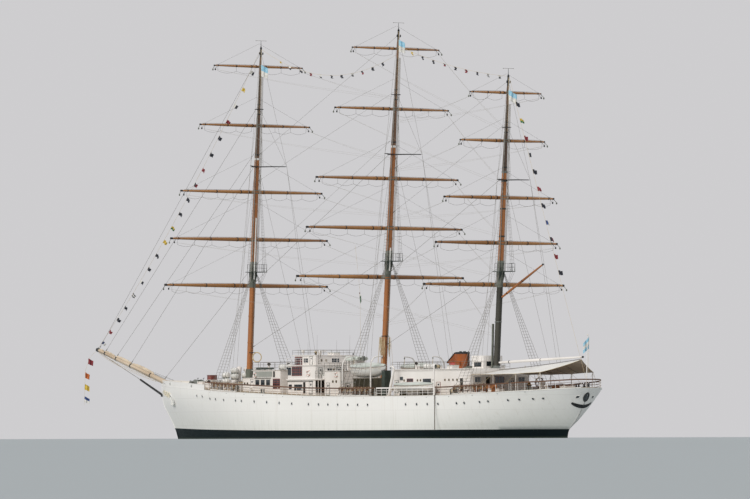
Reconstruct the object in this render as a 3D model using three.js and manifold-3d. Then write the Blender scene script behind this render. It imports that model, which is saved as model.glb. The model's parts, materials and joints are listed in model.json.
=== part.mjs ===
// A three-masted full-rigged sail-training ship with bare yards and an awning over the after deck.
// The model is one tenth of the ship, so one millimetre here is one centimetre of the ship.
// +X runs to the bow, +Y to port and +Z up. The origin is on the waterline, midway between perpendiculars.

import * as THREE from 'three';
import { mergeVertices } from 'three/addons/utils/BufferGeometryUtils.js';
import Module from 'manifold-3d';

const wasm = await Module();
wasm.setup();

// Driving dimensions
const GAP = 0.3;              // between pieces that touch
const HALF_BEAM = 715;
const DRAFT = 660;
const STEM_HEAD_X = 4460;
const STERN_X = -4390;
const STERN_POST_X = -3740;
const BOW_BREAK_X = 2670;     // after end of the bow bulwark
const PLATE = 5;              // half thickness of the stem and stern bars
const BULWARK_HEIGHT = 68;
const RAIL_HEIGHT = 100;
const DECK_THICK = 6;
const DECK_INSET = 4;
const RUDDER_STOCK_X = -3905;
const PROPELLER_X = -3790;
const PROPELLER_Z = -340;
const PROPELLER_RADIUS = 120;
const HOUSE_ROOF_Z = 835;     // roof of the after deckhouse
const HELM_X = -3420;
const AXIS_SPARS = 8;         // sides of a spar
const ROPE = 2.2;             // radius of a standing wire, as heavy as it has to be to stand in this scale

// Colours
const WHITE = 0xe9e8e2;
const BOTTOM = 0x1b2622;
const SPAR = 0xb5763f;
const OLIVE = 0x55564a;
const WOOD = 0x8a5a38;
const DECK_WOOD = 0xb59a72;
const WIRE = 0x6d6a63;
const BLACK = 0x1a1a1b;
const CANVAS = 0xefeee8;
const BRONZE = 0x9a7a3e;

// Masts: foot on the waterline, rake in degrees, deck or roof the foot stands on, heights of the
// top, the crosstrees, the upper crosstrees and the truck, and the outrigger's reach aft and out
const MASTS = {
  fore: { x: 2585, rake: 3.77, foot: 618, top: 2090, cross: 3410, upper: 4130, truck: 4893,
    reach: 250, spread: 270, colour: SPAR },
  main: { x: -240, rake: 4.49, foot: 525, top: 2166, cross: 3470, upper: 4200, truck: 4980,
    reach: 205, spread: 275, colour: SPAR },
  mizzen: { x: -2517, rake: 4.16, foot: 836, top: 1995, cross: 3090, upper: 3720, truck: 4327,
    reach: 180, spread: 240, colour: OLIVE },
};

// Mast radius at the deck, the top, the crosstrees, the upper crosstrees and the truck
const MAST_RADIUS = { foot: 38, top: 36, cross: 31, upper: 21, truck: 10 };

// Yards: mast, level, height, length, distance of the yard's axis ahead of the mast's axis
const YARDS = [
  ['fore', 'course', 1922, 2512, 125],
  ['fore', 'lower_topsail', 2501, 2421, 100],
  ['fore', 'upper_topsail', 3096, 2183, 88],
  ['fore', 'topgallant', 3927, 1699, 69],
  ['fore', 'royal', 4666, 1367, 42],
  ['main', 'course', 1976, 2544, 147],
  ['main', 'lower_topsail', 2572, 2378, 105],
  ['main', 'upper_topsail', 3179, 2169, 94],
  ['main', 'topgallant', 4027, 1739, 66],
  ['main', 'royal', 4762, 1328, 42],
  ['mizzen', 'course', 1839, 2124, 114],
  ['mizzen', 'lower_topsail', 2340, 1845, 98],
  ['mizzen', 'upper_topsail', 2881, 1664, 84],
  ['mizzen', 'topgallant', 3561, 1280, 64],
  ['mizzen', 'royal', 4135, 1078, 42],
];

// Yard thickness and pivot by level: radius at the slings, radius of the pivot's barrel
const YARD_LEVEL = {
  course: { radius: 26, barrel: 11 },
  lower_topsail: { radius: 24, barrel: 10 },
  upper_topsail: { radius: 22, barrel: 9 },
  topgallant: { radius: 19, barrel: 7 },
  royal: { radius: 16, barrel: 5 },
};

// Sheer: X and height of the deck's edge
const SHEER = [[-4390, 592], [-4060, 571], [-3680, 556], [-3280, 540], [-2700, 518], [-2200, 510],
  [-900, 508], [340, 522], [930, 542], [1540, 565], [2270, 590], [2670, 612], [3400, 645], [4460, 685]];

// Stern profile and stem profile: height and X
const STERN_PROFILE = [[-660, -3740], [-170, -3740], [-110, -3830], [-50, -3930], [100, -3985],
  [190, -4100], [300, -4200], [400, -4275], [500, -4330], [592, -4390]];
const STEM_PROFILE = [[-660, 3440], [-560, 3700], [-400, 3880], [-200, 4010], [0, 4080], [150, 4168],
  [330, 4320], [450, 4420], [560, 4448], [760, 4462]];

// Helpers

function along(table, value) {
  const last = table.length - 1;
  for (let i = 0; i < last; i += 1) {
    const [a, fa] = table[i];
    const [b, fb] = table[i + 1];
    if (value <= b) return fa + (fb - fa) * Math.max(0, (value - a) / (b - a));
  }
  return table[last][1];
}

const sheer = (x) => along(SHEER, x);
const bootTop = (x) => 100 + (x > 0 ? 35 * (x / 4000) ** 2 : 5 * (x / 4000) ** 2);
const mastX = (mast, z) => mast.x - Math.tan(THREE.MathUtils.degToRad(mast.rake)) * z;

function mastRadius(mast, z) {
  const r = MAST_RADIUS;
  return along([[0, r.foot], [mast.top, r.top], [mast.cross, r.cross], [mast.upper, r.upper],
    [mast.truck, r.truck]], z);
}

function halfBreadth(x, z) {
  const deep = Math.max(0, Math.min(1, -z / DRAFT));
  const high = Math.max(0, Math.min(1, z / 560));
  const bilge = Math.max(0.02, (1 - deep ** 4.2)) ** 0.42;
  const bow = along(STEM_PROFILE, z);
  const stern = along(STERN_PROFILE, z);
  const foreBody = 500 + 400 * high;
  const afterBody = -900 - 500 * high;
  let full = 1;
  if (x > foreBody) {
    const s = Math.min(1, (x - foreBody) / (bow - foreBody));
    const power = 1.9 + 0.75 * high - 0.55 * deep;
    full = (1 - s ** power) ** (1 + 0.15 * deep);
  }
  if (x < afterBody) {
    const s = Math.min(1, (afterBody - x) / (afterBody - stern));
    const power = 2.0 + 0.9 * high ** 0.7 - 0.7 * deep;
    full = (1 - s ** power) ** (1 - 0.57 * high ** 0.7);
  }
  return Math.max(PLATE, HALF_BEAM * bilge * full);
}

// Stations run from stern to stem and crowd towards the ends
const STATIONS = [0, 0.012, 0.03, 0.06, 0.1, 0.15, 0.21, 0.28, 0.36, 0.45, 0.55, 0.64, 0.72, 0.799,
  0.85, 0.9, 0.94, 0.97, 0.988, 1];

// The deck's height and edge between stations, as its flat strips run
const deckStem = along(STEM_PROFILE, sheer(STEM_HEAD_X));
const deckStations = STATIONS.map((u) => STERN_X + (deckStem - STERN_X) * u);
const deckLine = deckStations.map((x) => [x, sheer(x)]);
const deckEdge = deckStations.map((x) => [x, halfBreadth(x, sheer(x))]);
const deckHalf = (x) => along(deckEdge, x);
const deckTop = (x) => along(deckLine, x) + DECK_THICK;

function geometryOf(vertices, triangles) {
  const geometry = new THREE.BufferGeometry();
  geometry.setAttribute('position', new THREE.Float32BufferAttribute(vertices.flat(), 3));
  geometry.setIndex(triangles.flat());
  return outward(geometry);
}

function outward(geometry) {
  const index = geometry.getIndex();
  const position = geometry.getAttribute('position');
  const [a, b, c] = [new THREE.Vector3(), new THREE.Vector3(), new THREE.Vector3()];
  let volume = 0;
  for (let i = 0; i < index.count; i += 3) {
    a.fromBufferAttribute(position, index.getX(i));
    b.fromBufferAttribute(position, index.getX(i + 1));
    c.fromBufferAttribute(position, index.getX(i + 2));
    volume += a.dot(b.cross(c));
  }
  if (volume < 0) {
    for (let i = 0; i < index.count; i += 3) {
      const second = index.getX(i + 1);
      index.setX(i + 1, index.getX(i + 2));
      index.setX(i + 2, second);
    }
  }
  return geometry;
}

// A tube through rings of the same number of points, with a flat or folded cap on each end
function loft(rings) {
  const n = rings[0].length;
  const triangles = [];
  for (let i = 0; i + 1 < rings.length; i += 1) {
    for (let j = 0; j < n; j += 1) {
      const k = (j + 1) % n;
      triangles.push([i * n + j, i * n + k, (i + 1) * n + k], [i * n + j, (i + 1) * n + k, (i + 1) * n + j]);
    }
  }
  const end = (rings.length - 1) * n;
  for (let j = 0; j < n / 2 - 1; j += 1) {
    const k = n - 1 - j;
    triangles.push([j, k, k - 1], [j, k - 1, j + 1]);
    triangles.push([end + j, end + k - 1, end + k], [end + j, end + j + 1, end + k - 1]);
  }
  return geometryOf(rings.flat(), triangles);
}

function solid(geometry) {
  const bare = geometry.clone();
  bare.deleteAttribute('normal');
  bare.deleteAttribute('uv');
  const merged = mergeVertices(bare, 1e-4);
  return new wasm.Manifold(new wasm.Mesh({
    numProp: 3,
    vertProperties: new Float32Array(merged.getAttribute('position').array),
    triVerts: new Uint32Array(merged.getIndex().array),
  }));
}

function geometry(body) {
  const mesh = body.getMesh();
  const result = new THREE.BufferGeometry();
  result.setAttribute('position', new THREE.Float32BufferAttribute(mesh.vertProperties, 3));
  result.setIndex(Array.from(mesh.triVerts));
  return result;
}

const fused = (geometries) => geometry(geometries.map(solid).reduce((sum, next) => sum.add(next)));
const cut = (from, tool) => geometry(solid(from).subtract(solid(tool)));
const common = (a, b) => geometry(solid(a).intersect(solid(b)));

function box(x0, x1, y0, y1, z0, z1) {
  const shape = new THREE.BoxGeometry(x1 - x0, y1 - y0, z1 - z0);
  shape.translate((x0 + x1) / 2, (y0 + y1) / 2, (z0 + z1) / 2);
  return shape;
}

function rod(from, to, radius, endRadius = radius, sides = 3) {
  const a = new THREE.Vector3(...from);
  const b = new THREE.Vector3(...to);
  const length = a.distanceTo(b);
  const shape = new THREE.CylinderGeometry(endRadius, radius, length, sides);
  const turn = new THREE.Quaternion().setFromUnitVectors(new THREE.Vector3(0, 1, 0),
    b.clone().sub(a).normalize());
  shape.applyQuaternion(turn);
  shape.translate(...a.add(b).multiplyScalar(0.5).toArray());
  return shape;
}

// A side profile of X and Z points drawn out across the ship
function acrossShip(points, y0, y1) {
  const shape = new THREE.Shape(points.map(([x, z]) => new THREE.Vector2(x, z)));
  const prism = new THREE.ExtrudeGeometry(shape, { depth: y1 - y0, bevelEnabled: false });
  prism.rotateX(Math.PI / 2);
  prism.translate(0, y1, 0);
  return prism;
}

// A plan of X and Y points drawn upwards
function upwards(points, z0, z1) {
  const shape = new THREE.Shape(points.map(([x, y]) => new THREE.Vector2(x, y)));
  const prism = new THREE.ExtrudeGeometry(shape, { depth: z1 - z0, bevelEnabled: false });
  prism.translate(0, 0, z0);
  return prism;
}

const ship = new THREE.Group();

function add(name, shape, colour, roughness = 0.55, metalness = 0.1) {
  const material = new THREE.MeshStandardMaterial({ color: colour, roughness, metalness });
  const mesh = new THREE.Mesh(shape, material);
  mesh.name = name;
  ship.add(mesh);
}

// One layer of the hull between two height rules, each a function of X
function hullLayer(low, high, steps, inset) {
  const rings = STATIONS.map((u) => {
    const port = [];
    for (let j = 0; j <= steps; j += 1) {
      const v = j / steps;
      const heightAt = (x) => low(x) + (high(x) - low(x)) * v;
      const bow = along(STEM_PROFILE, heightAt(STEM_HEAD_X));
      const stern = along(STERN_PROFILE, heightAt(STERN_X));
      const x = Math.min(bow - inset, Math.max(stern + inset, stern + (bow - stern) * u));
      const z = heightAt(x);
      port.push([x, halfBreadth(x, z) - inset, z]);
    }
    const starboard = port.map(([x, y, z]) => [x, -y, z]).reverse();
    return port.concat(starboard);
  });
  return loft(rings);
}

const solePiece = box(RUDDER_STOCK_X - 25, STERN_POST_X + 60, -12, 12, -DRAFT, -DRAFT + 28);
add('hull_bottom', fused([hullLayer(() => -DRAFT, bootTop, 8, 0), solePiece]), BOTTOM, 0.6);
add('hull_topsides', hullLayer((x) => bootTop(x) + GAP, sheer, 4, 0), WHITE, 0.4);
add('weather_deck', hullLayer((x) => sheer(x) + GAP, (x) => sheer(x) + DECK_THICK, 1, DECK_INSET), DECK_WOOD,
  0.8);

// Spars lying fore and aft from the bow

const SPRIT_TIP = [5926, 0, 1158];
const SPRIT_HEEL = [4170, 0, 664];
const spritRadius = { heel: 36, tip: 20 };
const spritHeight = (x) => SPRIT_HEEL[2]
  + (SPRIT_TIP[2] - SPRIT_HEEL[2]) * (x - SPRIT_HEEL[0]) / (SPRIT_TIP[0] - SPRIT_HEEL[0]);

const foredeckLine = [4000, ...deckStations.filter((x) => x > 4000), 4600].map((x) => [x, deckTop(x) + GAP]);
const foredeckBlock = acrossShip([[4000, 400], [4600, 400], ...foredeckLine.reverse()], -200, 200);
const spritSpar = rod(SPRIT_HEEL, SPRIT_TIP, spritRadius.heel, spritRadius.tip, 12);
add('bowsprit', cut(spritSpar, foredeckBlock), SPAR);

// Bow bulwark: a thin plate on the hull's edge that the bowsprit passes through
function edgeRing(x, side, inset, thick, z0, z1) {
  const y = side * (deckHalf(x) - inset);
  const inner = side * (deckHalf(x) - inset - thick);
  return [[x, y, z0], [x, y, z1], [x, inner, z1], [x, inner, z0]];
}

const bulwarkStations = deckStations.filter((x) => x > BOW_BREAK_X - 10);
const bulwarkSide = (side) => loft(bulwarkStations.map((x) => edgeRing(x, side, 0, DECK_INSET - 0.5,
  sheer(x) + GAP, sheer(x) + BULWARK_HEIGHT)));
const stemPlate = box(deckStem - 2, deckStem + 2, -6, 6, sheer(deckStem) + GAP,
  sheer(deckStem) + BULWARK_HEIGHT);
const spritHole = rod([4200, 0, spritHeight(4200)], [4700, 0, spritHeight(4700)], 40, 40, 12);
const bulwark = fused([bulwarkSide(1), bulwarkSide(-1), stemPlate]);
add('bow_bulwark', cut(bulwark, spritHole), WHITE, 0.4);

// Bobstay: a heavy bar at the stem that goes on as wire to the bowsprit's cap
const BOBSTAY_FOOT = [4458, 0, 566];
const BOBSTAY_BAR_END = [4930, 0, 757];
const bobstayHead = [5888, 0, spritHeight(5888) - 24];
add('bobstay', fused([
  rod(BOBSTAY_FOOT, BOBSTAY_BAR_END, 14, 12, 8),
  rod(BOBSTAY_BAR_END, bobstayHead, 3, 3, 6),
]), BLACK);

// Rails of the open deck: a cap rail and a middle rail on stanchions
function railSide(name, stations, side) {
  const inset = 12;
  const capRail = loft(stations.map((x) => edgeRing(x, side, inset, 9, deckTop(x) + RAIL_HEIGHT - 6,
    deckTop(x) + RAIL_HEIGHT)));
  const middle = loft(stations.map((x) => edgeRing(x, side, inset + 3, 3, deckTop(x) + 50, deckTop(x) + 53)));
  const footings = stations.map((x) => [x, deckHalf(x) - inset - 4.5, deckTop(x)]);
  const posts = footings.slice(0, -1).flatMap((from, i) => {
    const to = footings[i + 1];
    const spaces = Math.max(1, Math.round((to[0] - from[0]) / 300));
    return Array.from({ length: spaces }, (_, k) => from.map((v, axis) => v + (to[axis] - v) * (k / spaces)));
  });
  posts.push(footings[footings.length - 1]);
  const stanchions = posts.map(([x, half, z]) => box(x - 2.5, x + 2.5, side * half - 2.5, side * half + 2.5,
    z + GAP + 0.6, z + RAIL_HEIGHT - 3));
  add(name, fused([capRail, middle, ...stanchions]), WOOD, 0.6);
}

const AFTER_RAIL_X = -3550;
const railStations = [AFTER_RAIL_X, ...deckStations.filter((x) => x > AFTER_RAIL_X && x < BOW_BREAK_X - 100),
  BOW_BREAK_X - 6];
railSide('rail_port', railStations, 1);
railSide('rail_starboard', railStations, -1);

// The stern's rail follows the deck round the counter
const sternArc = [-3580, -3750, -3900, -4050, -4180, -4280, -4345];
function sternRail(inset, wide, z0, z1) {
  const port = sternArc.map((x) => edgeRing(x, 1, inset, wide, deckTop(x) + z0, deckTop(x) + z1));
  const end = STERN_X + inset + 10;
  const z = deckTop(end);
  const middle = [[end, 0, z + z0], [end, 0, z + z1], [end + wide, 0, z + z1], [end + wide, 0, z + z0]];
  const mirrored = ([x, y, z]) => [x, -y, z];
  return loft([...port, middle, ...port.map((ring) => ring.map(mirrored)).reverse()]);
}
const sternPosts = sternArc.filter((_, i) => i % 2 === 0).flatMap((x) => [1, -1].map((side) => {
  const y = side * (deckHalf(x) - 12 - 4.5);
  return box(x - 2.5, x + 2.5, y - 2.5, y + 2.5, deckTop(x) + GAP + 0.6, deckTop(x) + RAIL_HEIGHT - 3);
}));
const sternCap = sternRail(12, 9, RAIL_HEIGHT - 6, RAIL_HEIGHT);
add('rail_stern', fused([sternCap, sternRail(15, 3, 50, 53), ...sternPosts]), WOOD, 0.6);

// Rudder and propeller
const rudderPlan = [[28, 0], [18, 9], [-10, 11], [-90, 7], [-160, 1.5], [-160, -1.5], [-90, -7], [-10, -11],
  [18, -9]];
const rudderBlade = upwards(rudderPlan.map(([x, y]) => [RUDDER_STOCK_X + x, y]), -DRAFT + 34, -85);
const rudderStock = rod([RUDDER_STOCK_X, 0, -100], [RUDDER_STOCK_X, 0, -66], 9, 9, 10);
add('rudder', fused([rudderBlade, rudderStock]), BOTTOM, 0.6);

function propeller() {
  const pieces = [rod([STERN_POST_X - 1, 0, PROPELLER_Z], [PROPELLER_X - 20, 0, PROPELLER_Z], 15, 15, 12),
    rod([PROPELLER_X - 18, 0, PROPELLER_Z], [PROPELLER_X - 42, 0, PROPELLER_Z], 15, 5, 12)];
  for (let i = 0; i < 4; i += 1) {
    const sections = [[8, 9, 14], [60, 8, 34], [105, 4, 30], [PROPELLER_RADIUS, 2, 14]];
    const blade = loft(sections.map(([r, thick, wide]) => {
      const pitch = Math.atan2(55, r + 20);
      const [c, s] = [Math.cos(pitch), Math.sin(pitch)];
      return [[-thick / 2, -wide], [thick / 2, -wide], [thick / 2, wide], [-thick / 2, wide]]
        .map(([a, b]) => [a * c - b * s, a * s + b * c, r]);
    }));
    blade.rotateX(i * Math.PI / 2 + 0.3);
    blade.translate(PROPELLER_X, 0, PROPELLER_Z);
    pieces.push(blade);
  }
  return fused(pieces);
}
add('propeller', propeller(), BRONZE, 0.35, 0.8);

// Masts: a lower and top mast in one tube, with its top and crosstrees, and a pole above it

function yardPivot(mastName, z, barrel) {
  const mast = MASTS[mastName];
  return [mastX(mast, z) + mastRadius(mast, z) + barrel + 4, 0, z];
}

// Two lugs on the mast take the barrel of a yard's truss between them
function yardLugs(mastName, level, z) {
  const mast = MASTS[mastName];
  const { barrel } = YARD_LEVEL[level];
  const [x] = yardPivot(mastName, z, barrel);
  const high = barrel * 1.5 + 1;
  return [1, -1].map((up) => box(mastX(mast, z), x + barrel, -barrel, barrel,
    up > 0 ? z + high : z - high - 5, up > 0 ? z + high + 5 : z - high));
}

function mastTube(mast, z0, z1, sides, levels) {
  const stops = [z0, ...levels.filter((z) => z > z0 + 10 && z < z1 - 10), z1];
  return loft(stops.map((z) => {
    const r = mastRadius(mast, z);
    return Array.from({ length: sides }, (_, i) => {
      const a = (i + 0.5) * 2 * Math.PI / sides;
      return [mastX(mast, z) + r * Math.cos(a), r * Math.sin(a), z];
    });
  }));
}

const TOP_PLAN = [[55, 0], [48, 60], [20, 105], [-40, 112], [-150, 112], [-150, -112], [-40, -112],
  [20, -105], [48, -60]];

for (const [name, mast] of Object.entries(MASTS)) {
  const split = mast.cross + 110;
  const x = (z) => mastX(mast, z);
  const lugs = YARDS.filter(([on]) => on === name)
    .map(([, level, z]) => ({ z, pieces: yardLugs(name, level, z) }));
  const levels = [mast.top, mast.cross, mast.upper];
  const topPlate = upwards(TOP_PLAN.map(([px, py]) => [x(mast.top) + px, py]), mast.top - 4, mast.top + 4);
  const arms = [1, -1].map((side) => rod([x(mast.cross), side * 10, mast.cross],
    [x(mast.cross) - mast.reach, side * mast.spread, mast.cross], 7, 5, 6));
  const treeBase = box(x(mast.cross) - 60, x(mast.cross) + 34, -62, 62, mast.cross - 5, mast.cross + 5);
  add(`${name}_lower_mast`, fused([mastTube(mast, mast.foot, split, 10, levels), topPlate, treeBase, ...arms,
    ...lugs.filter(({ z }) => z < split).flatMap(({ pieces }) => pieces)]), mast.colour);

  const upperTree = box(x(mast.upper) - 40, x(mast.upper) + 28, -45, 45, mast.upper - 4, mast.upper + 4);
  const aerial = [
    rod([x(mast.truck), 0, mast.truck - 20], [x(mast.truck), 0, mast.truck + 100], 3, 2, 6),
    rod([x(mast.truck), -80, mast.truck + 95], [x(mast.truck), 80, mast.truck + 95], 2, 2, 4),
  ];
  const pole = mastTube(mast, split + GAP, mast.truck, 10, levels);
  add(`${name}_topgallant_mast`, fused([pole, upperTree, ...aerial,
    ...lugs.filter(({ z }) => z >= split).flatMap(({ pieces }) => pieces)]), SPAR);
}

// Yards, each on the barrel of its truss
for (const [mastName, level, z, length, ahead] of YARDS) {
  const { radius, barrel } = YARD_LEVEL[level];
  const [pivotX] = yardPivot(mastName, z, barrel);
  const yardX = mastX(MASTS[mastName], z) + ahead;
  const half = length / 2;
  const profile = [[0, -half], [radius * 0.45, -half], [radius * 0.8, -half * 0.6], [radius, -half * 0.15],
    [radius, half * 0.15], [radius * 0.8, half * 0.6], [radius * 0.45, half], [0, half]];
  const spar = new THREE.LatheGeometry(profile.map(([r, y]) => new THREE.Vector2(r, y)), AXIS_SPARS);
  spar.translate(yardX, 0, z);
  const arm = box(pivotX, yardX, -barrel * 0.6, barrel * 0.6, z - barrel, z + barrel);
  const hub = rod([pivotX, 0, z - barrel * 1.5], [pivotX, 0, z + barrel * 1.5], barrel, barrel, 10);
  add(`${mastName}_${level}_yard`, fused([spar, arm, hub]), SPAR);
}

// Spanker gaff and boom on the mizzen's after side
const mizzen = MASTS.mizzen;
const gooseneck = (z, reach) => [mastX(mizzen, z) - mastRadius(mizzen, z) - reach, 0, z];
function swingingSpar(name, jawZ, peak, radius, colour) {
  const pivot = gooseneck(jawZ, 16);
  const hub = rod([pivot[0], 0, jawZ - 18], [pivot[0], 0, jawZ + 18], 11, 11, 10);
  const start = [pivot[0] - 4, 0, jawZ];
  const middle = start.map((v, i) => v + (peak[i] - v) * 0.45);
  const inner = rod(start, middle, radius * 0.8, radius, 8);
  const outer = rod(middle, peak, radius, radius * 0.6, 8);
  add(name, fused([hub, inner, outer]), colour);
}
const BOOM_JAW_Z = 905;
const BOOM_END = [-4262, 0, 955];
const GAFF_JAW_Z = 1690;
const GAFF_PEAK = [-3500, 0, 2065];
swingingSpar('spanker_boom', BOOM_JAW_Z, BOOM_END, 17, WHITE);
swingingSpar('spanker_gaff', GAFF_JAW_Z, GAFF_PEAK, 15, SPAR);

// Deckhouses: a side profile that follows the deck, cut to a plan with cropped corners
function house(x0, x1, half, roof, corner) {
  const floor = deckStations.filter((x) => x > x0 && x < x1);
  const under = [x0, ...floor, x1].map((x) => [x, deckTop(x) + GAP + 0.2]);
  const body = acrossShip([...under, [x1, roof], [x0, roof]], -half, half);
  const plan = [[x0 + corner, -half], [x1 - corner, -half], [x1, -half + corner], [x1, half - corner],
    [x1 - corner, half], [x0 + corner, half], [x0, half - corner], [x0, -half + corner]];
  return common(body, upwards(plan, 400, roof + 1));
}

function slab(x0, x1, half, z0, z1) {
  return box(x0, x1, -half, half, z0, z1);
}

add('fore_house', fused([house(1400, 1985, 340, 850, 20), house(1960, 2330, 250, 758, 15),
  slab(1385, 2000, 352, 848, 856)]), WHITE);
add('bridge_house', fused([house(600, 1190, 380, 900, 20), slab(455, 1200, 392, 722, 738),
  slab(590, 1200, 395, 898, 908)]), WHITE);
const wheelhousePlan = [[700, -300], [1130, -300], [1185, -200], [1185, 200], [1130, 300], [700, 300]];
add('wheelhouse', fused([upwards(wheelhousePlan, 908 + GAP, 1024), slab(688, 1200, 312, 1022, 1032)]), WHITE);
add('middle_house', fused([house(130, 454, 350, 830, 15), slab(120, 454, 362, 826, 834)]), WHITE);
const mizzenHatch = slab(-2510, -2270, 150, HOUSE_ROOF_Z - 5, 990);
add('after_house', fused([house(-2640, -1100, 450, HOUSE_ROOF_Z - 8, 25),
  slab(-2640, -1080, 465, HOUSE_ROOF_Z - 9, HOUSE_ROOF_Z), mizzenHatch]), WHITE);

// Funnel: an oval casing with a black cap and a raked apron before it
function funnel() {
  const oval = (x, half, wide, z) => Array.from({ length: 16 }, (_, i) => {
    const a = (i + 0.5) * 2 * Math.PI / 16;
    return [x + half * Math.cos(a), wide * Math.sin(a), z];
  });
  const casing = loft([oval(-1895, 118, 72, HOUSE_ROOF_Z + GAP), oval(-1905, 112, 68, 1040)]);
  const apron = acrossShip([[-1830, 1030], [-1800, 1034], [-1655, 925], [-1655, 915], [-1830, 925]], -45, 45);
  return fused([casing, apron]);
}
add('funnel', funnel(), SPAR, 0.5);

// Awning: a ridge tent in canvas with open ends, held by its stanchions
const AWNING_THICK = 4;
function awning() {
  const bays = [
    { ridge: [-2655, 812], eave: [-2655, 430, 762] },
    { ridge: [-3100, 838], eave: [-3080, 440, 758] },
    { ridge: [-3600, 872], eave: [-3500, 425, 762] },
    { ridge: [-4230, 925], eave: [-3950, 400, 778] },
  ];
  const rings = bays.map(({ ridge: [rx, rz], eave: [ex, ey, ez] }) => {
    const top = [[ex, ey, ez], [rx, 12, rz], [rx, -12, rz], [ex, -ey, ez]];
    const under = top.map(([x, y, z]) => [x, y, z - AWNING_THICK]).reverse();
    return top.concat(under);
  });
  const cloth = loft(rings);
  const posts = bays.flatMap(({ eave: [x, y, z] }, i) => {
    const within = x + [-8, 0, 0, 8][i];
    return [1, -1].map((side) => rod([within, side * (y - 6), deckTop(within) + GAP + 0.8],
      [within, side * (y - 6), z - 1], 4, 4, 6));
  });
  return fused([cloth, ...posts]);
}
add('awning', awning(), CANVAS, 0.9, 0);

// Steering position under the awning
const helmZ = deckTop(HELM_X) + 105;
function helmWheel() {
  const rim = new THREE.TorusGeometry(62, 4, 5, 16);
  rim.rotateY(Math.PI / 2);
  const spokes = Array.from({ length: 4 }, (_, i) => {
    const a = i * Math.PI / 4;
    const tip = [0, 80 * Math.cos(a), 80 * Math.sin(a)];
    return rod(tip.map((v) => -v), tip, 2.5, 2.5, 4);
  });
  const hub = rod([-9, 0, 0], [9, 0, 0], 10, 10, 12);
  const wheel = fused([rim, hub, ...spokes]);
  wheel.translate(HELM_X, 0, helmZ);
  return wheel;
}
add('helm_wheel', helmWheel(), WOOD, 0.5);
const helmDeck = deckTop(HELM_X - 60) + 1;
add('helm_stand', fused([box(HELM_X - 85, HELM_X - 25, -28, 28, helmDeck + 2, helmZ + 20),
  rod([HELM_X - 30, 0, helmZ], [HELM_X - 9.6, 0, helmZ], 5, 5, 10)]), WHITE);

// Boats: a round hull with a canvas cover
function boatShape(xc, yc, keelZ, length, wide, deep) {
  const sections = [[-1, 0.1, 0.55], [-0.8, 0.62, 0.2], [-0.45, 0.95, 0.03], [0, 1, 0], [0.45, 0.95, 0.03],
    [0.8, 0.6, 0.15], [1, 0.08, 0.5]];
  return loft(sections.map(([u, w, rise]) => {
    const x = xc + u * length / 2;
    const half = w * wide / 2;
    const low = keelZ + rise * deep;
    const gunwale = keelZ + deep * (0.72 + 0.1 * u * u);
    const ridge = keelZ + deep * (1 - 0.12 * u * u);
    const port = [[x, half * 0.15, low], [x, half * 0.75, low + (gunwale - low) * 0.3], [x, half, gunwale],
      [x, half * 0.12, ridge]];
    const starboard = port.map(([px, py, pz]) => [px, -py, pz]).reverse();
    return port.concat(starboard).map(([px, py, pz]) => [px, py + yc, pz]);
  }));
}

function lifeboat(side) {
  const [x, y, keelZ, length] = [-505, side * 385, 745, 700];
  const davits = [x - 290, x + 290].flatMap((dx) => [
    rod([dx, side * 560, deckTop(dx) + 1.5], [dx, side * 560, 900], 9, 9, 8),
    rod([dx, side * 560, 895], [dx, side * 500, 990], 9, 8, 8),
    rod([dx, side * 500, 985], [dx, side * 380, 1000], 8, 6, 8),
    rod([dx, side * 385, 1000], [dx, side * 385, 850], 2.5, 2.5, 6),
  ]);
  return fused([boatShape(x, y, keelZ, length, 220, 180), ...davits]);
}
add('lifeboat_port', lifeboat(1), WHITE);
add('lifeboat_starboard', lifeboat(-1), WHITE);

function launch(side) {
  const [x, y, keelZ, length] = [-1700, side * 585, deckTop(-1700) + 40, 780];
  const chocks = [x - 200, x + 200].map((cx) => box(cx - 10, cx + 10, y - 55, y + 55, deckTop(cx) + 1.5,
    keelZ + 25));
  return fused([boatShape(x, y, keelZ, length, 200, 125), ...chocks]);
}
add('launch_port', launch(1), WHITE);
add('launch_starboard', launch(-1), WHITE);

// Anchor windlass on the bow and the ensign's staff over the stern
const WINDLASS_X = 3650;
const windlassZ = deckTop(WINDLASS_X) + 55;
const windlassDrum = (y0, y1, radius, sides) => rod([WINDLASS_X, y0, windlassZ], [WINDLASS_X, y1, windlassZ],
  radius, radius, sides);
add('windlass', fused([windlassDrum(-120, 120, 22, 12),
  ...[-100, -35, 35, 100].map((y) => windlassDrum(y - 9, y + 9, 38, 14)),
  box(WINDLASS_X - 45, WINDLASS_X + 30, -60, 60, deckTop(WINDLASS_X) + 1.5, windlassZ - 20),
  box(WINDLASS_X - 30, WINDLASS_X + 20, -70, 70, windlassZ - 25, windlassZ + 20)]), OLIVE, 0.6, 0.5);
const STAFF_X = -4322;
add('ensign_staff', rod([STAFF_X, 0, deckTop(STAFF_X) + 1], [STAFF_X - 30, 0, 1210], 6, 3, 8), WHITE);

// Standing rigging of one side of a mast: lower shrouds, futtocks, topmast shrouds and backstays on one bar

const CHANNEL_INSET = 30;
const BAR = ROPE + 0.6;

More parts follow.
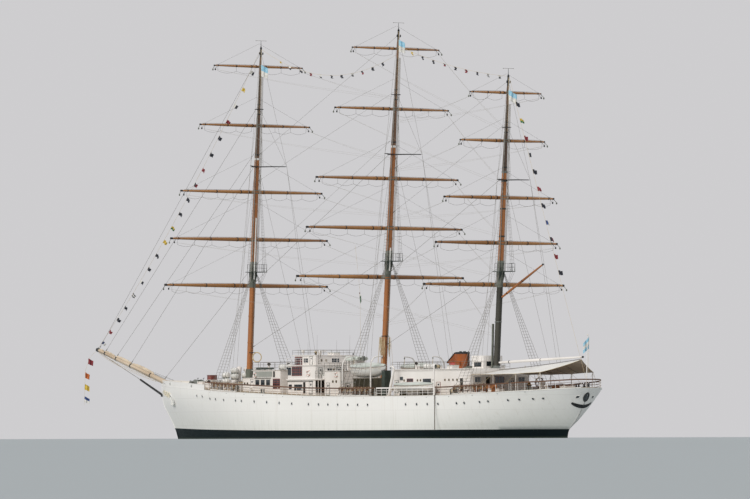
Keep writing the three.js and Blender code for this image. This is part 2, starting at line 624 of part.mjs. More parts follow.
function shrouds(name, side) {
  const mast = MASTS[name];
  const foot = (dx) => {
    const x = mast.x - 40 + dx;
    return [x, side * (deckHalf(x) - CHANNEL_INSET), deckTop(x) + 8];
  };
  const spread = name === 'mizzen' ? 0.92 : 1;
  const lowerFeet = [-20, -115, -210, -305].map((dx) => foot(dx * spread));
  const backFeet = [-420, -530, -640].map((dx) => foot(dx * spread));
  const hounds = mast.top - 30;
  const futtockFoot = hounds - 120;
  const futtockY = side * (mastRadius(mast, hounds) + 58);
  const aside = (z, dx) => [mastX(mast, z) + dx, side * (mastRadius(mast, z) + 6), z];
  const tip = [mastX(mast, mast.cross) - mast.reach - 8, side * (mast.spread + 8), mast.cross];
  const pieces = [];
  lowerFeet.forEach((from, i) => pieces.push(rod(from, aside(hounds, -14 - 8 * i), ROPE)));
  const rimX = [-45, -85, -125].map((dx) => mastX(mast, mast.top) + dx);
  rimX.forEach((x, i) => {
    const rim = [x, side * 120, mast.top];
    pieces.push(rod([mastX(mast, futtockFoot) - 30 - 14 * i, futtockY, futtockFoot], rim, ROPE));
    pieces.push(rod(rim, aside(mast.cross - 40, -6 - 8 * i), ROPE));
  });
  pieces.push(rod([rimX[0] + 6, side * 120, mast.top], [rimX[2] - 6, side * 120, mast.top], BAR));
  pieces.push(rod([mastX(mast, futtockFoot) - 8, futtockY, futtockFoot],
    [mastX(mast, futtockFoot) - 80, futtockY, futtockFoot], BAR));
  pieces.push(rod(backFeet[0], aside(mast.cross - 60, -14), ROPE));
  pieces.push(rod(backFeet[1], tip, ROPE), rod(tip, aside(mast.upper - 25, -10), ROPE));
  pieces.push(rod(backFeet[2], tip, ROPE), rod(tip, aside(mast.truck - 105, -6), ROPE));
  const channel = [lowerFeet[0][0] + 12, backFeet[2][0] - 12];
  pieces.push(loft([0, 0.34, 0.67, 1].map((t) => {
    const x = channel[0] + (channel[1] - channel[0]) * t;
    const y = side * (deckHalf(x) - CHANNEL_INSET);
    const z = deckTop(x) + GAP + 1.2;
    return [[x, y - 4, z], [x, y + 4, z], [x, y + 4, z + 12], [x, y - 4, z + 12]];
  })));
  const pole = (i) => lowerFeet[i].map((v, k) => v + (aside(hounds, -14 - 8 * i)[k] - v) * 0.1);
  pieces.push(rod(pole(0), pole(3), BAR));
  return fused(pieces);
}

for (const name of Object.keys(MASTS)) {
  add(`${name}_shrouds_port`, shrouds(name, 1), WIRE);
  add(`${name}_shrouds_starboard`, shrouds(name, -1), WIRE);
}

// Stays on the centreline, each from the fore side of its mast, joined where they come down

const ahead = (mast, z) => [mastX(mast, z) + mastRadius(mast, z) + 4, 0, z];
const { fore, main } = MASTS;
const HEAD_STAYS = [[4395, fore.top + 45], [5150, fore.cross + 30], [5480, fore.cross + 200],
  [5735, fore.upper + 40], [5878, fore.truck - 60]];
const spritLength = SPRIT_TIP[0] - SPRIT_HEEL[0];
const spritTop = (x) => [x, 0, spritHeight(x) + 42 - 17 * (x - SPRIT_HEEL[0]) / spritLength];
add('head_stays', fused([
  ...HEAD_STAYS.map(([x, z]) => rod(spritTop(x), ahead(fore, z), ROPE)),
  rod([4380, 0, spritTop(4380)[2] + 3], [5888, 0, spritTop(5888)[2] + 3], BAR),
]), WIRE);

// Stays between masts come down to a wire that runs just abaft the mast ahead
function mastStays(name, from, onto, feet) {
  const abaft = (z) => [mastX(onto, z) - mastRadius(onto, z) - 14, 0, z];
  const top = abaft(feet[feet.length - 1][1]);
  const bottom = abaft(feet[0][1]);
  add(name, fused([
    ...feet.map(([high, low]) => rod(abaft(low), ahead(from, high), ROPE)),
    rod([bottom[0], 0, bottom[2] - 8], [top[0], 0, top[2] + 8], ROPE + 0.4),
  ]), WIRE);
}
mastStays('main_stays', main, fore, [[main.top + 45, 1150], [main.cross + 30, 1960]]);
mastStays('mizzen_stays', mizzen, main, [[mizzen.top + 45, 1150], [mizzen.cross + 30, 2040]]);

export default ship;
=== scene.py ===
# %% [markdown]
# # A tall ship, one tenth of its size
# This is a three-masted full-rigged ship with bare yards and an awning over her after deck. The construction
# model carries hull, spars, houses and joints. This lesson gives it the looks: fair hull lines, planked decks,
# windows and portholes, running and standing rigging, boats, canvas and flags. One millimetre of the model is
# one centimetre of the ship, so every size below is written in model millimetres.

# %% Load the construction model
import json
import math
import random
import bmesh
import bpy
import numpy as np
from mathutils import Matrix, Quaternion, Vector

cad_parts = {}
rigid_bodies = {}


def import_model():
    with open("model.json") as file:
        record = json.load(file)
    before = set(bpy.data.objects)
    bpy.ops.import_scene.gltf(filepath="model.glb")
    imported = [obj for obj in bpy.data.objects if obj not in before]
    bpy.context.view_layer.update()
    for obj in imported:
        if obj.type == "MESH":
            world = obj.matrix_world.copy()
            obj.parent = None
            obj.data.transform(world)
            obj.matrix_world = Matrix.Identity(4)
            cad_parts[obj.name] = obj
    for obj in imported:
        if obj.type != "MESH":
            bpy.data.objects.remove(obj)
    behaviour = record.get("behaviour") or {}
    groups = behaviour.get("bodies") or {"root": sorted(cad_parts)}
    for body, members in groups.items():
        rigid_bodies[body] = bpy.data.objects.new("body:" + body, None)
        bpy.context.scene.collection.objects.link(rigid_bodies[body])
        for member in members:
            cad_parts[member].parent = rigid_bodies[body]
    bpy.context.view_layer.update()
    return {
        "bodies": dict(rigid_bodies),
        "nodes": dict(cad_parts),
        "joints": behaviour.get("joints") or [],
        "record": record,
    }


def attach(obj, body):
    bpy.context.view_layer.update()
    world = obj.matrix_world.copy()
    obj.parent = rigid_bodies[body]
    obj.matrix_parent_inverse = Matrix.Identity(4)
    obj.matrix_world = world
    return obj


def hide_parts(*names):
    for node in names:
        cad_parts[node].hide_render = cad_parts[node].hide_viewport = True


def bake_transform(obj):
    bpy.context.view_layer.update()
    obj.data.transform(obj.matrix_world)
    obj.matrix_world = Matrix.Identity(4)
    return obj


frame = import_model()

MM = 0.001               # one model millimetre in metres
scene = bpy.context.scene
scene.view_settings.view_transform = "Standard"

# %% [markdown]
# ## The camera
# The ship was seen from far off, on her port quarter, from almost the height of her waterline. A long lens
# does this: the masts stay nearly parallel and the hull's curve shows against a straight waterline. The
# camera could be aimed with a tracking constraint, but here its axes are worked out from angles, because the
# small roll of a hand-held picture is one of them.

# %% Camera
BEARING = 0.93440        # radians from the port beam towards the stern
DISTANCE = 88.188        # metres of the model
EYE_HEIGHT = 0.0053
AIM_OFFSET = -0.24       # the main mast's foot along the ship
PITCH, YAW, ROLL = 0.02618, 0.00072, -0.00279
LENS = 7199.5 * 36 / 750

aim = Vector((math.sin(BEARING) * math.cos(PITCH), -math.cos(BEARING) * math.cos(PITCH), math.sin(PITCH)))
aim.rotate(Quaternion((0, 0, 1), YAW))
right = aim.cross(Vector((0, 0, 1))).normalized()
upward = right.cross(aim)
right, upward = (right * math.cos(ROLL) + upward * math.sin(ROLL),
                 upward * math.cos(ROLL) - right * math.sin(ROLL))
camera = bpy.data.objects.new("camera", bpy.data.cameras.new("camera"))
scene.collection.objects.link(camera)
camera.data.lens = LENS
camera.data.clip_start, camera.data.clip_end = 0.1, 900.0
place = Matrix.Identity(4)
for row in range(3):
    place[row][0], place[row][1], place[row][2] = right[row], upward[row], -aim[row]
place.translation = (AIM_OFFSET - math.sin(BEARING) * DISTANCE, math.cos(BEARING) * DISTANCE, EYE_HEIGHT)
camera.matrix_world = place
scene.camera = camera
print("camera at", [round(v, 2) for v in camera.location], "lens", round(LENS, 1))

# %% [markdown]
# ## Water level, daylight and the helper for nodes
# The ship is shown as a model whose floor stands at her waterline, so the part below it is hidden from this
# view. An overcast sky is one large soft light, and a wide weak sun gives the faint shading that the hull
# shows. A wide floor with no texture would look like paper, so it has a trace of tone.

# %% Colours and nodes
def colour(code):
    """An sRGB hex value as the linear colour that shaders want."""
    parts = [int(code[i:i + 2], 16) / 255 for i in (1, 3, 5)]
    return (*[c / 12.92 if c <= 0.04045 else ((c + 0.055) / 1.055) ** 2.4 for c in parts], 1.0)


def add_node(tree, kind, settings=None, links=None):
    """Adds one node. Settings are attributes or socket values, links are sockets fed by other outputs."""
    node = tree.nodes.new(kind)
    for name, value in (settings or {}).items():
        if isinstance(name, str) and hasattr(node, name):
            setattr(node, name, value)
        else:
            node.inputs[name].default_value = value
    for name, source in (links or {}).items():
        tree.links.new(source, node.inputs[name])
    return node


# %% Floor, sky and sun
FLOOR_HALF = 260.0


def make_floor():
    mesh = bpy.data.meshes.new("floor")
    corners = [(-FLOOR_HALF, -FLOOR_HALF, 0), (FLOOR_HALF, -FLOOR_HALF, 0), (FLOOR_HALF, FLOOR_HALF, 0),
               (-FLOOR_HALF, FLOOR_HALF, 0)]
    mesh.from_pydata(corners, [], [(0, 1, 2, 3)])
    floor = bpy.data.objects.new("floor", mesh)
    scene.collection.objects.link(floor)
    material = bpy.data.materials.new("pale_studio_floor")
    material.use_nodes = True
    tree = material.node_tree
    shader = tree.nodes["Principled BSDF"]
    shader.inputs["Roughness"].default_value = 0.9
    where = add_node(tree, "ShaderNodeTexCoord")
    cloud = add_node(tree, "ShaderNodeTexNoise", {"Scale": 0.08, "Detail": 2.0},
                     {"Vector": where.outputs["Object"]})
    tone = add_node(tree, "ShaderNodeMix", {"data_type": "RGBA", 6: colour("#a3acb0"), 7: colour("#b0b8ba")},
                    {0: cloud.outputs["Fac"]})
    tree.links.new(tone.outputs[2], shader.inputs["Base Color"])
    mesh.materials.append(material)


make_floor()
world = bpy.data.worlds.new("overcast")
world.use_nodes = True
scene.world = world
world.node_tree.nodes["Background"].inputs["Color"].default_value = colour("#d6d5d7")
world.node_tree.nodes["Background"].inputs["Strength"].default_value = 0.92

sun_data = bpy.data.lights.new("soft_sun", "SUN")
sun_data.energy = 1.7
sun_data.angle = math.radians(35)
sun_data.color = colour("#fffaf3")[:3]
sun = bpy.data.objects.new("soft_sun", sun_data)
sun.rotation_euler = Vector((0.22, -0.84, -0.5)).to_track_quat("-Z", "Y").to_euler()
scene.collection.objects.link(sun)
print("floor at the waterline, sky and sun ready")

# %% [markdown]
# ## Shapes as lists of points and faces
# Most of a ship is plates, tubes and turned pieces. Each helper below returns points and faces in model
# millimetres, and one function joins them into a finished piece. This is quicker than operators, which need a
# selected object for each step, and it leaves every object at the origin with its place in its mesh.

# %% Basic shapes
def joined(shapes):
    points, faces = [], []
    for some, their in shapes:
        start = len(points)
        points.extend(some)
        faces.extend([tuple(i + start for i in f) for f in their])
    return points, faces


def box(x0, x1, y0, y1, z0, z1):
    points = [(x, y, z) for z in (z0, z1) for x, y in ((x0, y0), (x1, y0), (x1, y1), (x0, y1))]
    return points, [(3, 2, 1, 0), (4, 5, 6, 7), (0, 1, 5, 4), (1, 2, 6, 5), (2, 3, 7, 6), (3, 0, 4, 7)]


def loft(rings, closed=False):
    """Skins rings of equally many points; one face closes each end, unless the rings meet in a loop."""
    n, count = len(rings[0]), len(rings)
    points = [tuple(p) for ring in rings for p in ring]
    faces = []
    for i in range(count if closed else count - 1):
        a, b = i * n, (i + 1) % count * n
        faces.extend([(a + j, a + (j + 1) % n, b + (j + 1) % n, b + j) for j in range(n)])
    if not closed:
        faces.append(tuple(range(n - 1, -1, -1)))
        faces.append(tuple(range((count - 1) * n, count * n)))
    return points, faces


def tube(path, radius, sides=8, closed=False):
    """A round bar along points. radius is one number, or one for each point."""
    line = [Vector(p) for p in path]
    radii = radius if hasattr(radius, "__len__") else [radius] * len(line)
    last = len(line) - 1
    rings, side = [], None
    for i, point in enumerate(line):
        before = line[i - 1] if i or closed else line[i]
        after = line[(i + 1) % len(line)] if i < last or closed else line[i]
        along_ = (after - before).normalized()
        if side is None:
            side = along_.orthogonal().normalized()
        side = (side - along_ * side.dot(along_)).normalized()
        other = along_.cross(side)
        rings.append([tuple(point + (side * math.cos(t) + other * math.sin(t)) * radii[i])
                      for t in (2 * math.pi * k / sides for k in range(sides))])
    return loft(rings, closed)


def ring(centre, axis, radius, thick, turns=24, sides=8):
    """A round ring about an axis."""
    axis = Vector(axis).normalized()
    side = axis.orthogonal().normalized()
    other = axis.cross(side)
    path = [Vector(centre) + (side * math.cos(t) + other * math.sin(t)) * radius
            for t in (2 * math.pi * k / turns for k in range(turns))]
    return tube(path, thick, sides, closed=True)


def turned(profile, start, axis, sides=16):
    """A turned piece: profile is (distance along the axis, radius), from one end to the other."""
    axis = Vector(axis).normalized()
    return tube([Vector(start) + axis * d for d, _ in profile], [max(r, 0.05) for _, r in profile], sides)


def ball(centre, radius, flat=1.0, sides=12):
    steps = [math.pi * k / 8 for k in range(9)]
    return turned([(-math.cos(t) * radius * flat, math.sin(t) * radius) for t in steps], centre, (0, 0, 1),
                  sides)


def slab(outline, z0, z1):
    """A plan of X and Y points drawn from one height to another."""
    return loft([[(x, y, z0) for x, y in outline], [(x, y, z1) for x, y in outline]])


def mirrored(shape):
    """The same piece on the other side of the ship, with its faces turned to point outwards again."""
    points, faces = shape
    return [(x, -y, z) for x, y, z in points], [tuple(reversed(f)) for f in faces]


def both_sides(shape):
    return joined([shape, mirrored(shape)])


# %% One finished piece
def piece(name, parts, body="hull", stands_for=(), sharp=38, bevel=0.0, ride=True):
    """Makes an object of (shape, material) pairs, shades it and lets it ride on a body."""
    mesh = bpy.data.meshes.new(name)
    points, faces, looks, finishes = [], [], [], []
    for shape, finish in parts:
        if finish not in finishes:
            finishes.append(finish)
        start = len(points)
        points.extend(shape[0])
        faces.extend([tuple(i + start for i in f) for f in shape[1]])
        looks.extend([finishes.index(finish)] * len(shape[1]))
    mesh.from_pydata([(x * MM, y * MM, z * MM) for x, y, z in points], [], faces)
    for finish in finishes:
        mesh.materials.append(finish)
    mesh.polygons.foreach_set("material_index", looks)
    mesh.validate()
    tidy = bmesh.new()
    tidy.from_mesh(mesh)
    bmesh.ops.recalc_face_normals(tidy, faces=tidy.faces)
    tidy.to_mesh(mesh)
    tidy.free()
    mesh.polygons.foreach_set("use_smooth", [True] * len(mesh.polygons))
    mesh.set_sharp_from_angle(angle=math.radians(sharp))
    obj = bpy.data.objects.new(name, mesh)
    scene.collection.objects.link(obj)
    if bevel:
        edge = obj.modifiers.new("rounded_edges", "BEVEL")
        edge.width, edge.segments, edge.limit_method = bevel * MM, 2, "ANGLE"
        edge.angle_limit = math.radians(40)
        edge.harden_normals = True
    if ride:
        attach(obj, body)
    if stands_for:
        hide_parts(*stands_for)
    return obj


def count_of(*objects):
    return sum(len(o.data.polygons) for o in objects)


# %% Growing pieces with Geometry Nodes
SOCKETS = {int: "NodeSocketInt", float: "NodeSocketFloat", bpy.types.Material: "NodeSocketMaterial"}


def new_tree(name, inputs):
    """An empty tree with a geometry input and the named ones; returns it with its input and output nodes."""
    tree = bpy.data.node_groups.new(name, "GeometryNodeTree")
    tree.interface.new_socket("Geometry", in_out="INPUT", socket_type="NodeSocketGeometry")
    for label, value in inputs.items():
        kind = SOCKETS[bpy.types.Material] if isinstance(value, bpy.types.Material) else SOCKETS[type(value)]
        socket = tree.interface.new_socket(label, in_out="INPUT", socket_type=kind)
        if not isinstance(value, bpy.types.Material):
            socket.default_value = value
    tree.interface.new_socket("Geometry", in_out="OUTPUT", socket_type="NodeSocketGeometry")
    return tree, tree.nodes.new("NodeGroupInput"), tree.nodes.new("NodeGroupOutput")


def grown(name, tree, values, points, edges=(), attributes=None):
    """Runs a tree on a small mesh and returns its result as (shape in model millimetres, material) pairs."""
    seed = bpy.data.meshes.new(name + "_seed")
    seed.from_pydata([tuple(c * MM for c in p) for p in points], list(edges), [])
    for label, vectors in (attributes or {}).items():
        layer = seed.attributes.new(label, "FLOAT_VECTOR", "POINT")
        layer.data.foreach_set("vector", [c for v in vectors for c in v])
    host = bpy.data.objects.new(name + "_seed", seed)
    scene.collection.objects.link(host)
    modifier = host.modifiers.new(tree.name, "NODES")
    modifier.node_group = tree
    identifiers = {s.name: s.identifier for s in tree.interface.items_tree if s.in_out == "INPUT"}
    for label, value in values.items():
        modifier[identifiers[label]] = value
    evaluated = host.evaluated_get(bpy.context.evaluated_depsgraph_get())
    mesh = bpy.data.meshes.new_from_object(evaluated)
    host.modifiers.remove(modifier)
    corners = [tuple(c / MM for c in v.co) for v in mesh.vertices]
    parts = []
    for slot, finish in enumerate(mesh.materials):
        polygons = [tuple(p.vertices) for p in mesh.polygons if p.material_index == slot]
        used = sorted({i for f in polygons for i in f})
        place = {old: new for new, old in enumerate(used)}
        if polygons:
            parts.append((([corners[i] for i in used], [tuple(place[i] for i in f) for f in polygons]),
                          finish))
    bpy.data.objects.remove(host)
    bpy.data.meshes.remove(mesh)
    return parts


def bare(parts):
    """The shapes of some parts, without their materials."""
    return joined([shape for shape, _ in parts])


print("helpers ready")

# %% [markdown]
# ## Paint, wood, wire and canvas
# Nearly everything on a sail-training ship is painted steel, varnished or oiled teak, galvanised wire or
# canvas. An image of each could be wrapped round the pieces, but node patterns on object coordinates need no
# unwrapping and keep their real scale on every piece. Each finish gets tone that changes over a known length,
# a roughness that changes with it and a bump for its grain, laps or seams. Patterns under about 5 mm of the
# model are drawn coarser than life, because the finer ones would vanish at this distance.

# %% A weathered surface
def new_finish(name, roughness=0.5, metallic=0.0, specular=0.5):
    material = bpy.data.materials.new(name)
    material.use_nodes = True
    tree = material.node_tree
    shader = tree.nodes["Principled BSDF"]
    shader.inputs["Roughness"].default_value = roughness
    shader.inputs["Metallic"].default_value = metallic
    shader.inputs["Specular IOR Level"].default_value = specular
    where = add_node(tree, "ShaderNodeTexCoord").outputs["Object"]
    return material, tree, shader, where


def weathered(name, light, dark, patch, rough=(0.4, 0.6), bump=0.3, grain=4.0, metallic=0.0,
              stretch=(1, 1, 1),
              coat=0.0, sheen=0.0):
    """A plain finish: tone drifts from light to dark over patch millimetres, and grain is the bump's size."""
    material, tree, shader, where = new_finish(name, rough[0], metallic)
    shader.inputs["Coat Weight"].default_value = coat
    shader.inputs["Sheen Weight"].default_value = sheen
    lie = add_node(tree, "ShaderNodeMapping", {"Scale": stretch}, {"Vector": where}).outputs["Vector"]
    drift = add_node(tree, "ShaderNodeTexNoise", {"Scale": 1000 / patch, "Detail": 4.0}, {"Vector": lie})
    fine = add_node(tree, "ShaderNodeTexNoise", {"Scale": 1000 / grain, "Detail": 3.0}, {"Vector": lie})
    spread = add_node(tree, "ShaderNodeMapRange", {"From Min": 0.35, "From Max": 0.68},
                      {"Value": drift.outputs["Fac"]})
    tone = add_node(tree, "ShaderNodeMix", {"data_type": "RGBA", 6: colour(light), 7: colour(dark)},
                    {0: spread.outputs["Result"]})
    gloss = add_node(tree, "ShaderNodeMapRange", {"To Min": rough[0], "To Max": rough[1]},
                     {"Value": drift.outputs["Fac"]})
    relief = add_node(tree, "ShaderNodeBump", {"Strength": bump, "Distance": grain * MM * 0.12},
                      {"Height": fine.outputs["Fac"]})
    tree.links.new(tone.outputs[2], shader.inputs["Base Color"])
    tree.links.new(gloss.outputs["Result"], shader.inputs["Roughness"])
    tree.links.new(relief.outputs["Normal"], shader.inputs["Normal"])
    return material


# %% [markdown]
# ## The hull's paint
# The topsides are steel plates welded in strakes and painted in gloss white. Salt and rust run down from the
# scuppers, and the paint greys towards the stern. The seams could be cut as grooves, but at one tenth they
# are half a millimetre deep, so they are a bump from a brick pattern whose rows are the strakes.

# %% Gloss white enamel on welded plates
PLATE_LONG, STRAKE_HIGH, SEAM = 0.62, 0.17, 0.0016


def make_topsides_enamel():
    material, tree, shader, where = new_finish("topsides_gloss_white_enamel", 0.34)
    shader.inputs["Coat Weight"].default_value = 0.15
    axes = add_node(tree, "ShaderNodeSeparateXYZ", links={"Vector": where})
    side = add_node(tree, "ShaderNodeCombineXYZ", links={"X": axes.outputs["X"], "Y": axes.outputs["Z"]})
    plates = add_node(tree, "ShaderNodeTexBrick",
                      {"Scale": 1.0, "Brick Width": PLATE_LONG, "Row Height": STRAKE_HIGH,
                       "Mortar Size": SEAM,
                       "Mortar Smooth": 0.6}, {"Vector": side.outputs["Vector"]})
    broad = add_node(tree, "ShaderNodeTexNoise", {"Scale": 1.4, "Detail": 4.0}, {"Vector": where})
    tall = add_node(tree, "ShaderNodeMapping", {"Scale": (26.0, 26.0, 0.9)}, {"Vector": where})
    run = add_node(tree, "ShaderNodeTexNoise", {"Scale": 1.0, "Detail": 5.0, "Roughness": 0.6},
                   {"Vector": tall.outputs["Vector"]})
    streak = add_node(tree, "ShaderNodeMapRange", {"From Min": 0.58, "From Max": 0.8, "To Max": 0.24},
                      {"Value": run.outputs["Fac"]})
    aft = add_node(tree, "ShaderNodeMapRange", {"From Min": -2.4, "From Max": -4.3, "To Max": 0.19},
                   {"Value": axes.outputs["X"]})
    low = add_node(tree, "ShaderNodeMapRange", {"From Min": 0.36, "From Max": 0.10, "To Max": 0.6},
                   {"Value": axes.outputs["Z"]})
    grime = add_node(tree, "ShaderNodeMath", {"operation": "MULTIPLY"},
                     {0: aft.outputs["Result"], 1: broad.outputs["Fac"]})
    wash = add_node(tree, "ShaderNodeMath", {"operation": "MULTIPLY"},
                    {0: low.outputs["Result"], 1: run.outputs["Fac"]})
    paint = add_node(tree, "ShaderNodeMix", {"data_type": "RGBA", 6: colour("#f6f5f1"), 7: colour("#eae9e5")},
                     {0: broad.outputs["Fac"]})
    rusty = add_node(tree, "ShaderNodeMix", {"data_type": "RGBA", 7: colour("#b7a58c")},
                     {0: streak.outputs["Result"], 6: paint.outputs[2]})
    grey = add_node(tree, "ShaderNodeMix", {"data_type": "RGBA", 7: colour("#b9bdb3")},
                    {0: grime.outputs["Value"], 6: rusty.outputs[2]})
    green = add_node(tree, "ShaderNodeMix", {"data_type": "RGBA", 7: colour("#c3c8bd")},
                     {0: wash.outputs["Value"], 6: grey.outputs[2]})
    seams = add_node(tree, "ShaderNodeMix", {"data_type": "RGBA", 7: colour("#dcdbd6")},
                     {0: plates.outputs["Fac"], 6: green.outputs[2]})
    ripple = add_node(tree, "ShaderNodeTexNoise", {"Scale": 5.0, "Detail": 2.0}, {"Vector": where})
    height = add_node(tree, "ShaderNodeMath", {"operation": "SUBTRACT"},
                      {0: ripple.outputs["Fac"], 1: plates.outputs["Fac"]})
    relief = add_node(tree, "ShaderNodeBump", {"Strength": 0.35, "Distance": 0.0012},
                      {"Height": height.outputs["Value"]})
    gloss = add_node(tree, "ShaderNodeMapRange", {"To Min": 0.26, "To Max": 0.46},
                     {"Value": run.outputs["Fac"]})
    tree.links.new(seams.outputs[2], shader.inputs["Base Color"])
    tree.links.new(gloss.outputs["Result"], shader.inputs["Roughness"])
    tree.links.new(relief.outputs["Normal"], shader.inputs["Normal"])
    return material


TOPSIDES = make_topsides_enamel()
print("topsides enamel made")

# %% [markdown]
# ## Antifouling and boot-top
# Below the white is a dark boot-top that goes on as antifouling paint, matt and patchy, with a paler fringe
# of dried weed at the waterline. It is one finish whose tone depends on height, so the fringe stays on the
# waterline.

# %% Matt antifouling with a weed line
def make_antifouling():
    material, tree, shader, where = new_finish("boot_top_and_antifouling", 0.6, specular=0.12)
    height = add_node(tree, "ShaderNodeSeparateXYZ", links={"Vector": where}).outputs["Z"]
    patch = add_node(tree, "ShaderNodeTexNoise", {"Scale": 3.2, "Detail": 5.0}, {"Vector": where})
    flow = add_node(tree, "ShaderNodeMapping", {"Scale": (9.0, 9.0, 60.0)}, {"Vector": where})
    drip = add_node(tree, "ShaderNodeTexNoise", {"Scale": 1.0, "Detail": 4.0},
                    {"Vector": flow.outputs["Vector"]})
    fringe = add_node(tree, "ShaderNodeMapRange", {"From Min": 0.028, "From Max": 0.004, "To Max": 0.5},
                      {"Value": height})
    weed = add_node(tree, "ShaderNodeMath", {"operation": "MULTIPLY"},
                    {0: fringe.outputs["Result"], 1: drip.outputs["Fac"]})
    paint = add_node(tree, "ShaderNodeMix", {"data_type": "RGBA", 6: colour("#0b1518"), 7: colour("#0f2023")},
                     {0: patch.outputs["Fac"]})
    line = add_node(tree, "ShaderNodeMix", {"data_type": "RGBA", 7: colour("#5d6b58")},
                    {0: weed.outputs["Value"], 6: paint.outputs[2]})
    relief = add_node(tree, "ShaderNodeBump", {"Strength": 0.4, "Distance": 0.001},
                      {"Height": patch.outputs["Fac"]})
    gloss = add_node(tree, "ShaderNodeMapRange", {"To Min": 0.45, "To Max": 0.75},
                     {"Value": drip.outputs["Fac"]})
    tree.links.new(line.outputs[2], shader.inputs["Base Color"])
    tree.links.new(gloss.outputs["Result"], shader.inputs["Roughness"])
    tree.links.new(relief.outputs["Normal"], shader.inputs["Normal"])
    return material


BOTTOM = make_antifouling()
print("antifouling made")

# %% [markdown]
# ## Planked decks
# The decks are teak planks a hand wide, laid fore and aft and caulked with black. Planks could be cut one by
# one, but hundreds of them would cost more than the hull, and their seams are flush. A brick pattern gives
# them: its rows are the planks, and its joints are the caulking.

# %% Scrubbed teak planks
PLANK_WIDE, PLANK_LONG, CAULKING = 0.014, 0.62, 0.0011


def make_deck_teak():
    material, tree, shader, where = new_finish("scrubbed_teak_deck", 0.75)
    planks = add_node(tree, "ShaderNodeTexBrick",
                      {"Scale": 1.0, "Brick Width": PLANK_LONG, "Row Height": PLANK_WIDE,
                       "Mortar Size": CAULKING,
                       "Color1": colour("#bfa37c"), "Color2": colour("#a98b62"), "Mortar": colour("#2b2622")},
                      {"Vector": where})
    grain_lie = add_node(tree, "ShaderNodeMapping", {"Scale": (6.0, 120.0, 60.0)}, {"Vector": where})
    grain = add_node(tree, "ShaderNodeTexNoise", {"Scale": 1.0, "Detail": 4.0},
                     {"Vector": grain_lie.outputs["Vector"]})
    worn = add_node(tree, "ShaderNodeTexNoise", {"Scale": 1.6, "Detail": 3.0}, {"Vector": where})
    wood = add_node(tree, "ShaderNodeMix",
                    {"data_type": "RGBA", "blend_type": "MULTIPLY", 7: colour("#d9d2c6")},
                    {0: grain.outputs["Fac"], 6: planks.outputs["Color"]})
    bleached = add_node(tree, "ShaderNodeMix", {"data_type": "RGBA", 7: colour("#b5a893")},
                        {0: worn.outputs["Fac"], 6: wood.outputs[2]})
    relief = add_node(tree, "ShaderNodeBump", {"Strength": 0.5, "Distance": 0.0008, "invert": True},
                      {"Height": planks.outputs["Fac"]})
    tree.links.new(bleached.outputs[2], shader.inputs["Base Color"])
    tree.links.new(relief.outputs["Normal"], shader.inputs["Normal"])
    return material


DECK = make_deck_teak()
print("deck teak made")

# %% [markdown]
# ## The other finishes
# Most of what is left differs only in tone, gloss and grain, so one recipe serves, with the real size of its
# patches and grain. Wood and spars get their grain stretched along the piece.

# %% A table of finishes
HOUSE = weathered("deckhouse_white_enamel", "#f3efeb", "#dedad4", 520, (0.3, 0.5), 0.2, 9,
                  stretch=(1, 1, 0.3))
SPAR = weathered("ochre_brown_spar_enamel", "#b4733f", "#8c5730", 420, (0.35, 0.55), 0.3, 8,
                 stretch=(1, 1, 0.25))
YARD = weathered("ochre_brown_yard_enamel", "#b07d48", "#875b32", 260, (0.32, 0.5), 0.3, 8,
                 stretch=(1, 0.25, 1))
SPRIT = weathered("pale_buff_bowsprit_enamel", "#d6c6b0", "#b9a58c", 300, (0.35, 0.55), 0.3, 8,
                  stretch=(0.3, 1, 1))
SMOKED = weathered("smoke_darkened_mizzen_enamel", "#4c4a40", "#34332c", 300, (0.5, 0.7), 0.35, 7,
                   stretch=(1, 1, 0.3))
DOUBLING = weathered("grey_green_mast_fitting_enamel", "#7e8277", "#5b5f55", 90, (0.45, 0.6), 0.3, 5)
TEAK = weathered("oiled_teak_rail", "#71503a", "#523828", 60, (0.4, 0.6), 0.5, 3, stretch=(0.2, 1, 1))
SLATS = weathered("greyed_olive_slats", "#5f5946", "#403b2e", 60, (0.55, 0.75), 0.5, 4, stretch=(1, 1, 0.3))
RED_TEAK = weathered("varnished_red_hardwood", "#86433a", "#5f2c27", 40, (0.2, 0.35), 0.3, 3, coat=0.4)
WIRE = weathered("galvanised_wire_rope", "#8f8b84", "#6b675f", 30, (0.45, 0.65), 0.6, 2, metallic=0.35)
HEMP = weathered("tarred_hemp_rope", "#5f564a", "#453e35", 25, (0.7, 0.85), 0.7, 2)
ROPE = weathered("grey_running_rope", "#aaa69d", "#86827a", 30, (0.7, 0.85), 0.8, 3)
BROWN_ROPE = weathered("brown_hemp_coils", "#96714d", "#6d4f35", 30, (0.7, 0.85), 0.8, 3, sheen=0.15)
MANILA = weathered("pale_manila_rope", "#d8c7a3", "#b7a27b", 30, (0.7, 0.85), 0.8, 3, sheen=0.2)
IRON = weathered("black_iron_enamel", "#232426", "#141516", 70, (0.35, 0.55), 0.4, 4)
GREY_IRON = weathered("grey_machinery_enamel", "#868b86", "#666b66", 60, (0.4, 0.6), 0.35, 5)
GREEN_IRON = weathered("dark_green_deck_iron", "#3f4a42", "#2c352f", 60, (0.45, 0.65), 0.4, 5)
BRONZE = weathered("cast_bronze", "#b08a4a", "#8a6a36", 60, (0.3, 0.5), 0.3, 5, metallic=0.9)
BRASS = weathered("dull_brass_rim", "#a8905e", "#7d6a45", 30, (0.35, 0.55), 0.3, 2, metallic=0.8)
GILT = weathered("gilded_carving", "#ece6d4", "#d2c9b0", 30, (0.35, 0.5), 0.4, 3, metallic=0.2)
CANVAS = weathered("bleached_awning_canvas", "#eeeeea", "#dadad5", 380, (0.75, 0.9), 0.5, 5, sheen=0.3)
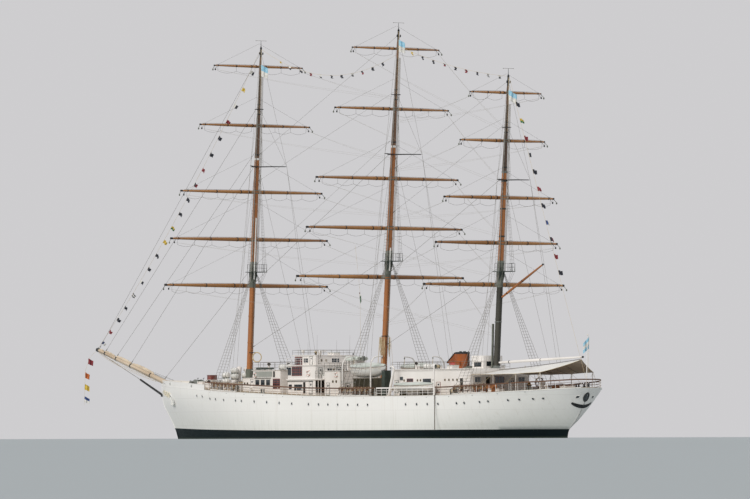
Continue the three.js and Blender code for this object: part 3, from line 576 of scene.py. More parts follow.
# The awning's underside: the same canvas, darker, to paint the shade beneath it.
AWNING_PAINTED_SHADE = weathered("awning_underside_painted_shade", "#cfc4b9", "#b5aba0", 380, (0.8, 0.95), 0.5, 5)
SAIL = weathered("furled_sail_canvas", "#dacbb4", "#bba98f", 120, (0.75, 0.9), 0.7, 6, sheen=0.3)
COVER = weathered("grey_green_boat_cover", "#d3dad3", "#b4bdb4", 150, (0.7, 0.85), 0.5, 6, sheen=0.3)
BOAT = weathered("boat_white_gelcoat", "#efefec", "#dcdcd7", 260, (0.2, 0.35), 0.15, 10, coat=0.2)
GREY_EAVE_BAND = weathered("grey_band_under_roof_edge", "#a9ada7", "#92968f", 200, (0.45, 0.6), 0.2, 6)
FUNNEL = weathered("orange_ochre_funnel_enamel", "#a25316", "#783b0f", 160, (0.35, 0.5), 0.3, 7,
                   stretch=(1, 1, 0.4))
SOOT = weathered("sooted_black_funnel_cap", "#1c2024", "#101214", 90, (0.55, 0.75), 0.4, 6)
RED = weathered("red_lead_and_fire_red", "#b5423a", "#8f322c", 80, (0.35, 0.5), 0.3, 5)
ORANGE = weathered("lifebuoy_orange", "#d5622b", "#b34c1f", 60, (0.5, 0.65), 0.3, 4)
SHADE = weathered("open_doorway_shade", "#26241f", "#171613", 80, (0.7, 0.85), 0.2, 6)
GLASS = weathered("dark_window_glass", "#27323a", "#1a2228", 200, (0.05, 0.12), 0.02, 30, coat=0.5)
print("finishes:", len(bpy.data.materials))

# %% [markdown]
# ## The hull's lines
# A hull is fair: no line on it has a corner, except where the builder wants one. The construction model
# follows the same lines in flat strips. Here they are drawn fine. The sheer, the stem and the stern are given
# by a few heights, and a monotone cubic joins them without overshooting, which a plain spline would do at the
# stern post.

# %% Fair curves through few points
def fair(table):
    """A monotone cubic through (value, result) pairs, as a function of one number."""
    xs, ys = [p[0] for p in table], [p[1] for p in table]
    gaps = [b - a for a, b in zip(xs, xs[1:])]
    slopes = [(d - c) / g for c, d, g in zip(ys, ys[1:], gaps)]
    bends = [slopes[0]]
    for (g0, s0), (g1, s1) in zip(zip(gaps, slopes), zip(gaps[1:], slopes[1:])):
        if s0 * s1 <= 0:
            bends.append(0.0)
        else:
            w0, w1 = 2 * g1 + g0, g1 + 2 * g0
            bends.append((w0 + w1) / (w0 / s0 + w1 / s1))
    bends.append(slopes[-1])

    def at(x):
        x = min(max(x, xs[0]), xs[-1])
        i = min(max(next((k for k, v in enumerate(xs) if v > x), len(xs) - 1) - 1, 0), len(gaps) - 1)
        g, t = gaps[i], (x - xs[i]) / gaps[i]
        return (ys[i] * (1 + 2 * t) * (1 - t) ** 2 + bends[i] * g * t * (1 - t) ** 2
                + ys[i + 1] * t * t * (3 - 2 * t) + bends[i + 1] * g * t * t * (t - 1))
    return at


def straight(table):
    """The same by straight lines, for spars whose taper is told at a few places."""
    xs, ys = [p[0] for p in table], [p[1] for p in table]
    return lambda x: float(np.interp(x, xs, ys))


# %% Driving dimensions of the hull
HALF_BEAM, DRAFT, DECK_THICK = 715, 660, 6
STEM_HEAD_X, STERN_X, BOW_BREAK_X = 4460, -4390, 2670
BULWARK_HIGH = 68
sheer = fair([(-4390, 592), (-4060, 571), (-3680, 556), (-3280, 540), (-2700, 518), (-2200, 510), (-900, 508),
              (340, 522), (930, 542), (1540, 565), (2270, 590), (2670, 612), (3400, 645), (4460, 685)])
stern_at = fair([(-660, -3740), (-170, -3740), (-110, -3830), (-50, -3930), (100, -3985), (190, -4100),
                 (300, -4200), (400, -4275), (500, -4330), (592, -4390)])
stem_at = fair([(-660, 3440), (-560, 3700), (-400, 3880), (-200, 4010), (0, 4080), (150, 4168), (330, 4320),
                (450, 4420), (560, 4448), (760, 4462)])


def boot_top(x):
    return 100 + (35 if x > 0 else 5) * (x / 4000) ** 2


def half_breadth(x, z):
    """Half the hull's breadth at a place along it and a height, from the waterline."""
    deep, high = min(max(-z / DRAFT, 0), 1), min(max(z / 560, 0), 1)
    bilge = max(0.02, 1 - deep ** 4.2) ** 0.42
    full = 1.0
    bow_starts, stern_starts = 500 + 400 * high, -900 - 500 * high
    if x > bow_starts:
        s = min(1.0, (x - bow_starts) / (stem_at(z) - bow_starts))
        full = (1 - s ** (1.9 + 0.75 * high - 0.55 * deep)) ** (1 + 0.15 * deep)
    if x < stern_starts:
        s = min(1.0, (stern_starts - x) / (stern_starts - stern_at(z)))
        full = (1 - s ** (2.0 + 0.9 * high ** 0.7 - 0.7 * deep)) ** (1 - 0.57 * high ** 0.7)
    return max(5.0, HALF_BEAM * bilge * full)


def deck_top(x):
    return sheer(x) + DECK_THICK


def deck_half(x):
    return half_breadth(x, sheer(x))


STATIONS = [0.5 - 0.5 * math.cos(math.pi * k / 110) for k in range(111)]


def hull_layer(low, high, rows, inset=0.0):
    """The hull between two height rules, as one closed solid; stations crowd towards the ends."""
    rings = []
    for u in STATIONS:
        port = []
        for j in range(rows + 1):
            at_stem = low(STEM_HEAD_X) + (high(STEM_HEAD_X) - low(STEM_HEAD_X)) * j / rows
            at_stern = low(STERN_X) + (high(STERN_X) - low(STERN_X)) * j / rows
            bow, stern = stem_at(at_stem), stern_at(at_stern)
            x = min(bow - inset, max(stern + inset, stern + (bow - stern) * u))
            z = low(x) + (high(x) - low(x)) * j / rows
            port.append((x, half_breadth(x, z) - inset, z))
        rings.append(port + [(x, -y, z) for x, y, z in reversed(port)])
    return loft(rings)


# %% [markdown]
# ## Topsides, bottom and deck
# The three hull pieces are lofts of the same lines, split where the real finishes change: at the boot-top and
# at the deck's edge. A subdivision surface could have smoothed a coarse cage, but it would pull away from the
# measured lines at the stem, so the stations are simply close.

# %% Hull and deck
SOLE_PIECE = box(-3930, -3680, -12, 12, -DRAFT, -DRAFT + 28)
bottom = piece("hull_bottom_skin",
               [(joined([hull_layer(lambda x: -DRAFT, boot_top, 22), SOLE_PIECE]), BOTTOM)],
               stands_for=["hull_bottom"], sharp=50)
topsides = piece("hull_topsides_skin", [(hull_layer(lambda x: boot_top(x) + 0.3, sheer, 10), TOPSIDES)],
                 stands_for=["hull_topsides"], sharp=50)
deck = piece("planked_weather_deck", [(hull_layer(lambda x: sheer(x) + 0.3, deck_top, 1, 4), DECK)],
             stands_for=["weather_deck"], sharp=50)
print("hull faces:", count_of(bottom, topsides, deck))

# %% [markdown]
# ## Edges and waterways
# A half-round moulding covers the joint of deck and shell, and a painted waterway runs inside it. Both follow
# the deck's edge, so they are strips whose section is carried from station to station.

# %% Strips along the deck's edge
def edge_strip(xs, section, base=deck_top, half=deck_half):
    """A section of (inwards, up) points carried along the port edge between the given places."""
    return loft([[(x, half(x) - inward, base(x) + up) for inward, up in section] for x in xs])


def steps(x0, x1, spacing):
    count = max(1, round(abs(x1 - x0) / spacing))
    return [x0 + (x1 - x0) * k / count for k in range(count + 1)]


EDGE_XS = [STERN_X + (STEM_HEAD_X - STERN_X) * u for u in STATIONS[3:-3]]
moulding = edge_strip(EDGE_XS, [(1, -12), (-2.5, -10), (-3.5, -7), (-2.5, -4), (1, -2)])
waterway = edge_strip([x for x in EDGE_XS if x < 4300], [(5, -1), (5, 2.5), (26, 1.2), (26, -1)])
moulding_piece = piece("sheer_moulding", [(both_sides(moulding), TOPSIDES)])
waterway_piece = piece("painted_waterway", [(both_sides(waterway), GREY_IRON)])
print("edge strips:", count_of(moulding_piece, waterway_piece))

# %% [markdown]
# ## Masts, yards and how they are told
# The fifteen yards are one shape at fifteen sizes, so they come from one table of height, length and distance
# ahead of the mast. Each yard is a piece of its own on its own body, because it braces round on its truss. A
# mast's foot, rake and stops come from a second table, and every ring, lug and band on a mast asks it for its
# place, so nothing has to be fitted by eye to the raked pole.

# %% Tables of the rig
# Foot on the waterline, rake in degrees, heights of foot, top, crosstrees, upper crosstrees and truck, and
# how far the outriggers reach aft and out
MASTS = {
    "fore": dict(x=2585, rake=3.77, foot=618, top=2090, cross=3410, upper=4130, truck=4893, reach=250,
                 spread=270),
    "main": dict(x=-240, rake=4.49, foot=525, top=2166, cross=3470, upper=4200, truck=4980, reach=205,
                 spread=275),
    "mizzen": dict(x=-2517, rake=4.16, foot=836, top=1995, cross=3090, upper=3720, truck=4327, reach=180,
                   spread=240),
}
# Mast, level, height, length, distance of its axis ahead of the mast's axis
YARDS = [("fore", "course", 1922, 2512, 125), ("fore", "lower_topsail", 2501, 2421, 100),
         ("fore", "upper_topsail", 3096, 2183, 88), ("fore", "topgallant", 3927, 1699, 69),
         ("fore", "royal", 4666, 1367, 42), ("main", "course", 1976, 2544, 147),
         ("main", "lower_topsail", 2572, 2378, 105), ("main", "upper_topsail", 3179, 2169, 94),
         ("main", "topgallant", 4027, 1739, 66), ("main", "royal", 4762, 1328, 42),
         ("mizzen", "course", 1839, 2124, 114), ("mizzen", "lower_topsail", 2340, 1845, 98),
         ("mizzen", "upper_topsail", 2881, 1664, 84), ("mizzen", "topgallant", 3561, 1280, 64),
         ("mizzen", "royal", 4135, 1078, 42)]
# Level: radius at the slings and radius of the truss's barrel
YARD_SIZES = {"course": (26, 11), "lower_topsail": (24, 10), "upper_topsail": (22, 9), "topgallant": (19, 7),
              "royal": (16, 5)}


def mast_x(mast, z):
    return mast["x"] - math.tan(math.radians(mast["rake"])) * z


def mast_radius(mast, z):
    stops = [0, mast["top"], mast["cross"], mast["upper"], mast["truck"]]
    return float(np.interp(z, stops, [38, 36, 31, 21, 10]))


def pivot_x(mast, level, z):
    """Where a yard's truss turns, just ahead of the mast."""
    return mast_x(mast, z) + mast_radius(mast, z) + YARD_SIZES[level][1] + 4


def mast_rod(mast, z0, z1, extra=0.0, sides=20, every=120):
    """The mast's own round, from one height to another, optionally thicker, as for bands and sleeves."""
    zs = steps(z0, z1, every)
    return loft([[(mast_x(mast, z) + (mast_radius(mast, z) + extra) * math.cos(t),
                   (mast_radius(mast, z) + extra) * math.sin(t), z)
                  for t in (2 * math.pi * k / sides for k in range(sides))] for z in zs])


print("rig:", len(MASTS), "masts and", len(YARDS), "yards")

# %% [markdown]
# ## Tops, crosstrees and the platforms' rails
# A top is a plate a third of the way up the mast, round ahead and square abaft, with a rail for work aloft.
# It is built as an outline, a rim and a lattice. The lattice could be cut by booleans, but bars laid both
# ways are lighter and close cleanly.

# %% Tops and crosstrees
TOP_PLAN = [(55, 0), (52, 34), (42, 66), (20, 98), (-40, 112), (-150, 112)]
TOP_PLAN = TOP_PLAN + [(x, -y) for x, y in reversed(TOP_PLAN[1:])]


def rail_round(points, high, levels, post, bar):
    """Posts at points with bars between them at some shares of their height."""
    shapes = [tube([p, (p[0], p[1], p[2] + high)], post, 6) for p in points]
    for share in levels:
        line = [(x, y, z + high * share) for x, y, z in points]
        shapes.append(tube(line, bar, 6))
    return joined(shapes)


def top_platform(mast):
    x0, z = mast_x(mast, mast["top"]), mast["top"]
    outline = [(x0 + x, y) for x, y in TOP_PLAN]
    inner = [(x0 + x * 0.93 - 4, y * 0.93) for x, y in TOP_PLAN]
    rim = loft([[(*o, z - 4), (*o, z + 4), (*i, z + 4), (*i, z - 4)] for o, i in zip(outline, inner)],
               closed=True)
    across = [box(x0 + x - 2, x0 + x + 2, -106, 106, z - 2.5, z + 0.5) for x in range(-140, 21, 20)]
    fore_aft = [box(x0 - 146, x0 + 30, y - 2, y + 2, z - 1.5, z + 1.5) for y in range(-100, 101, 20)]
    cheeks = both_sides(loft([[(x0 + x, 20, z - low), (x0 + x, 34, z - low), (x0 + x, 34, z - 4),
                               (x0 + x, 20, z - 4)]
                              for x, low in ((-42, 40), (0, 150), (34, 60))]))
    posts = [(x0 + x, y, z + 3)
             for x, y in ((-30, 108), (-85, 109), (-146, 109), (-146, 55), (-146, 0), (-146, -55),
                          (-146, -109), (-85, -109), (-30, -108))]
    return joined([rim, cheeks, *across, *fore_aft]), rail_round(posts, 92, (0.5, 1.0), 1.8, 1.5)


def cross_trees(mast):
    x0, z = mast_x(mast, mast["cross"]), mast["cross"]
    tree = box(x0 - 60, x0 + 34, -62, -54, z - 5, z + 5), box(x0 - 60, x0 + 34, 54, 62, z - 5, z + 5)
    spans = [box(x0 + x - 4, x0 + x + 4, -62, 62, z - 5, z + 5) for x in (-56, -28, 30)]
    arms = both_sides(tube([(x0, 10, z), (x0 - mast["reach"] * 0.5, mast["spread"] * 0.52, z + 2),
                            (x0 - mast["reach"], mast["spread"], z)], [7, 6.5, 5], 8))
    eyes = both_sides(ring((x0 - mast["reach"] - 6, mast["spread"] + 6, z), (1, -1, 0), 5, 1.6, 12, 6))
    u = mast_x(mast, mast["upper"])
    upper = [box(u - 40, u + 28, y - 3, y + 3, mast["upper"] - 4, mast["upper"] + 4) for y in (-42, 42)]
    upper += [box(u + x - 3, u + x + 3, -45, 45, mast["upper"] - 4, mast["upper"] + 4) for x in (-37, 25)]
    return joined([*tree, *spans, arms, eyes]), joined(upper)


# %% [markdown]
# ## The masts
# Each mast is two pieces, as on the real ship: the steel lower mast with its topmast in one tube, and the
# topgallant mast with the royal pole above it. Bands, lugs for the trusses, ladders and lamps are added to
# the piece that carries them. A band is the mast's own round drawn a little thicker, so it always follows the
# taper.

# %% Lower masts
def yard_lugs(name, below=None, above=None):
    """Two lugs a yard, with a bolt through them, on the piece of the mast between two heights."""
    mast, shapes = MASTS[name], []
    for on, level, z, _, _ in YARDS:
        if on != name or (below and z >= below) or (above and z < above):
            continue
        barrel = YARD_SIZES[level][1]
        x, high = pivot_x(mast, level, z), barrel * 1.5 + 1
        for up in (1, -1):
            low = z + high if up > 0 else z - high - 5
            shapes.append(slab([(mast_x(mast, z), -barrel * 1.2), (x, -barrel),
                                (x + barrel * 0.8, -barrel * 0.5),
                                (x + barrel, 0), (x + barrel * 0.8, barrel * 0.5), (x, barrel),
                                (mast_x(mast, z), barrel * 1.2)], low, low + 5))
            shapes.append(mast_rod(mast, low - 3, low + 8, 2.2, 20, 20))
            shapes.append(turned([(0, 3), (4, 3)], (x, 0, z + up * (high + 4.5)), (0, 0, up), 8))
    return joined(shapes)


def ladder(mast, z0, z1, aft):
    """A rung ladder up the after side of a mast."""
    def line(z, y):
        return mast_x(mast, z) - mast_radius(mast, z) - aft, y, z
    rails = [tube([line(z0, y), line(z1, y)], 1.3, 6) for y in (-14, 14)]
    rungs = [tube([line(z, -14), line(z, 14)], 1.0, 5) for z in steps(z0 + 20, z1 - 20, 32)]
    return joined(rails + rungs)


def bands(mast, heights, extra=2.6, tall=9):
    return joined([mast_rod(mast, z - tall, z + tall, extra, 20, 40) for z in heights])


def lower_mast(name, tube_finish):
    mast = MASTS[name]
    split = mast["cross"] + 110
    plate, rails = top_platform(mast)
    trees, _ = cross_trees(mast)
    sleeve = mast_rod(mast, mast["top"] - 190, mast["top"] + 130, 3.0, 20)
    collar = turned([(0, 50), (10, 50), (16, 42), (34, 40)],
                    (mast_x(mast, mast["foot"]), 0, mast["foot"] - 1),
                    (0, 0, 1), 24)
    cap = mast_rod(mast, split - 26, split - 1, 5, 20, 30)
    change = mast["top"] + 60 if name == "mizzen" else split - 200
    heights = [z for z in range(int(mast["foot"]) + 260, int(split) - 60, 330) if abs(z - mast["top"]) > 160]
    lamp_x, lamp_z = mast_x(mast, mast["top"] + 420) + mast_radius(mast, mast["top"] + 420), mast["top"] + 420
    lamp = joined([box(lamp_x - 4, lamp_x + 22, -10, 10, lamp_z - 4, lamp_z),
                   turned([(0, 7), (2, 9), (18, 9), (22, 5), (26, 3)], (lamp_x + 11, 0, lamp_z), (0, 0, 1),
                          12)])
    return piece(name + "_lower_mast_fitted",
                 [(mast_rod(mast, mast["foot"], change, 0, 24), tube_finish),
                  (mast_rod(mast, change, split, 0, 24), SPAR),
                  (sleeve, DOUBLING),
                  (bands(mast, heights), tube_finish), (yard_lugs(name, below=split), DOUBLING),
                  (plate, GREEN_IRON),
                  (rails, IRON), (trees, IRON),
                  (joined([collar, cap]), HOUSE if name != "mizzen" else GREY_IRON),
                  (ladder(mast, mast["foot"] + 90, mast["top"] - 12, 6), IRON), (lamp, GREY_IRON)],
                 stands_for=[name + "_lower_mast"])


lower_masts = [lower_mast("fore", SPAR), lower_mast("main", SPAR), lower_mast("mizzen", SMOKED)]
print("lower masts:", count_of(*lower_masts), "faces")

# %% [markdown]
# ## Topgallant masts and trucks
# Above the crosstrees the poles are thinner and weathered grey-brown. Each ends in a dark truck with lamps, a
# lightning rod and a light aerial with turned-up ends, which reads as a faint pair of specks over the
# masthead.

# %% Topgallant masts
POLE = weathered("weathered_grey_brown_pole_enamel", "#86634a", "#5b483b", 500, (0.45, 0.65), 0.3, 7,
                 stretch=(1, 1, 0.25))


def topgallant_mast(name):
    mast = MASTS[name]
    split, truck = mast["cross"] + 110, mast["truck"]
    x = mast_x(mast, truck)
    _, upper = cross_trees(mast)
    dark = mast_rod(mast, truck - 110, truck - 2, 1.2, 16, 60)
    tip = turned([(0, 11), (4, 14), (12, 14), (18, 8), (34, 3.5), (100, 2)], (x, 0, truck - 3), (0, 0, 1), 12)
    lamps = both_sides(turned([(-14, 3), (-10, 8), (6, 8), (12, 4), (16, 2)], (x - 4, 25, truck - 62),
                              (0, 0, 1), 10))
    brackets = tube([(x - 4, -24, truck - 78), (x - 4, 24, truck - 78)], 3, 6)
    aerial = [tube([(x, -80, truck + 95), (x, -60, truck + 97), (x, 60, truck + 97), (x, 80, truck + 95)],
                   1.8, 6)]
    cups = both_sides(ball((x, 76, truck + 96), 6, 0.7, 10))
    ends = mast["upper"] - 60, truck - 20
    halyard_path = [(mast_x(mast, z) - mast_radius(mast, z) - 5, 3, z) for z in ends]
    halyard = joined([tube(halyard_path, 1.6, 6)])
    return piece(name + "_topgallant_mast_fitted",
                 [(mast_rod(mast, split + 0.3, truck, 0, 20), POLE),
                  (joined([dark, tip, lamps, brackets]), IRON),
                  (joined([*aerial, cups]), WIRE), (upper, IRON), (yard_lugs(name, above=split), DOUBLING),
                  (bands(mast, [split + 40, mast["upper"] - 60, mast["upper"] + 60], 2.0, 7), IRON),
                  (halyard, MANILA)], stands_for=[name + "_topgallant_mast"])


topgallant_masts = [topgallant_mast(name) for name in MASTS]
print("topgallant masts:", count_of(*topgallant_masts), "faces")

# %% [markdown]
# ## Footropes and jackstays by Geometry Nodes
# Footropes hang below a yard in scallops between short stirrups, to stand on, and the handhold is the
# jackstay, a rod along the yard's top on small eyes. Both follow a rule along a line, so one tree makes them
# from a straight seed edge. Named inputs set the sag, the spacing and the thickness, and the same tree serves
# all fifteen yards. Modelling one and scaling it would stretch the ropes.

# %% The footrope tree
def footrope_tree():
    tree, source, result = new_tree("footropes", {"Sag": 0.05, "Spacing": 0.26, "Rope": 0.0013, "Drop": 0.03})
    line = add_node(tree, "GeometryNodeMeshToCurve", links={"Mesh": source.outputs["Geometry"]})
    length = add_node(tree, "GeometryNodeCurveLength", links={"Curve": line.outputs["Curve"]})
    spans = add_node(tree, "ShaderNodeMath", {"operation": "DIVIDE"},
                     {0: length.outputs["Length"], 1: source.outputs["Spacing"]})
    whole = add_node(tree, "ShaderNodeMath", {"operation": "ROUND"}, {0: spans.outputs["Value"]})
    count = add_node(tree, "ShaderNodeMath", {"operation": "MULTIPLY_ADD", 1: 8.0, 2: 1.0},
                     {0: whole.outputs["Value"]})
    fine = add_node(tree, "GeometryNodeResampleCurve", links={"Curve": line.outputs["Curve"],
                                                              "Count": count.outputs["Value"]})
    place_ = add_node(tree, "GeometryNodeSplineParameter")
    phase = add_node(tree, "ShaderNodeMath", {"operation": "MULTIPLY"},
                     {0: place_.outputs["Factor"], 1: whole.outputs["Value"]})
    turn = add_node(tree, "ShaderNodeMath", {"operation": "MULTIPLY", 1: math.pi},
                    {0: phase.outputs["Value"]})
    wave = add_node(tree, "ShaderNodeMath", {"operation": "SINE"}, {0: turn.outputs["Value"]})
    scallop = add_node(tree, "ShaderNodeMath", {"operation": "ABSOLUTE"}, {0: wave.outputs["Value"]})
    sag = add_node(tree, "ShaderNodeMath", {"operation": "MULTIPLY"},
                   {0: scallop.outputs["Value"], 1: source.outputs["Sag"]})
    low = add_node(tree, "ShaderNodeMath", {"operation": "ADD"},
                   {0: sag.outputs["Value"], 1: source.outputs["Drop"]})
    down = add_node(tree, "ShaderNodeMath", {"operation": "MULTIPLY", 1: -1.0}, {0: low.outputs["Value"]})
    shift = add_node(tree, "ShaderNodeCombineXYZ", links={"Z": down.outputs["Value"]})
    hung = add_node(tree, "GeometryNodeSetPosition", links={"Geometry": fine.outputs["Curve"],
                                                            "Offset": shift.outputs["Vector"]})
    section = add_node(tree, "GeometryNodeCurvePrimitiveCircle", {"Resolution": 5},
                       {"Radius": source.outputs["Rope"]})
    rope = add_node(tree, "GeometryNodeCurveToMesh", {"Fill Caps": True},
                    {"Curve": hung.outputs["Geometry"], "Profile Curve": section.outputs["Curve"]})
    ends = add_node(tree, "ShaderNodeMath", {"operation": "ADD", 1: 1.0}, {0: whole.outputs["Value"]})
    coarse = add_node(tree, "GeometryNodeResampleCurve", links={"Curve": line.outputs["Curve"],
                                                                "Count": ends.outputs["Value"]})
    stirrup = add_node(tree, "GeometryNodeMeshCylinder", {"Vertices": 5},
                       {"Radius": source.outputs["Rope"], "Depth": source.outputs["Drop"]})
    half = add_node(tree, "ShaderNodeMath", {"operation": "MULTIPLY", 1: -0.5}, {0: source.outputs["Drop"]})
    below = add_node(tree, "ShaderNodeCombineXYZ", links={"Z": half.outputs["Value"]})
    hanger = add_node(tree, "GeometryNodeTransform", links={"Geometry": stirrup.outputs["Mesh"],
                                                            "Translation": below.outputs["Vector"]})
    stirrups = add_node(tree, "GeometryNodeInstanceOnPoints", links={"Points": coarse.outputs["Curve"],
                                                                     "Instance": hanger.outputs["Geometry"]})
    both = add_node(tree, "GeometryNodeJoinGeometry")
    for node in (stirrups.outputs["Instances"], rope.outputs["Mesh"]):
        tree.links.new(node, both.inputs["Geometry"])
    real = add_node(tree, "GeometryNodeRealizeInstances", links={"Geometry": both.outputs["Geometry"]})
    finish = add_node(tree, "GeometryNodeSetMaterial", {"Material": HEMP},
                      {"Geometry": real.outputs["Geometry"]})
    tree.links.new(finish.outputs["Geometry"], result.inputs["Geometry"])
    return tree


FOOTROPES = footrope_tree()
print("footrope tree:", len(FOOTROPES.nodes), "nodes")

# %% [markdown]
# ## The yards
# A yard tapers in three stages from its slings to its arms. It carries a truss arm and barrel, iron bands, a
# jackstay, footropes, lifts to the mast above its pivot and a pendant with a block at each arm. The lifts end
# on the pivot's own axis, so they can ride on the yard and still look held when it swings.

# %% Yards
def yard(mast_name, level, z, length, ahead):
    mast = MASTS[mast_name]
    radius, barrel = YARD_SIZES[level]
    pivot, x, half = pivot_x(mast, level, z), mast_x(mast, z) + ahead, length / 2
    taper = straight([(0, radius), (half * 0.15, radius), (half * 0.6, radius * 0.8), (half, radius * 0.45)])
    shares = [-1, -0.97, -0.85, -0.7, -0.6, -0.45, -0.3, -0.15, 0.15, 0.3, 0.45, 0.6, 0.7, 0.85, 0.97, 1]
    spar = turned([(s * half, taper(abs(s * half))) for s in shares], (x, 0, z), (0, 1, 0), 18)
    caps = both_sides(turned([(half * 0.975, taper(half) * 1.25), (half - 2, taper(half) * 1.25),
                              (half + 1, taper(half) * 0.8), (half + 3, 1)], (x, 0, z), (0, 1, 0), 14))
    hoops = joined([turned([(s * half - 6, taper(abs(s) * half) + 2),
                            (s * half + 6, taper(abs(s) * half) + 2)],
                           (x, 0, z), (0, 1, 0), 18)
                    for s in (-0.9, -0.5, -0.16, -0.05, 0.05, 0.16, 0.5, 0.9)])
    arm = slab([(pivot, -barrel * 0.6), (x, -barrel * 0.9), (x, barrel * 0.9), (pivot, barrel * 0.6)],
               z - barrel, z + barrel)
    hub = turned([(-barrel * 1.5, barrel * 0.92), (-barrel * 1.3, barrel), (barrel * 1.3, barrel),
                  (barrel * 1.5, barrel * 0.92)], (pivot, 0, z), (0, 0, 1), 18)
    rise = radius + 5
    stay = both_sides(tube([(x, 24, z + rise), (x, half * 0.6, z + rise - radius * 0.2),
                            (x, half * 0.95, z + taper(half) + 5)], 1.5, 6))
    eyes = both_sides(joined([tube([(x, y, z + taper(y) * 0.9), (x, y, z + taper(y) + 5.5)], 1.1, 5)
                              for y in steps(40, half * 0.93, 90)]))
    lift = both_sides(tube([(pivot, 1, z + half * 0.42), (x, half * 0.93, z + taper(half))], 1.1, 5))
    end = half * 0.93
    pendant = both_sides(joined([tube([(x, end, z - taper(half)), (x - 6, end + 26, z - 42)], 1.8, 6),
                                 ball((x - 8, end + 32, z - 50), 9.5, 1.35, 10),
                                 tube([(x, end + 40, z - 6), (x - 8, end + 34, z - 44)], 1.2, 5)]))
    tackle = both_sides(joined([tube([(x, half - 8, z - 3), (x - 14, half + 24, z - 42)], 2.8, 6),
                                ball((x - 16, half + 27, z - 54), 9.5, 1.4, 10)]))
    side_ropes = grown("footrope", FOOTROPES, {"Sag": 0.026, "Spacing": 0.24, "Drop": radius * 0.001 + 0.052},
                       [(x - radius * 0.5, 60, z), (x - radius * 0.5, half * 0.92, z)], [(0, 1)])
    return piece(f"{mast_name}_{level}_yard_rigged",
                 [(spar, YARD), (joined([caps, hoops, stay, eyes, pendant]), IRON),
                  (joined([arm, hub, tackle]), DOUBLING),
                  (lift, WIRE), (both_sides(bare(side_ropes)), HEMP)],
                 body=f"{mast_name}_{level}_yard",
                 stands_for=[f"{mast_name}_{level}_yard"])


yards = [yard(*row) for row in YARDS]
print("yards:", len(yards), "with", count_of(*yards), "faces")

# %% [markdown]
# ## Bowsprit, boom and gaff
# The bowsprit is paler than the other spars. Headsails lie stowed along its top in soft bundles, and a net
# hangs beneath it for safety. The boom lies just over the awning's ridge and the gaff is peaked up behind the
# mizzen.

# %% Bowsprit with stowed headsails
SPRIT_HEEL, SPRIT_TIP = (4170, 0, 664), (5926, 0, 1158)


def sprit_z(x):
    rise, run = SPRIT_TIP[2] - SPRIT_HEEL[2], SPRIT_TIP[0] - SPRIT_HEEL[0]
    return SPRIT_HEEL[2] + rise * (x - SPRIT_HEEL[0]) / run


def sprit_radius(x):
    return 36 - 16 * (x - SPRIT_HEEL[0]) / (SPRIT_TIP[0] - SPRIT_HEEL[0])


def sprit_rod(x0, x1, extra=0.0):
    xs = steps(x0, x1, 90)
    return tube([(x, 0, sprit_z(x)) for x in xs], [sprit_radius(x) + extra for x in xs], 20)


def stowed_sail(x0, x1, fat):
    """A furled sail: a soft bundle pinched by its gaskets every 70 mm."""
    xs = steps(x0, x1, 12)
    swell = [fat * (0.35 + 0.65 * math.sin(math.pi * (x - x0) / (x1 - x0)) ** 0.5)
             * (1 - 0.22 * (0.5 + 0.5 * math.cos((x - x0) * 2 * math.pi / 70)) ** 4) for x in xs]
    return tube([(x, 0, sprit_z(x) + sprit_radius(x) + s * 0.75) for x, s in zip(xs, swell)], swell, 14)


NET_XS = steps(4560, 5838, 62)


def net_edge(x, side):
    out = 16 + 90 * math.sin(math.pi * (x - 4520) / 1380) ** 0.7
    return x, side * out, sprit_z(x) - sprit_radius(x) * 0.4


def net_line(x):
    sag = 34 * math.sin(math.pi * (x - 4520) / 1380)
    return [(x, y * abs(net_edge(x, 1)[1]), sprit_z(x) - sprit_radius(x) - 4 - sag * (1 - y * y * 0.8))
            for y in (-1, -0.5, 0, 0.5, 1)]


net = joined([tube(net_line(x), 0.8, 4) for x in NET_XS]
             + [tube([net_line(x)[k] for x in NET_XS], 0.8, 4) for k in range(5)]
             + [tube([net_edge(x, side) for x in NET_XS], 1.4, 5) for side in (1, -1)])
stowed = joined([stowed_sail(4640, 5120, 21), stowed_sail(5140, 5500, 18), stowed_sail(5520, 5760, 14),
                 stowed_sail(5775, 5868, 9)])
sprit_irons = joined([sprit_rod(x - 9, x + 9, 3) for x in (4700, 5150, 5480, 5735)]
                     + [sprit_rod(5882, 5926, 4)])
cap_ring = ring((5900, 0, sprit_z(5900) + 24), (0, 1, 0), 9, 2.4, 16, 8)
bowsprit = piece("bowsprit_with_stowed_sails",
                 [(sprit_rod(4330, 5924), SPRIT), (joined([sprit_irons, cap_ring]), IRON), (stowed, SAIL),
                  (net, MANILA)], stands_for=["bowsprit"])


# %% Boom and gaff
def swinging_spar(name, jaw_z, peak, radius, finish):
    mizzen = MASTS["mizzen"]
    pivot = (mast_x(mizzen, jaw_z) - mast_radius(mizzen, jaw_z) - 16, 0, jaw_z)
    start, end = Vector((pivot[0] - 4, 0, jaw_z)), Vector(peak)
    along_ = end - start
    spar = turned([(t * along_.length, radius * r)
                   for t, r in ((0, 0.78), (0.2, 0.92), (0.45, 1), (0.7, 0.88),
                                (1, 0.6))], start, along_, 18)
    hoops = joined([turned([(t * along_.length - 5, radius * 0.95 + 1.5),
                            (t * along_.length + 5, radius * 0.95 + 1.5)],
                           start, along_, 18) for t in (0.12, 0.5)])
    tip = turned([(-14, radius * 0.72), (2, radius * 0.72), (6, radius * 0.4)], end, along_, 14)
    hub = turned([(-18, 10), (-16, 11), (16, 11), (18, 10)], pivot, (0, 0, 1), 16)
    fork = both_sides(tube([(pivot[0], 6, jaw_z),
                            tuple(start + along_ * 0.06 + Vector((0, radius * 0.6, 0)))], 4, 6))
    return piece(name + "_fitted", [(spar, finish), (joined([hoops, tip, hub, fork]), IRON)], body=name,
                 stands_for=[name])


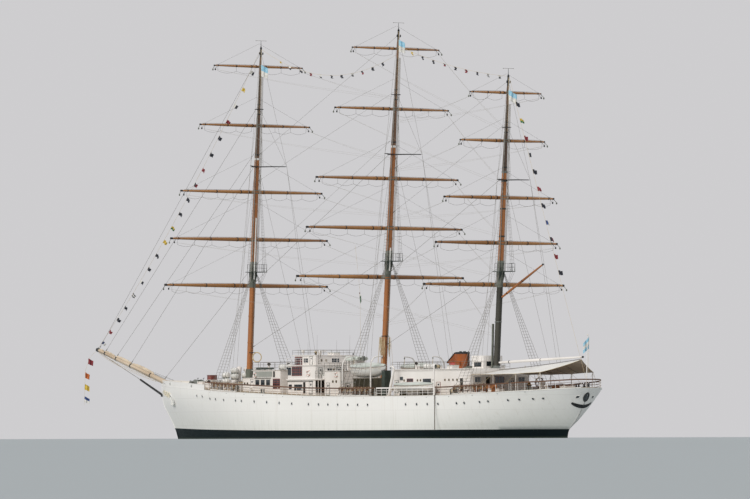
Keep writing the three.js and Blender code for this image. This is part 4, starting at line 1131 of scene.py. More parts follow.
BOOM_JAW, BOOM_END = 905, (-4262, 0, 955)
GAFF_JAW, GAFF_PEAK = 1690, (-3500, 0, 2065)
boom = swinging_spar("spanker_boom", BOOM_JAW, BOOM_END, 17, HOUSE)
gaff = swinging_spar("spanker_gaff", GAFF_JAW, GAFF_PEAK, 15, SPAR)
print("bowsprit, boom and gaff:", count_of(bowsprit, boom, gaff), "faces")

# %% [markdown]
# ## Shrouds with ratlines
# Shrouds hold a mast from each side, and ratlines across them are the rungs for climbing. Port and starboard
# are the same shapes mirrored. The ratlines follow a simple rule, a rung every so many millimetres between
# two wires that close in on each other, so a Geometry Nodes tree makes them. Its seed is the foremost wire,
# and each end of it carries the way across to the aftermost one.

# %% The ratline tree
def ratline_tree():
    tree, source, result = new_tree("ratlines", {"Spacing": 0.038, "Rope": 0.001, "Finish": HEMP})
    wire = add_node(tree, "GeometryNodeMeshToCurve", links={"Mesh": source.outputs["Geometry"]})
    places = add_node(tree, "GeometryNodeResampleCurve", {"mode": "LENGTH"},
                      {"Curve": wire.outputs["Curve"], "Length": source.outputs["Spacing"]})
    across = add_node(tree, "GeometryNodeInputNamedAttribute",
                      {"data_type": "FLOAT_VECTOR", "Name": "across"})
    reach = add_node(tree, "ShaderNodeVectorMath", {"operation": "LENGTH"}, {0: across.outputs["Attribute"]})
    turn = add_node(tree, "FunctionNodeAlignRotationToVector", {"axis": "Z"},
                    {"Vector": across.outputs["Attribute"]})
    rod_ = add_node(tree, "GeometryNodeMeshCylinder", {"Vertices": 4, "Depth": 1.0},
                    {"Radius": source.outputs["Rope"]})
    rung = add_node(tree, "GeometryNodeTransform", {"Translation": (0, 0, 0.5)},
                    {"Geometry": rod_.outputs["Mesh"]})
    size = add_node(tree, "ShaderNodeCombineXYZ", {"X": 1.0, "Y": 1.0}, {"Z": reach.outputs["Value"]})
    rungs = add_node(tree, "GeometryNodeInstanceOnPoints",
                     links={"Points": places.outputs["Curve"], "Instance": rung.outputs["Geometry"],
                            "Rotation": turn.outputs["Rotation"], "Scale": size.outputs["Vector"]})
    real = add_node(tree, "GeometryNodeRealizeInstances", links={"Geometry": rungs.outputs["Instances"]})
    finish = add_node(tree, "GeometryNodeSetMaterial", links={"Geometry": real.outputs["Geometry"],
                                                              "Material": source.outputs["Finish"]})
    tree.links.new(finish.outputs["Geometry"], result.inputs["Geometry"])
    return tree


RATLINES = ratline_tree()


def between(a, b, t):
    return tuple(p + (q - p) * t for p, q in zip(a, b))


def ratlines(fore, aft, low=0.1, high=0.94, spacing=0.038):
    """Rungs from one wire to another; each wire is a (foot, head) pair."""
    ends = [(between(*fore, t), between(*aft, t)) for t in (low, high)]
    across = [tuple((b - a) * MM for a, b in zip(*pair)) for pair in ends]
    return bare(grown("ratlines", RATLINES, {"Spacing": spacing, "Finish": HEMP}, [pair[0] for pair in ends],
                      [(0, 1)], attributes={"across": across}))


print("ratline tree:", len(RATLINES.nodes), "nodes")

# %% Shrouds and backstays
WIRE_LOW, WIRE_HIGH, CHANNEL_INSET = 1.9, 1.4, 30


def wire(points, radius=WIRE_HIGH):
    return tube(points, radius, 6)


def bottle_screw(foot, head, size=1.0):
    """The tightening screw at a wire's lower end, with its fork and lock nuts."""
    along_ = Vector(head) - Vector(foot)
    profile = [(0, 3), (10, 3), (12, 5), (52, 5), (54, 3), (72, 2.4)]
    return turned([(d * size, r * size) for d, r in profile], foot, along_, 10)


def mast_side(name):
    """The port shrouds of one mast: wires, screws, ratlines and the pin rail inside them."""
    mast = MASTS[name]
    spread = 0.92 if name == "mizzen" else 1.0

    def foot(dx):
        x = mast["x"] - 40 + dx * spread
        return x, deck_half(x) - CHANNEL_INSET, deck_top(x) + 8

    def aside(z, dx):
        return mast_x(mast, z) + dx, mast_radius(mast, z) + 6, z

    hounds = mast["top"] - 30
    lower = [(foot(dx), aside(hounds, -14 - 8 * i)) for i, dx in enumerate((-20, -115, -210, -305))]
    back = [foot(dx) for dx in (-420, -530, -640)]
    tip = mast_x(mast, mast["cross"]) - mast["reach"] - 8, mast["spread"] + 8, mast["cross"]
    futtock_y, futtock_z = mast_radius(mast, hounds) + 58, hounds - 120
    rim = [(mast_x(mast, mast["top"]) + dx, 120, mast["top"]) for dx in (-45, -85, -125)]
    top_heads = [aside(mast["cross"] - 40, -6 - 8 * i) for i in range(3)]
    futtocks = [((mast_x(mast, futtock_z) - 30 - 14 * i, futtock_y, futtock_z), p) for i, p in enumerate(rim)]
    backstays = [[back[0], aside(mast["cross"] - 60, -14)], [back[1], tip, aside(mast["upper"] - 25, -10)],
                 [back[2], tip, aside(mast["truck"] - 105, -6)]]
    wires = [wire(pair, WIRE_LOW) for pair in lower] + [wire(line) for line in backstays]
    wires += [wire(pair) for pair in futtocks] + [wire(pair) for pair in zip(rim, top_heads)]
    head = aside(mast["upper"] - 20, -4)
    wires += [wire([(mast_x(mast, mast["cross"]) + dx, 60, mast["cross"]), head], 1.2) for dx in (-28, -56)]
    screws = [bottle_screw(*pair) for pair in lower] + [bottle_screw(line[0], line[1], 0.85)
                                                        for line in backstays]
    screws += [bottle_screw(a, b, 0.6) for a, b in zip(rim, top_heads)]
    pole = tube([between(*lower[0], 0.1), between(*lower[3], 0.1)], 2.8, 8)
    rim_bar = tube([(rim[0][0] + 6, 120, mast["top"]), (rim[2][0] - 6, 120, mast["top"])], 2.8, 8)
    futtock_bar = tube([(mast_x(mast, futtock_z) - 8, futtock_y, futtock_z),
                        (mast_x(mast, futtock_z) - 80, futtock_y, futtock_z)], 2.8, 8)
    rungs = joined([ratlines(lower[0], lower[3]),
                    ratlines((rim[0], top_heads[0]), (rim[2], top_heads[2]), 0.06, 0.9),
                    ratlines(((mast_x(mast, mast["cross"]) - 28, 60, mast["cross"]), head),
                             ((mast_x(mast, mast["cross"]) - 56, 60, mast["cross"]), head), 0.08, 0.75,
                             0.05)])
    xs = steps(back[2][0] - 12, lower[0][0][0] + 12, 60)
    channel = edge_strip(xs, [(CHANNEL_INSET + 5, 1.5), (CHANNEL_INSET - 5, 1.5), (CHANNEL_INSET - 5, 13),
                              (CHANNEL_INSET + 5, 13)], deck_top, deck_half)
    rail = joined([edge_strip(xs, [(CHANNEL_INSET + 34, z - 9), (CHANNEL_INSET + 14, z - 9),
                                   (CHANNEL_INSET + 14, z),
                                   (CHANNEL_INSET + 34, z)], deck_top, deck_half) for z in (48, 104)])
    legs = [tube([(x, deck_half(x) - CHANNEL_INSET - 24, deck_top(x) + z) for z in (0, 98)], 3, 8)
            for x in xs[1::3]]
    pin_xs = steps(xs[0] + 15, xs[-1] - 15, 25)
    pins = joined([turned([(0, 1.6), (22, 1.4), (24, 2.8), (34, 3), (40, 1.5)],
                          (x, deck_half(x) - CHANNEL_INSET - 24, deck_top(x) + 80), (0, 0, 1), 6)
                   for x in pin_xs])
    hanks = [hank((x, deck_half(x) - CHANNEL_INSET - 9, deck_top(x) + 108), 10 + i % 3, 38 + 8 * (i % 4))
             for i, x in enumerate(pin_xs)]
    return [(joined(wires), WIRE), (joined([*screws, pole, rim_bar, futtock_bar]), GREY_IRON), (rungs, HEMP),
            (joined([channel, *legs]), HOUSE), (joined([rail, pins]), TEAK), (joined(hanks[::3]), MANILA),
            (joined(hanks[1::3] + hanks[2::3]), BROWN_ROPE)]


def hank(top, wide, long):
    """A rope coil that hangs from a pin: three flat loops, a little apart, with a turn round the middle."""
    x, y, z = top
    loops = []
    for k in range(3):
        dx, grow = (k - 1) * 2.4, 1 - 0.12 * abs(k - 1)
        path = [(x + dx + math.sin(t) * wide * grow * 0.5 * (1.25 if math.cos(t) < 0 else 0.8),
                 y + (k - 1) * 1.6, z - long / 2 + math.cos(t) * long / 2 * grow)
                for t in (2 * math.pi * i / 10 for i in range(10))]
        loops.append(tube(path, 1.7, 4, closed=True))
    loops.append(ring((x, y, z - long * 0.28), (0, 0, 1), wide * 0.36, 1.7, 8, 4))
    return joined(loops)


shroud_objects = []
for mast_name in MASTS:
    port_parts = mast_side(mast_name)
    for side_name, parts in (("port", port_parts), ("starboard", [(mirrored(s), m) for s, m in port_parts])):
        shroud_objects.append(piece(f"{mast_name}_rigging_{side_name}", parts,
                                    stands_for=[f"{mast_name}_shrouds_{side_name}"]))
print("shrouds and pin rails:", count_of(*shroud_objects), "faces")

# %% [markdown]
# ## Stays on the centreline
# Stays hold the masts from ahead. Five come down to a bar along the bowsprit, whose collars hold them, and
# the others run from the main and mizzen masts to the mast ahead, each with its screw at the foot. They are
# straight, so a tube of two points is all that they need.

# %% Stays
def ahead_of(mast, z):
    return mast_x(mast, z) + mast_radius(mast, z) + 4, 0, z


def abaft_of(mast, z):
    return mast_x(mast, z) - mast_radius(mast, z) - 14, 0, z


def stay(foot, head, radius=1.7):
    return joined([wire([foot, head], radius), bottle_screw(foot, head, 0.9)])


def sprit_top(x):
    return x, 0, sprit_z(x) + 42 - 17 * (x - SPRIT_HEEL[0]) / (SPRIT_TIP[0] - SPRIT_HEEL[0])


fore, main, mizzen = MASTS["fore"], MASTS["main"], MASTS["mizzen"]
HEAD_STAYS = [(4395, fore["top"] + 45), (5150, fore["cross"] + 30), (5480, fore["cross"] + 200),
              (5735, fore["upper"] + 40), (5878, fore["truck"] - 60)]
head_wires = joined([stay(sprit_top(x), ahead_of(fore, z)) for x, z in HEAD_STAYS])
head_bar = tube([(x, 0, sprit_top(x)[2] + 3) for x in (4380, 5888)], 2.6, 8)
collars = joined([ring((x, 0, sprit_z(x) + 2), (-1, 0, 0.28), sprit_radius(x) + 3, 2.4, 20, 6)
                  for x, _ in HEAD_STAYS[1:]])
head_stays = piece("head_stays_to_bowsprit", [(head_wires, WIRE), (joined([head_bar, collars]), GREY_IRON)],
                   stands_for=["head_stays"])


def mast_stays(name, mast, onto, feet, more):
    """Stays from one mast to the mast ahead; more are the lighter ones that stand over the main two."""
    lines = [stay(abaft_of(onto, low), ahead_of(mast, high)) for high, low in feet]
    lines += [stay(abaft_of(onto, low), ahead_of(mast, high), 1.2) for high, low in more]
    low, high = abaft_of(onto, feet[0][1] - 8), abaft_of(onto, feet[-1][1] + 8)
    eyes = joined([tube([abaft_of(onto, z), (mast_x(onto, z) - mast_radius(onto, z) + 2, 0, z)], 3, 8)
                   for _, z in [*feet, *more]])
    return piece(name + "_rigged",
                 [(joined(lines), WIRE), (joined([tube([low, high], 2.4, 8), eyes]), GREY_IRON)],
                 stands_for=[name])


main_stays = mast_stays("main_stays", main, fore, [(main["top"] + 45, 1150), (main["cross"] + 30, 1960)],
                        [(main["cross"] + 190, 2180), (main["upper"] + 40, 3230), (main["truck"] - 60, 3560)])
mizzen_stays = mast_stays("mizzen_stays", mizzen, main,
                          [(mizzen["top"] + 45, 1150), (mizzen["cross"] + 30, 2040)],
                          [(mizzen["upper"] + 40, 2760), (mizzen["truck"] - 60, 3300)])
print("stays:", count_of(head_stays, main_stays, mizzen_stays), "faces")

# %% Bobstay and bowsprit guys
bobstay_head = (5888, 0, sprit_z(5888) - 24)
bar = turned([(0, 14), (30, 14.5), (500, 12.5), (525, 11), (535, 6)], (4458, 0, 566),
             (4930 - 4458, 0, 757 - 566), 14)
jaw = both_sides(box(4424, 4456, 15, 19, 540, 574))
guys = both_sides(joined([wire([(4180, deck_half(4180) - 2, deck_top(4180) + 20),
                                (x, sprit_radius(x), sprit_z(x))],
                               1.5) for x in (5150, 5878)]))
bobstay = piece("bobstay_bar_and_wire",
                [(joined([bar, jaw]), IRON),
                 (joined([wire([(4930, 0, 757), bobstay_head], 3.0), guys]), WIRE)],
                stands_for=["bobstay"])
print("bobstay:", count_of(bobstay), "faces")

# %% [markdown]
# ## Braces
# A brace pulls a yard's arm round from the next mast. Its ends move differently, so each pair is an object of
# its own between the yard and the hull, on no body. Each rope is drawn in short steps and sags a little.

# %% Braces from yard arms to masts
# Yard, mast it leads to and height there
BRACE_LEADS = {
    ("fore", "course"): ("main", 1500), ("fore", "lower_topsail"): ("main", 2120),
    ("fore", "upper_topsail"): ("main", 2740), ("fore", "topgallant"): ("main", 3430),
    ("fore", "royal"): ("main", 4170), ("main", "course"): ("mizzen", 1250),
    ("main", "lower_topsail"): ("mizzen", 1950), ("main", "upper_topsail"): ("mizzen", 2440),
    ("main", "topgallant"): ("mizzen", 3060), ("main", "royal"): ("mizzen", 3700),
    ("mizzen", "course"): ("main", 1420), ("mizzen", "lower_topsail"): ("main", 2110),
    ("mizzen", "upper_topsail"): ("main", 2700), ("mizzen", "topgallant"): ("main", 3290),
    ("mizzen", "royal"): ("main", 3880),
}
BRACE_STEPS = 14


def brace(mast_name, level, z, length, ahead):
    onto_name, low = BRACE_LEADS[mast_name, level]
    onto, x, half = MASTS[onto_name], mast_x(MASTS[mast_name], z) + ahead, length / 2
    way = 1 if onto["x"] > MASTS[mast_name]["x"] else -1
    head = (x - 8, half * 0.93 + 32, z - 50)
    foot = (mast_x(onto, low) + (-way) * (mast_radius(onto, low) + 5), 16, low)
    ropes = []
    for gap in (0, 9):
        end = (foot[0], foot[1] + gap * 0.5, foot[2] - gap * 3)
        line = [between(head, end, t / BRACE_STEPS) for t in range(BRACE_STEPS + 1)]
        line = [(px, py, pz - 26 * math.sin(math.pi * i / BRACE_STEPS))
                for i, (px, py, pz) in enumerate(line)]
        ropes.append(tube(line, 0.85, 4))
    rope_pair = both_sides(joined(ropes))
    obj = piece(f"{mast_name}_{level}_braces", [(rope_pair, ROPE)], ride=False)
    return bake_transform(obj)


braces = [brace(*row) for row in YARDS]
print("braces:", len(braces), "pairs,", count_of(*braces), "faces")

# %% [markdown]
# ## Halyards down the masts
# Halyards and buntlines come down abaft each mast in bundles, which make the masts look thicker than the
# poles are. Each bundle is drawn as a few ropes that keep their distance from the tapering mast, on both
# quarters.

# %% Halyard bundles
bundles = []
for mast in MASTS.values():
    for gap in (7, 15, 24):
        for z0, z1 in ((mast["top"] + 8, mast["cross"] - 6), (mast["cross"] + 8, mast["truck"] - 330)):
            bundles.append(tube([(mast_x(mast, z) - (mast_radius(mast, z) + gap) * 0.594,
                                  (mast_radius(mast, z) + gap) * 0.804, z)
                                 for z in steps(z0, z1, 120)], 2.6, 5))
halyard_bundles = piece("halyard_bundles", [(both_sides(joined(bundles)), ROPE)])
print("halyard bundles:", len(bundles) * 2, "ropes,", count_of(halyard_bundles), "faces")

# %% [markdown]
# ## Walls, windows and doors
# The deckhouses are welded boxes with round corners. What tells them apart is what is set into their walls,
# so a wall is an address that turns two lengths along it and a distance out of it into a point, and a window
# or a door is boxes at such addresses. Cutting real openings would need booleans on every house. At this
# distance a pane set a little back inside a proud frame reads the same.

# %% Walls as addresses
CORNER_STEPS = 4


def rounded_plan(x0, x1, half, corner):
    """A rectangle across the centreline with round corners, as a list of X and Y points."""
    outline = []
    for cx, cy, start in ((x1 - corner, half - corner, 0), (x0 + corner, half - corner, 90),
                          (x0 + corner, corner - half, 180), (x1 - corner, corner - half, 270)):
        for k in range(CORNER_STEPS + 1):
            a = math.radians(start + 90 * k / CORNER_STEPS)
            outline.append((cx + corner * math.cos(a), cy + corner * math.sin(a)))
    return outline


def house_walls(x0, x1, half, roof, corner):
    """Walls that stand on the deck's curve and rise to a flat roof."""
    plan = rounded_plan(x0, x1, half, corner)
    return loft([[(x, y, deck_top(x) + 0.5) for x, y in plan], [(x, y, roof) for x, y in plan]])


def roof_slab(x0, x1, half, z0, z1, corner=16):
    """A roof with a rolled edge: three plans, the middle one a little larger."""
    inner = rounded_plan(x0 + 3, x1 - 3, half - 3, corner)
    outer = rounded_plan(x0, x1, half, corner)
    mid = (z0 + z1) / 2
    return loft([[(x, y, z0) for x, y in inner], [(x, y, mid) for x, y in outer],
                 [(x, y, z1) for x, y in inner]])


def on_wall(wall, u0, u1, v0, v1, o0, o1):
    """A box on a wall. wall is (facing, place); u runs along it, v up it and o out of it."""
    facing, place = wall
    points, faces = box(u0, u1, o0, o1, v0, v1)
    turn = {"port": lambda u, o, v: (u, place + o, v), "aft": lambda u, o, v: (place - o, u, v),
            "fore": lambda u, o, v: (place + o, u, v)}[facing]
    return [turn(*p) for p in points], faces


def window(wall, u, v, wide, high, cols=1, rows=1, frame=HOUSE, bar=2.0, edge=4.5):
    """Glass set back in a proud frame, with glazing bars; u and v are its centre."""
    u0, u1, v0, v1 = u - wide / 2, u + wide / 2, v - high / 2, v + high / 2
    rim = [on_wall(wall, u0 - edge, u1 + edge, v1, v1 + edge, -1, 3.5),
           on_wall(wall, u0 - edge, u1 + edge, v0 - edge, v0, -1, 4.5),
           on_wall(wall, u0 - edge, u0, v0, v1, -1, 3.5), on_wall(wall, u1, u1 + edge, v0, v1, -1, 3.5)]
    bars = [on_wall(wall, u0 + wide * k / cols - bar / 2, u0 + wide * k / cols + bar / 2, v0, v1, -1, 2.6)
            for k in range(1, cols)]
    bars += [on_wall(wall, u0, u1, v0 + high * k / rows - bar / 2, v0 + high * k / rows + bar / 2, -1, 2.4)
             for k in range(1, rows)]
    return [(on_wall(wall, u0, u1, v0, v1, -1, 1.0), GLASS), (joined(rim + bars), frame)]


def door(wall, u, v0, wide, high, leaf=HOUSE, frame=GREY_IRON):
    """A steel door with its coaming, hinges, handle and a round light."""
    u0, u1 = u - wide / 2, u + wide / 2
    surround = [on_wall(wall, u0 - 5, u0, v0, v0 + high + 5, -1, 4),
                on_wall(wall, u1, u1 + 5, v0, v0 + high + 5, -1, 4),
                on_wall(wall, u0, u1, v0 + high, v0 + high + 5, -1, 4),
                on_wall(wall, u0 - 6, u1 + 6, v0 - 8, v0, -1, 8)]
    furniture = [on_wall(wall, u1 - 12, u1 - 8, v0 + high * 0.44, v0 + high * 0.52, 3, 8)]
    furniture += [on_wall(wall, u0 - 3, u0 + 8, v0 + high * share - 3, v0 + high * share + 3, 2, 5)
                  for share in (0.2, 0.8)]
    light = on_wall(wall, u - wide * 0.2, u + wide * 0.2, v0 + high * 0.68, v0 + high * 0.86, 2, 3.2)
    return [(on_wall(wall, u0, u1, v0, v0 + high, -1, 2.5), leaf), (joined(surround), frame),
            (joined(furniture), IRON), (light, GLASS)]


def open_door(wall, u, v0, wide, high):
    """A doorway that stands open, with a dark panel of painted shade inside."""
    u0, u1 = u - wide / 2, u + wide / 2
    surround = [on_wall(wall, u0 - 5, u0, v0, v0 + high + 5, -1, 5),
                on_wall(wall, u1, u1 + 5, v0, v0 + high + 5, -1, 5),
                on_wall(wall, u0, u1, v0 + high, v0 + high + 5, -1, 5)]
    return [(on_wall(wall, u0, u1, v0, v0 + high, -1, 0.8), SHADE), (joined(surround), HOUSE)]


def both(parts):
    return [(both_sides(shape), finish) for shape, finish in parts]


def guard_rail(points, high=95, post=2.0, bars=(0.35, 0.68)):
    """Posts with a round top rail and wires under it."""
    posts = [tube([p, (p[0], p[1], p[2] + high)], post, 6) for p in points]
    top = tube([(x, y, z + high) for x, y, z in points], post, 6)
    low = [tube([(x, y, z + high * share) for x, y, z in points], 1.1, 5) for share in bars]
    return joined(posts + [top] + low)


def edge_points(x0, x1, half, z, spacing=110, aft=True, fore=True):
    """Points round a roof's edge from the port fore corner, aft and across, to the starboard fore corner."""
    port = [(x, half, z) for x in steps(x1, x0, spacing)]
    across = [(x0, y, z) for y in steps(half, -half, spacing)[1:-1]] if aft else []
    starboard = [(x, -half, z) for x in steps(x0, x1, spacing)]
    ahead = [(x1, y, z) for y in steps(-half, half, spacing)[1:]] if fore else []
    return port + across + starboard + ahead


def vertical_ladder(wall, u, v0, v1, wide=34):
    """A ladder on a wall with its rungs and stand-offs."""
    out = 14
    stiles = [on_wall(wall, u + s * wide / 2 - 1.5, u + s * wide / 2 + 1.5, v0, v1, out - 3, out)
              for s in (-1, 1)]
    rungs = [on_wall(wall, u - wide / 2, u + wide / 2, v - 1, v + 1, out - 2.5, out - 0.5)
             for v in steps(v0 + 14, v1 - 10, 30)]
    holds = [on_wall(wall, u + s * wide / 2 - 1.5, u + s * wide / 2 + 1.5, v - 2, v + 2, 0, out)
             for s in (-1, 1) for v in (v0 + 20, v1 - 20)]
    return joined(stiles + rungs + holds)


print("walls, windows and doors ready")

# %% [markdown]
# ## Small gear that repeats
# The roofs carry the same few things again and again: cowl and mushroom vents, raft canisters in cradles,
# lockers, lifebuoys and lamps. Each is one function that gives parts at a place. They could be instances of
# one mesh, but as parts they join the house that carries them, which keeps the number of objects low.

# %% Vents, canisters, lockers, lifebuoys and lamps
def cowl_vent(x, y, z, high=90, mouth=24, way=(-1, 0.6, 0)):
    pipe = turned([(0, mouth * 0.75), (4, mouth * 0.55), (high * 0.6, mouth * 0.55)], (x, y, z), (0, 0, 1),
                  14)
    face = Vector(way).normalized()
    path = [Vector((x, y, z + high * 0.58)) + Vector((0, 0, 1)) * math.sin(a) * high * 0.3
            + face * (1 - math.cos(a)) * mouth * 0.8 for a in (0, 0.4, 0.8, 1.2, 1.55)]
    hood = tube(path, [mouth * r for r in (0.55, 0.66, 0.82, 0.95, 1.0)], 14)
    lip = ring(path[-1], path[-1] - path[-2], mouth, 1.8, 20, 6)
    dark = turned([(0.4, mouth * 0.9), (1.2, mouth * 0.9)], path[-1], path[-1] - path[-2], 14)
    return [(joined([pipe, hood, lip]), HOUSE), (dark, SHADE)]


def mushroom_vent(x, y, z, high=46, wide=22):
    stem = turned([(0, wide * 0.7), (3, wide * 0.5), (high * 0.7, wide * 0.5)], (x, y, z), (0, 0, 1), 14)
    cap = turned([(high * 0.66, wide), (high * 0.8, wide * 1.02), (high * 0.93, wide * 0.7),
                  (high, wide * 0.2)],
                 (x, y, z), (0, 0, 1), 16)
    return [(joined([stem, cap]), HOUSE)]


def raft_canister(x, y, z, long=118, radius=32):
    axis = (1, 0, 0)
    half = long / 2
    shell = turned([(-half, radius * 0.4), (-half + 6, radius * 0.86), (-half + 16, radius), (-2, radius),
                    (-1, radius * 1.04),
                    (1, radius * 1.04), (2, radius), (half - 16, radius), (half - 6, radius * 0.86),
                    (half, radius * 0.4)],
                   (x, y, z + radius + 8), axis, 18)
    straps = [turned([(d - 2, radius * 1.03), (d + 2, radius * 1.03)], (x, y, z + radius + 8), axis, 18)
              for d in (-half * 0.55, half * 0.55)]
    feet = [box(x + d - 4, x + d + 4, y - radius, y + radius, z, z + 12) for d in (-half * 0.55, half * 0.55)]
    return [(shell, BOAT), (joined(straps + feet), GREY_IRON)]


def locker(x0, x1, y0, y1, z0, z1, finish=HOUSE, lid=HOUSE):
    return [(box(x0, x1, y0, y1, z0, z1 - 5), finish), (box(x0 - 3, x1 + 3, y0 - 3, y1 + 3, z1 - 5, z1), lid),
            (joined([box(x0 + (x1 - x0) * s - 4, x0 + (x1 - x0) * s + 4, y1, y1 + 3.5, z1 - 16, z1 - 6)
                     for s in (0.25, 0.75)]), GREY_IRON)]


def lifebuoy(centre, axis, radius=31):
    body = ring(centre, axis, radius, 8.0, 24, 8)
    points, faces = ring(centre, axis, radius, 8.6, 24, 8)
    straps = points, [face for i, face in enumerate(faces) if (i // 8) % 6 == 0]
    return [(body, BOAT), (straps, ORANGE)]


def lamp(x, y, z, wide=9, high=24):
    guard = [tube([(x + wide * math.cos(a), y + wide * math.sin(a), z + 4),
                   (x + wide * math.cos(a), y + wide * math.sin(a), z + high - 4)], 0.9, 4)
             for a in (math.pi / 2 * k for k in range(4))]
    glass = turned([(4, wide * 0.7), (high - 5, wide * 0.7)], (x, y, z), (0, 0, 1), 12)
    ends = [turned([(0, wide * 1.1), (4, wide * 1.1)], (x, y, z), (0, 0, 1), 12),
            turned([(high - 5, wide * 1.1), (high, wide * 0.5)], (x, y, z), (0, 0, 1), 12)]
    return [(joined(guard + ends), IRON), (glass, GLASS)]


print("small gear ready")

# %% [markdown]
# ## Round ports by Geometry Nodes
# Round ports look out of the hull and the houses. Each is a rim, a pane and a ring of bolts, so one tree
# builds the three once and sets them on points that carry the wall's direction. Its inputs are the port's
# radius, its rim and the number of bolts. Copies by script would make the same mesh, but the tree can be
# retuned at once.

# %% The port tree
def port_tree():
    tree, source, result = new_tree("round_ports",
                                    {"Radius": 0.014, "Rim": 0.003, "Bolts": 6, "Rim Finish": BRASS})
    hoop = add_node(tree, "GeometryNodeCurvePrimitiveCircle", {"Resolution": 18},
                    {"Radius": source.outputs["Radius"]})
    section = add_node(tree, "GeometryNodeCurvePrimitiveCircle", {"Resolution": 6},
                       {"Radius": source.outputs["Rim"]})
    rim = add_node(tree, "GeometryNodeCurveToMesh", links={"Curve": hoop.outputs["Curve"],
                                                           "Profile Curve": section.outputs["Curve"]})
    brass = add_node(tree, "GeometryNodeSetMaterial", links={"Geometry": rim.outputs["Mesh"],
                                                             "Material": source.outputs["Rim Finish"]})
    pane = add_node(tree, "GeometryNodeMeshCylinder", {"Vertices": 18, "Depth": 0.0024},
                    {"Radius": source.outputs["Radius"]})
    glass = add_node(tree, "GeometryNodeSetMaterial", {"Material": GLASS}, {"Geometry": pane.outputs["Mesh"]})
    pitch = add_node(tree, "ShaderNodeMath", {"operation": "MULTIPLY_ADD", 1: 1.4},
                     {0: source.outputs["Rim"], 2: source.outputs["Radius"]})
    places = add_node(tree, "GeometryNodeMeshCircle", links={"Vertices": source.outputs["Bolts"],
                                                             "Radius": pitch.outputs["Value"]})
    half_rim = add_node(tree, "ShaderNodeMath", {"operation": "MULTIPLY", 1: 0.55},
                        {0: source.outputs["Rim"]})
    head = add_node(tree, "GeometryNodeMeshCylinder", {"Vertices": 6}, {"Radius": half_rim.outputs["Value"],
                                                                        "Depth": source.outputs["Rim"]})
    bolts = add_node(tree, "GeometryNodeInstanceOnPoints", links={"Points": places.outputs["Mesh"],
                                                                  "Instance": head.outputs["Mesh"]})
    dark = add_node(tree, "GeometryNodeSetMaterial", {"Material": IRON},
                    {"Geometry": bolts.outputs["Instances"]})
    port = add_node(tree, "GeometryNodeJoinGeometry")
    for node in (dark, glass, brass):
        tree.links.new(node.outputs["Geometry"], port.inputs["Geometry"])
    facing = add_node(tree, "GeometryNodeInputNamedAttribute",
                      {"data_type": "FLOAT_VECTOR", "Name": "facing"})
    turn = add_node(tree, "FunctionNodeAlignRotationToVector", {"axis": "Z"},
                    {"Vector": facing.outputs["Attribute"]})
    spots = add_node(tree, "GeometryNodeMeshToPoints", links={"Mesh": source.outputs["Geometry"]})
    ports = add_node(tree, "GeometryNodeInstanceOnPoints", links={"Points": spots.outputs["Points"],
                                                                  "Instance": port.outputs["Geometry"],
                                                                  "Rotation": turn.outputs["Rotation"]})
    real = add_node(tree, "GeometryNodeRealizeInstances", links={"Geometry": ports.outputs["Instances"]})
    tree.links.new(real.outputs["Geometry"], result.inputs["Geometry"])
    return tree


ROUND_PORTS = port_tree()


def round_ports(places, facings, radius=0.014):
    """Parts of ports at places, each looking along its facing."""
    return grown("ports", ROUND_PORTS, {"Radius": radius, "Rim": 0.003, "Bolts": 6, "Rim Finish": BRASS},
                 places,
                 attributes={"facing": facings})


print("port tree:", len(ROUND_PORTS.nodes), "nodes")

# %% [markdown]
# ## The fore deckhouse
# It is a long low house behind the foremast with a lower step ahead. Its port wall shows a window of many
# panes framed in red hardwood, three smaller windows under a dark eyebrow whose colour also paints the shadow
# line under the eaves, a grey band under the roof's edge and an open doorway under the roof. The roof carries
# a spare spar, vents and rafts.

# %% Fore deckhouse
FORE_SIDE, FORE_AFT, FORE_ROOF = ("port", 340), ("aft", 1400), 855
fore_house = [
    (house_walls(1400, 1985, 340, 850, 20), HOUSE), (house_walls(1960, 2330, 250, 758, 15), HOUSE),
    (roof_slab(1385, 2000, 352, 848, FORE_ROOF + 1), HOUSE), (roof_slab(1980, 2338, 257, 756, 762), HOUSE)]
fore_house += both(window(FORE_SIDE, 1475, 684, 128, 106, 4, 4, RED_TEAK, bar=7, edge=9))
for place in (1650, 1765, 1880):
    fore_house += both(window(FORE_SIDE, place, 700, 74, 62, 1, 1, GREY_IRON))
# The eyebrow over the three windows is a trim; its dark colour also paints the shadow line under the eaves.
fore_house += both([(on_wall(FORE_SIDE, 1588, 1935, 752, 758, 0, 12), GREEN_IRON)])
fore_house += both(open_door(FORE_SIDE, 1520, 762, 40, 76))
# A grey band on the wall under the roof's edge, darker than the white wall around it.
fore_house += both([(on_wall(FORE_SIDE, 1562, 1940, 770, 836, 0, 2.5), GREY_EAVE_BAND)])
fore_house += both(door(("port", 250), 2120, 612, 58, 128))
fore_house += door(FORE_AFT, 120, 566, 60, 140) + window(FORE_AFT, -120, 690, 80, 60, 2)
fore_house += window(("fore", 1985), 0, 812, 260, 34, 5)
fore_house += both(round_ports([(2020, 251, 690), (2220, 251, 690), (2280, 251, 690)], [(0, 1, 0)] * 3,
                               0.013))
fore_house += both([(tube([(1560, 326, 872), (1912, 326, 872)], [11, 14], 10), GREEN_IRON)])
fore_house += both([(joined([box(x - 5, x + 5, 310, 342, FORE_ROOF, 864) for x in (1610, 1740, 1870)]),
                     GREY_IRON)])
fore_house += [(guard_rail(edge_points(1400, 1975, 340, FORE_ROOF + 1, 118)), WIRE)]
for x, y in ((1480, 120), (1480, -120), (1650, 120), (1650, -120)):
    fore_house += raft_canister(x, y, FORE_ROOF + 1)
for y in (60, -60):
    fore_house += mushroom_vent(1790, y, FORE_ROOF)
for y in (150, -150):
    fore_house += cowl_vent(1900, y, FORE_ROOF, 84)
for y in (90, -90):
    fore_house += mushroom_vent(2070, y, 761, 40, 18)
fore_house += locker(2160, 2290, -120, 120, 761, 800, HOUSE, COVER)
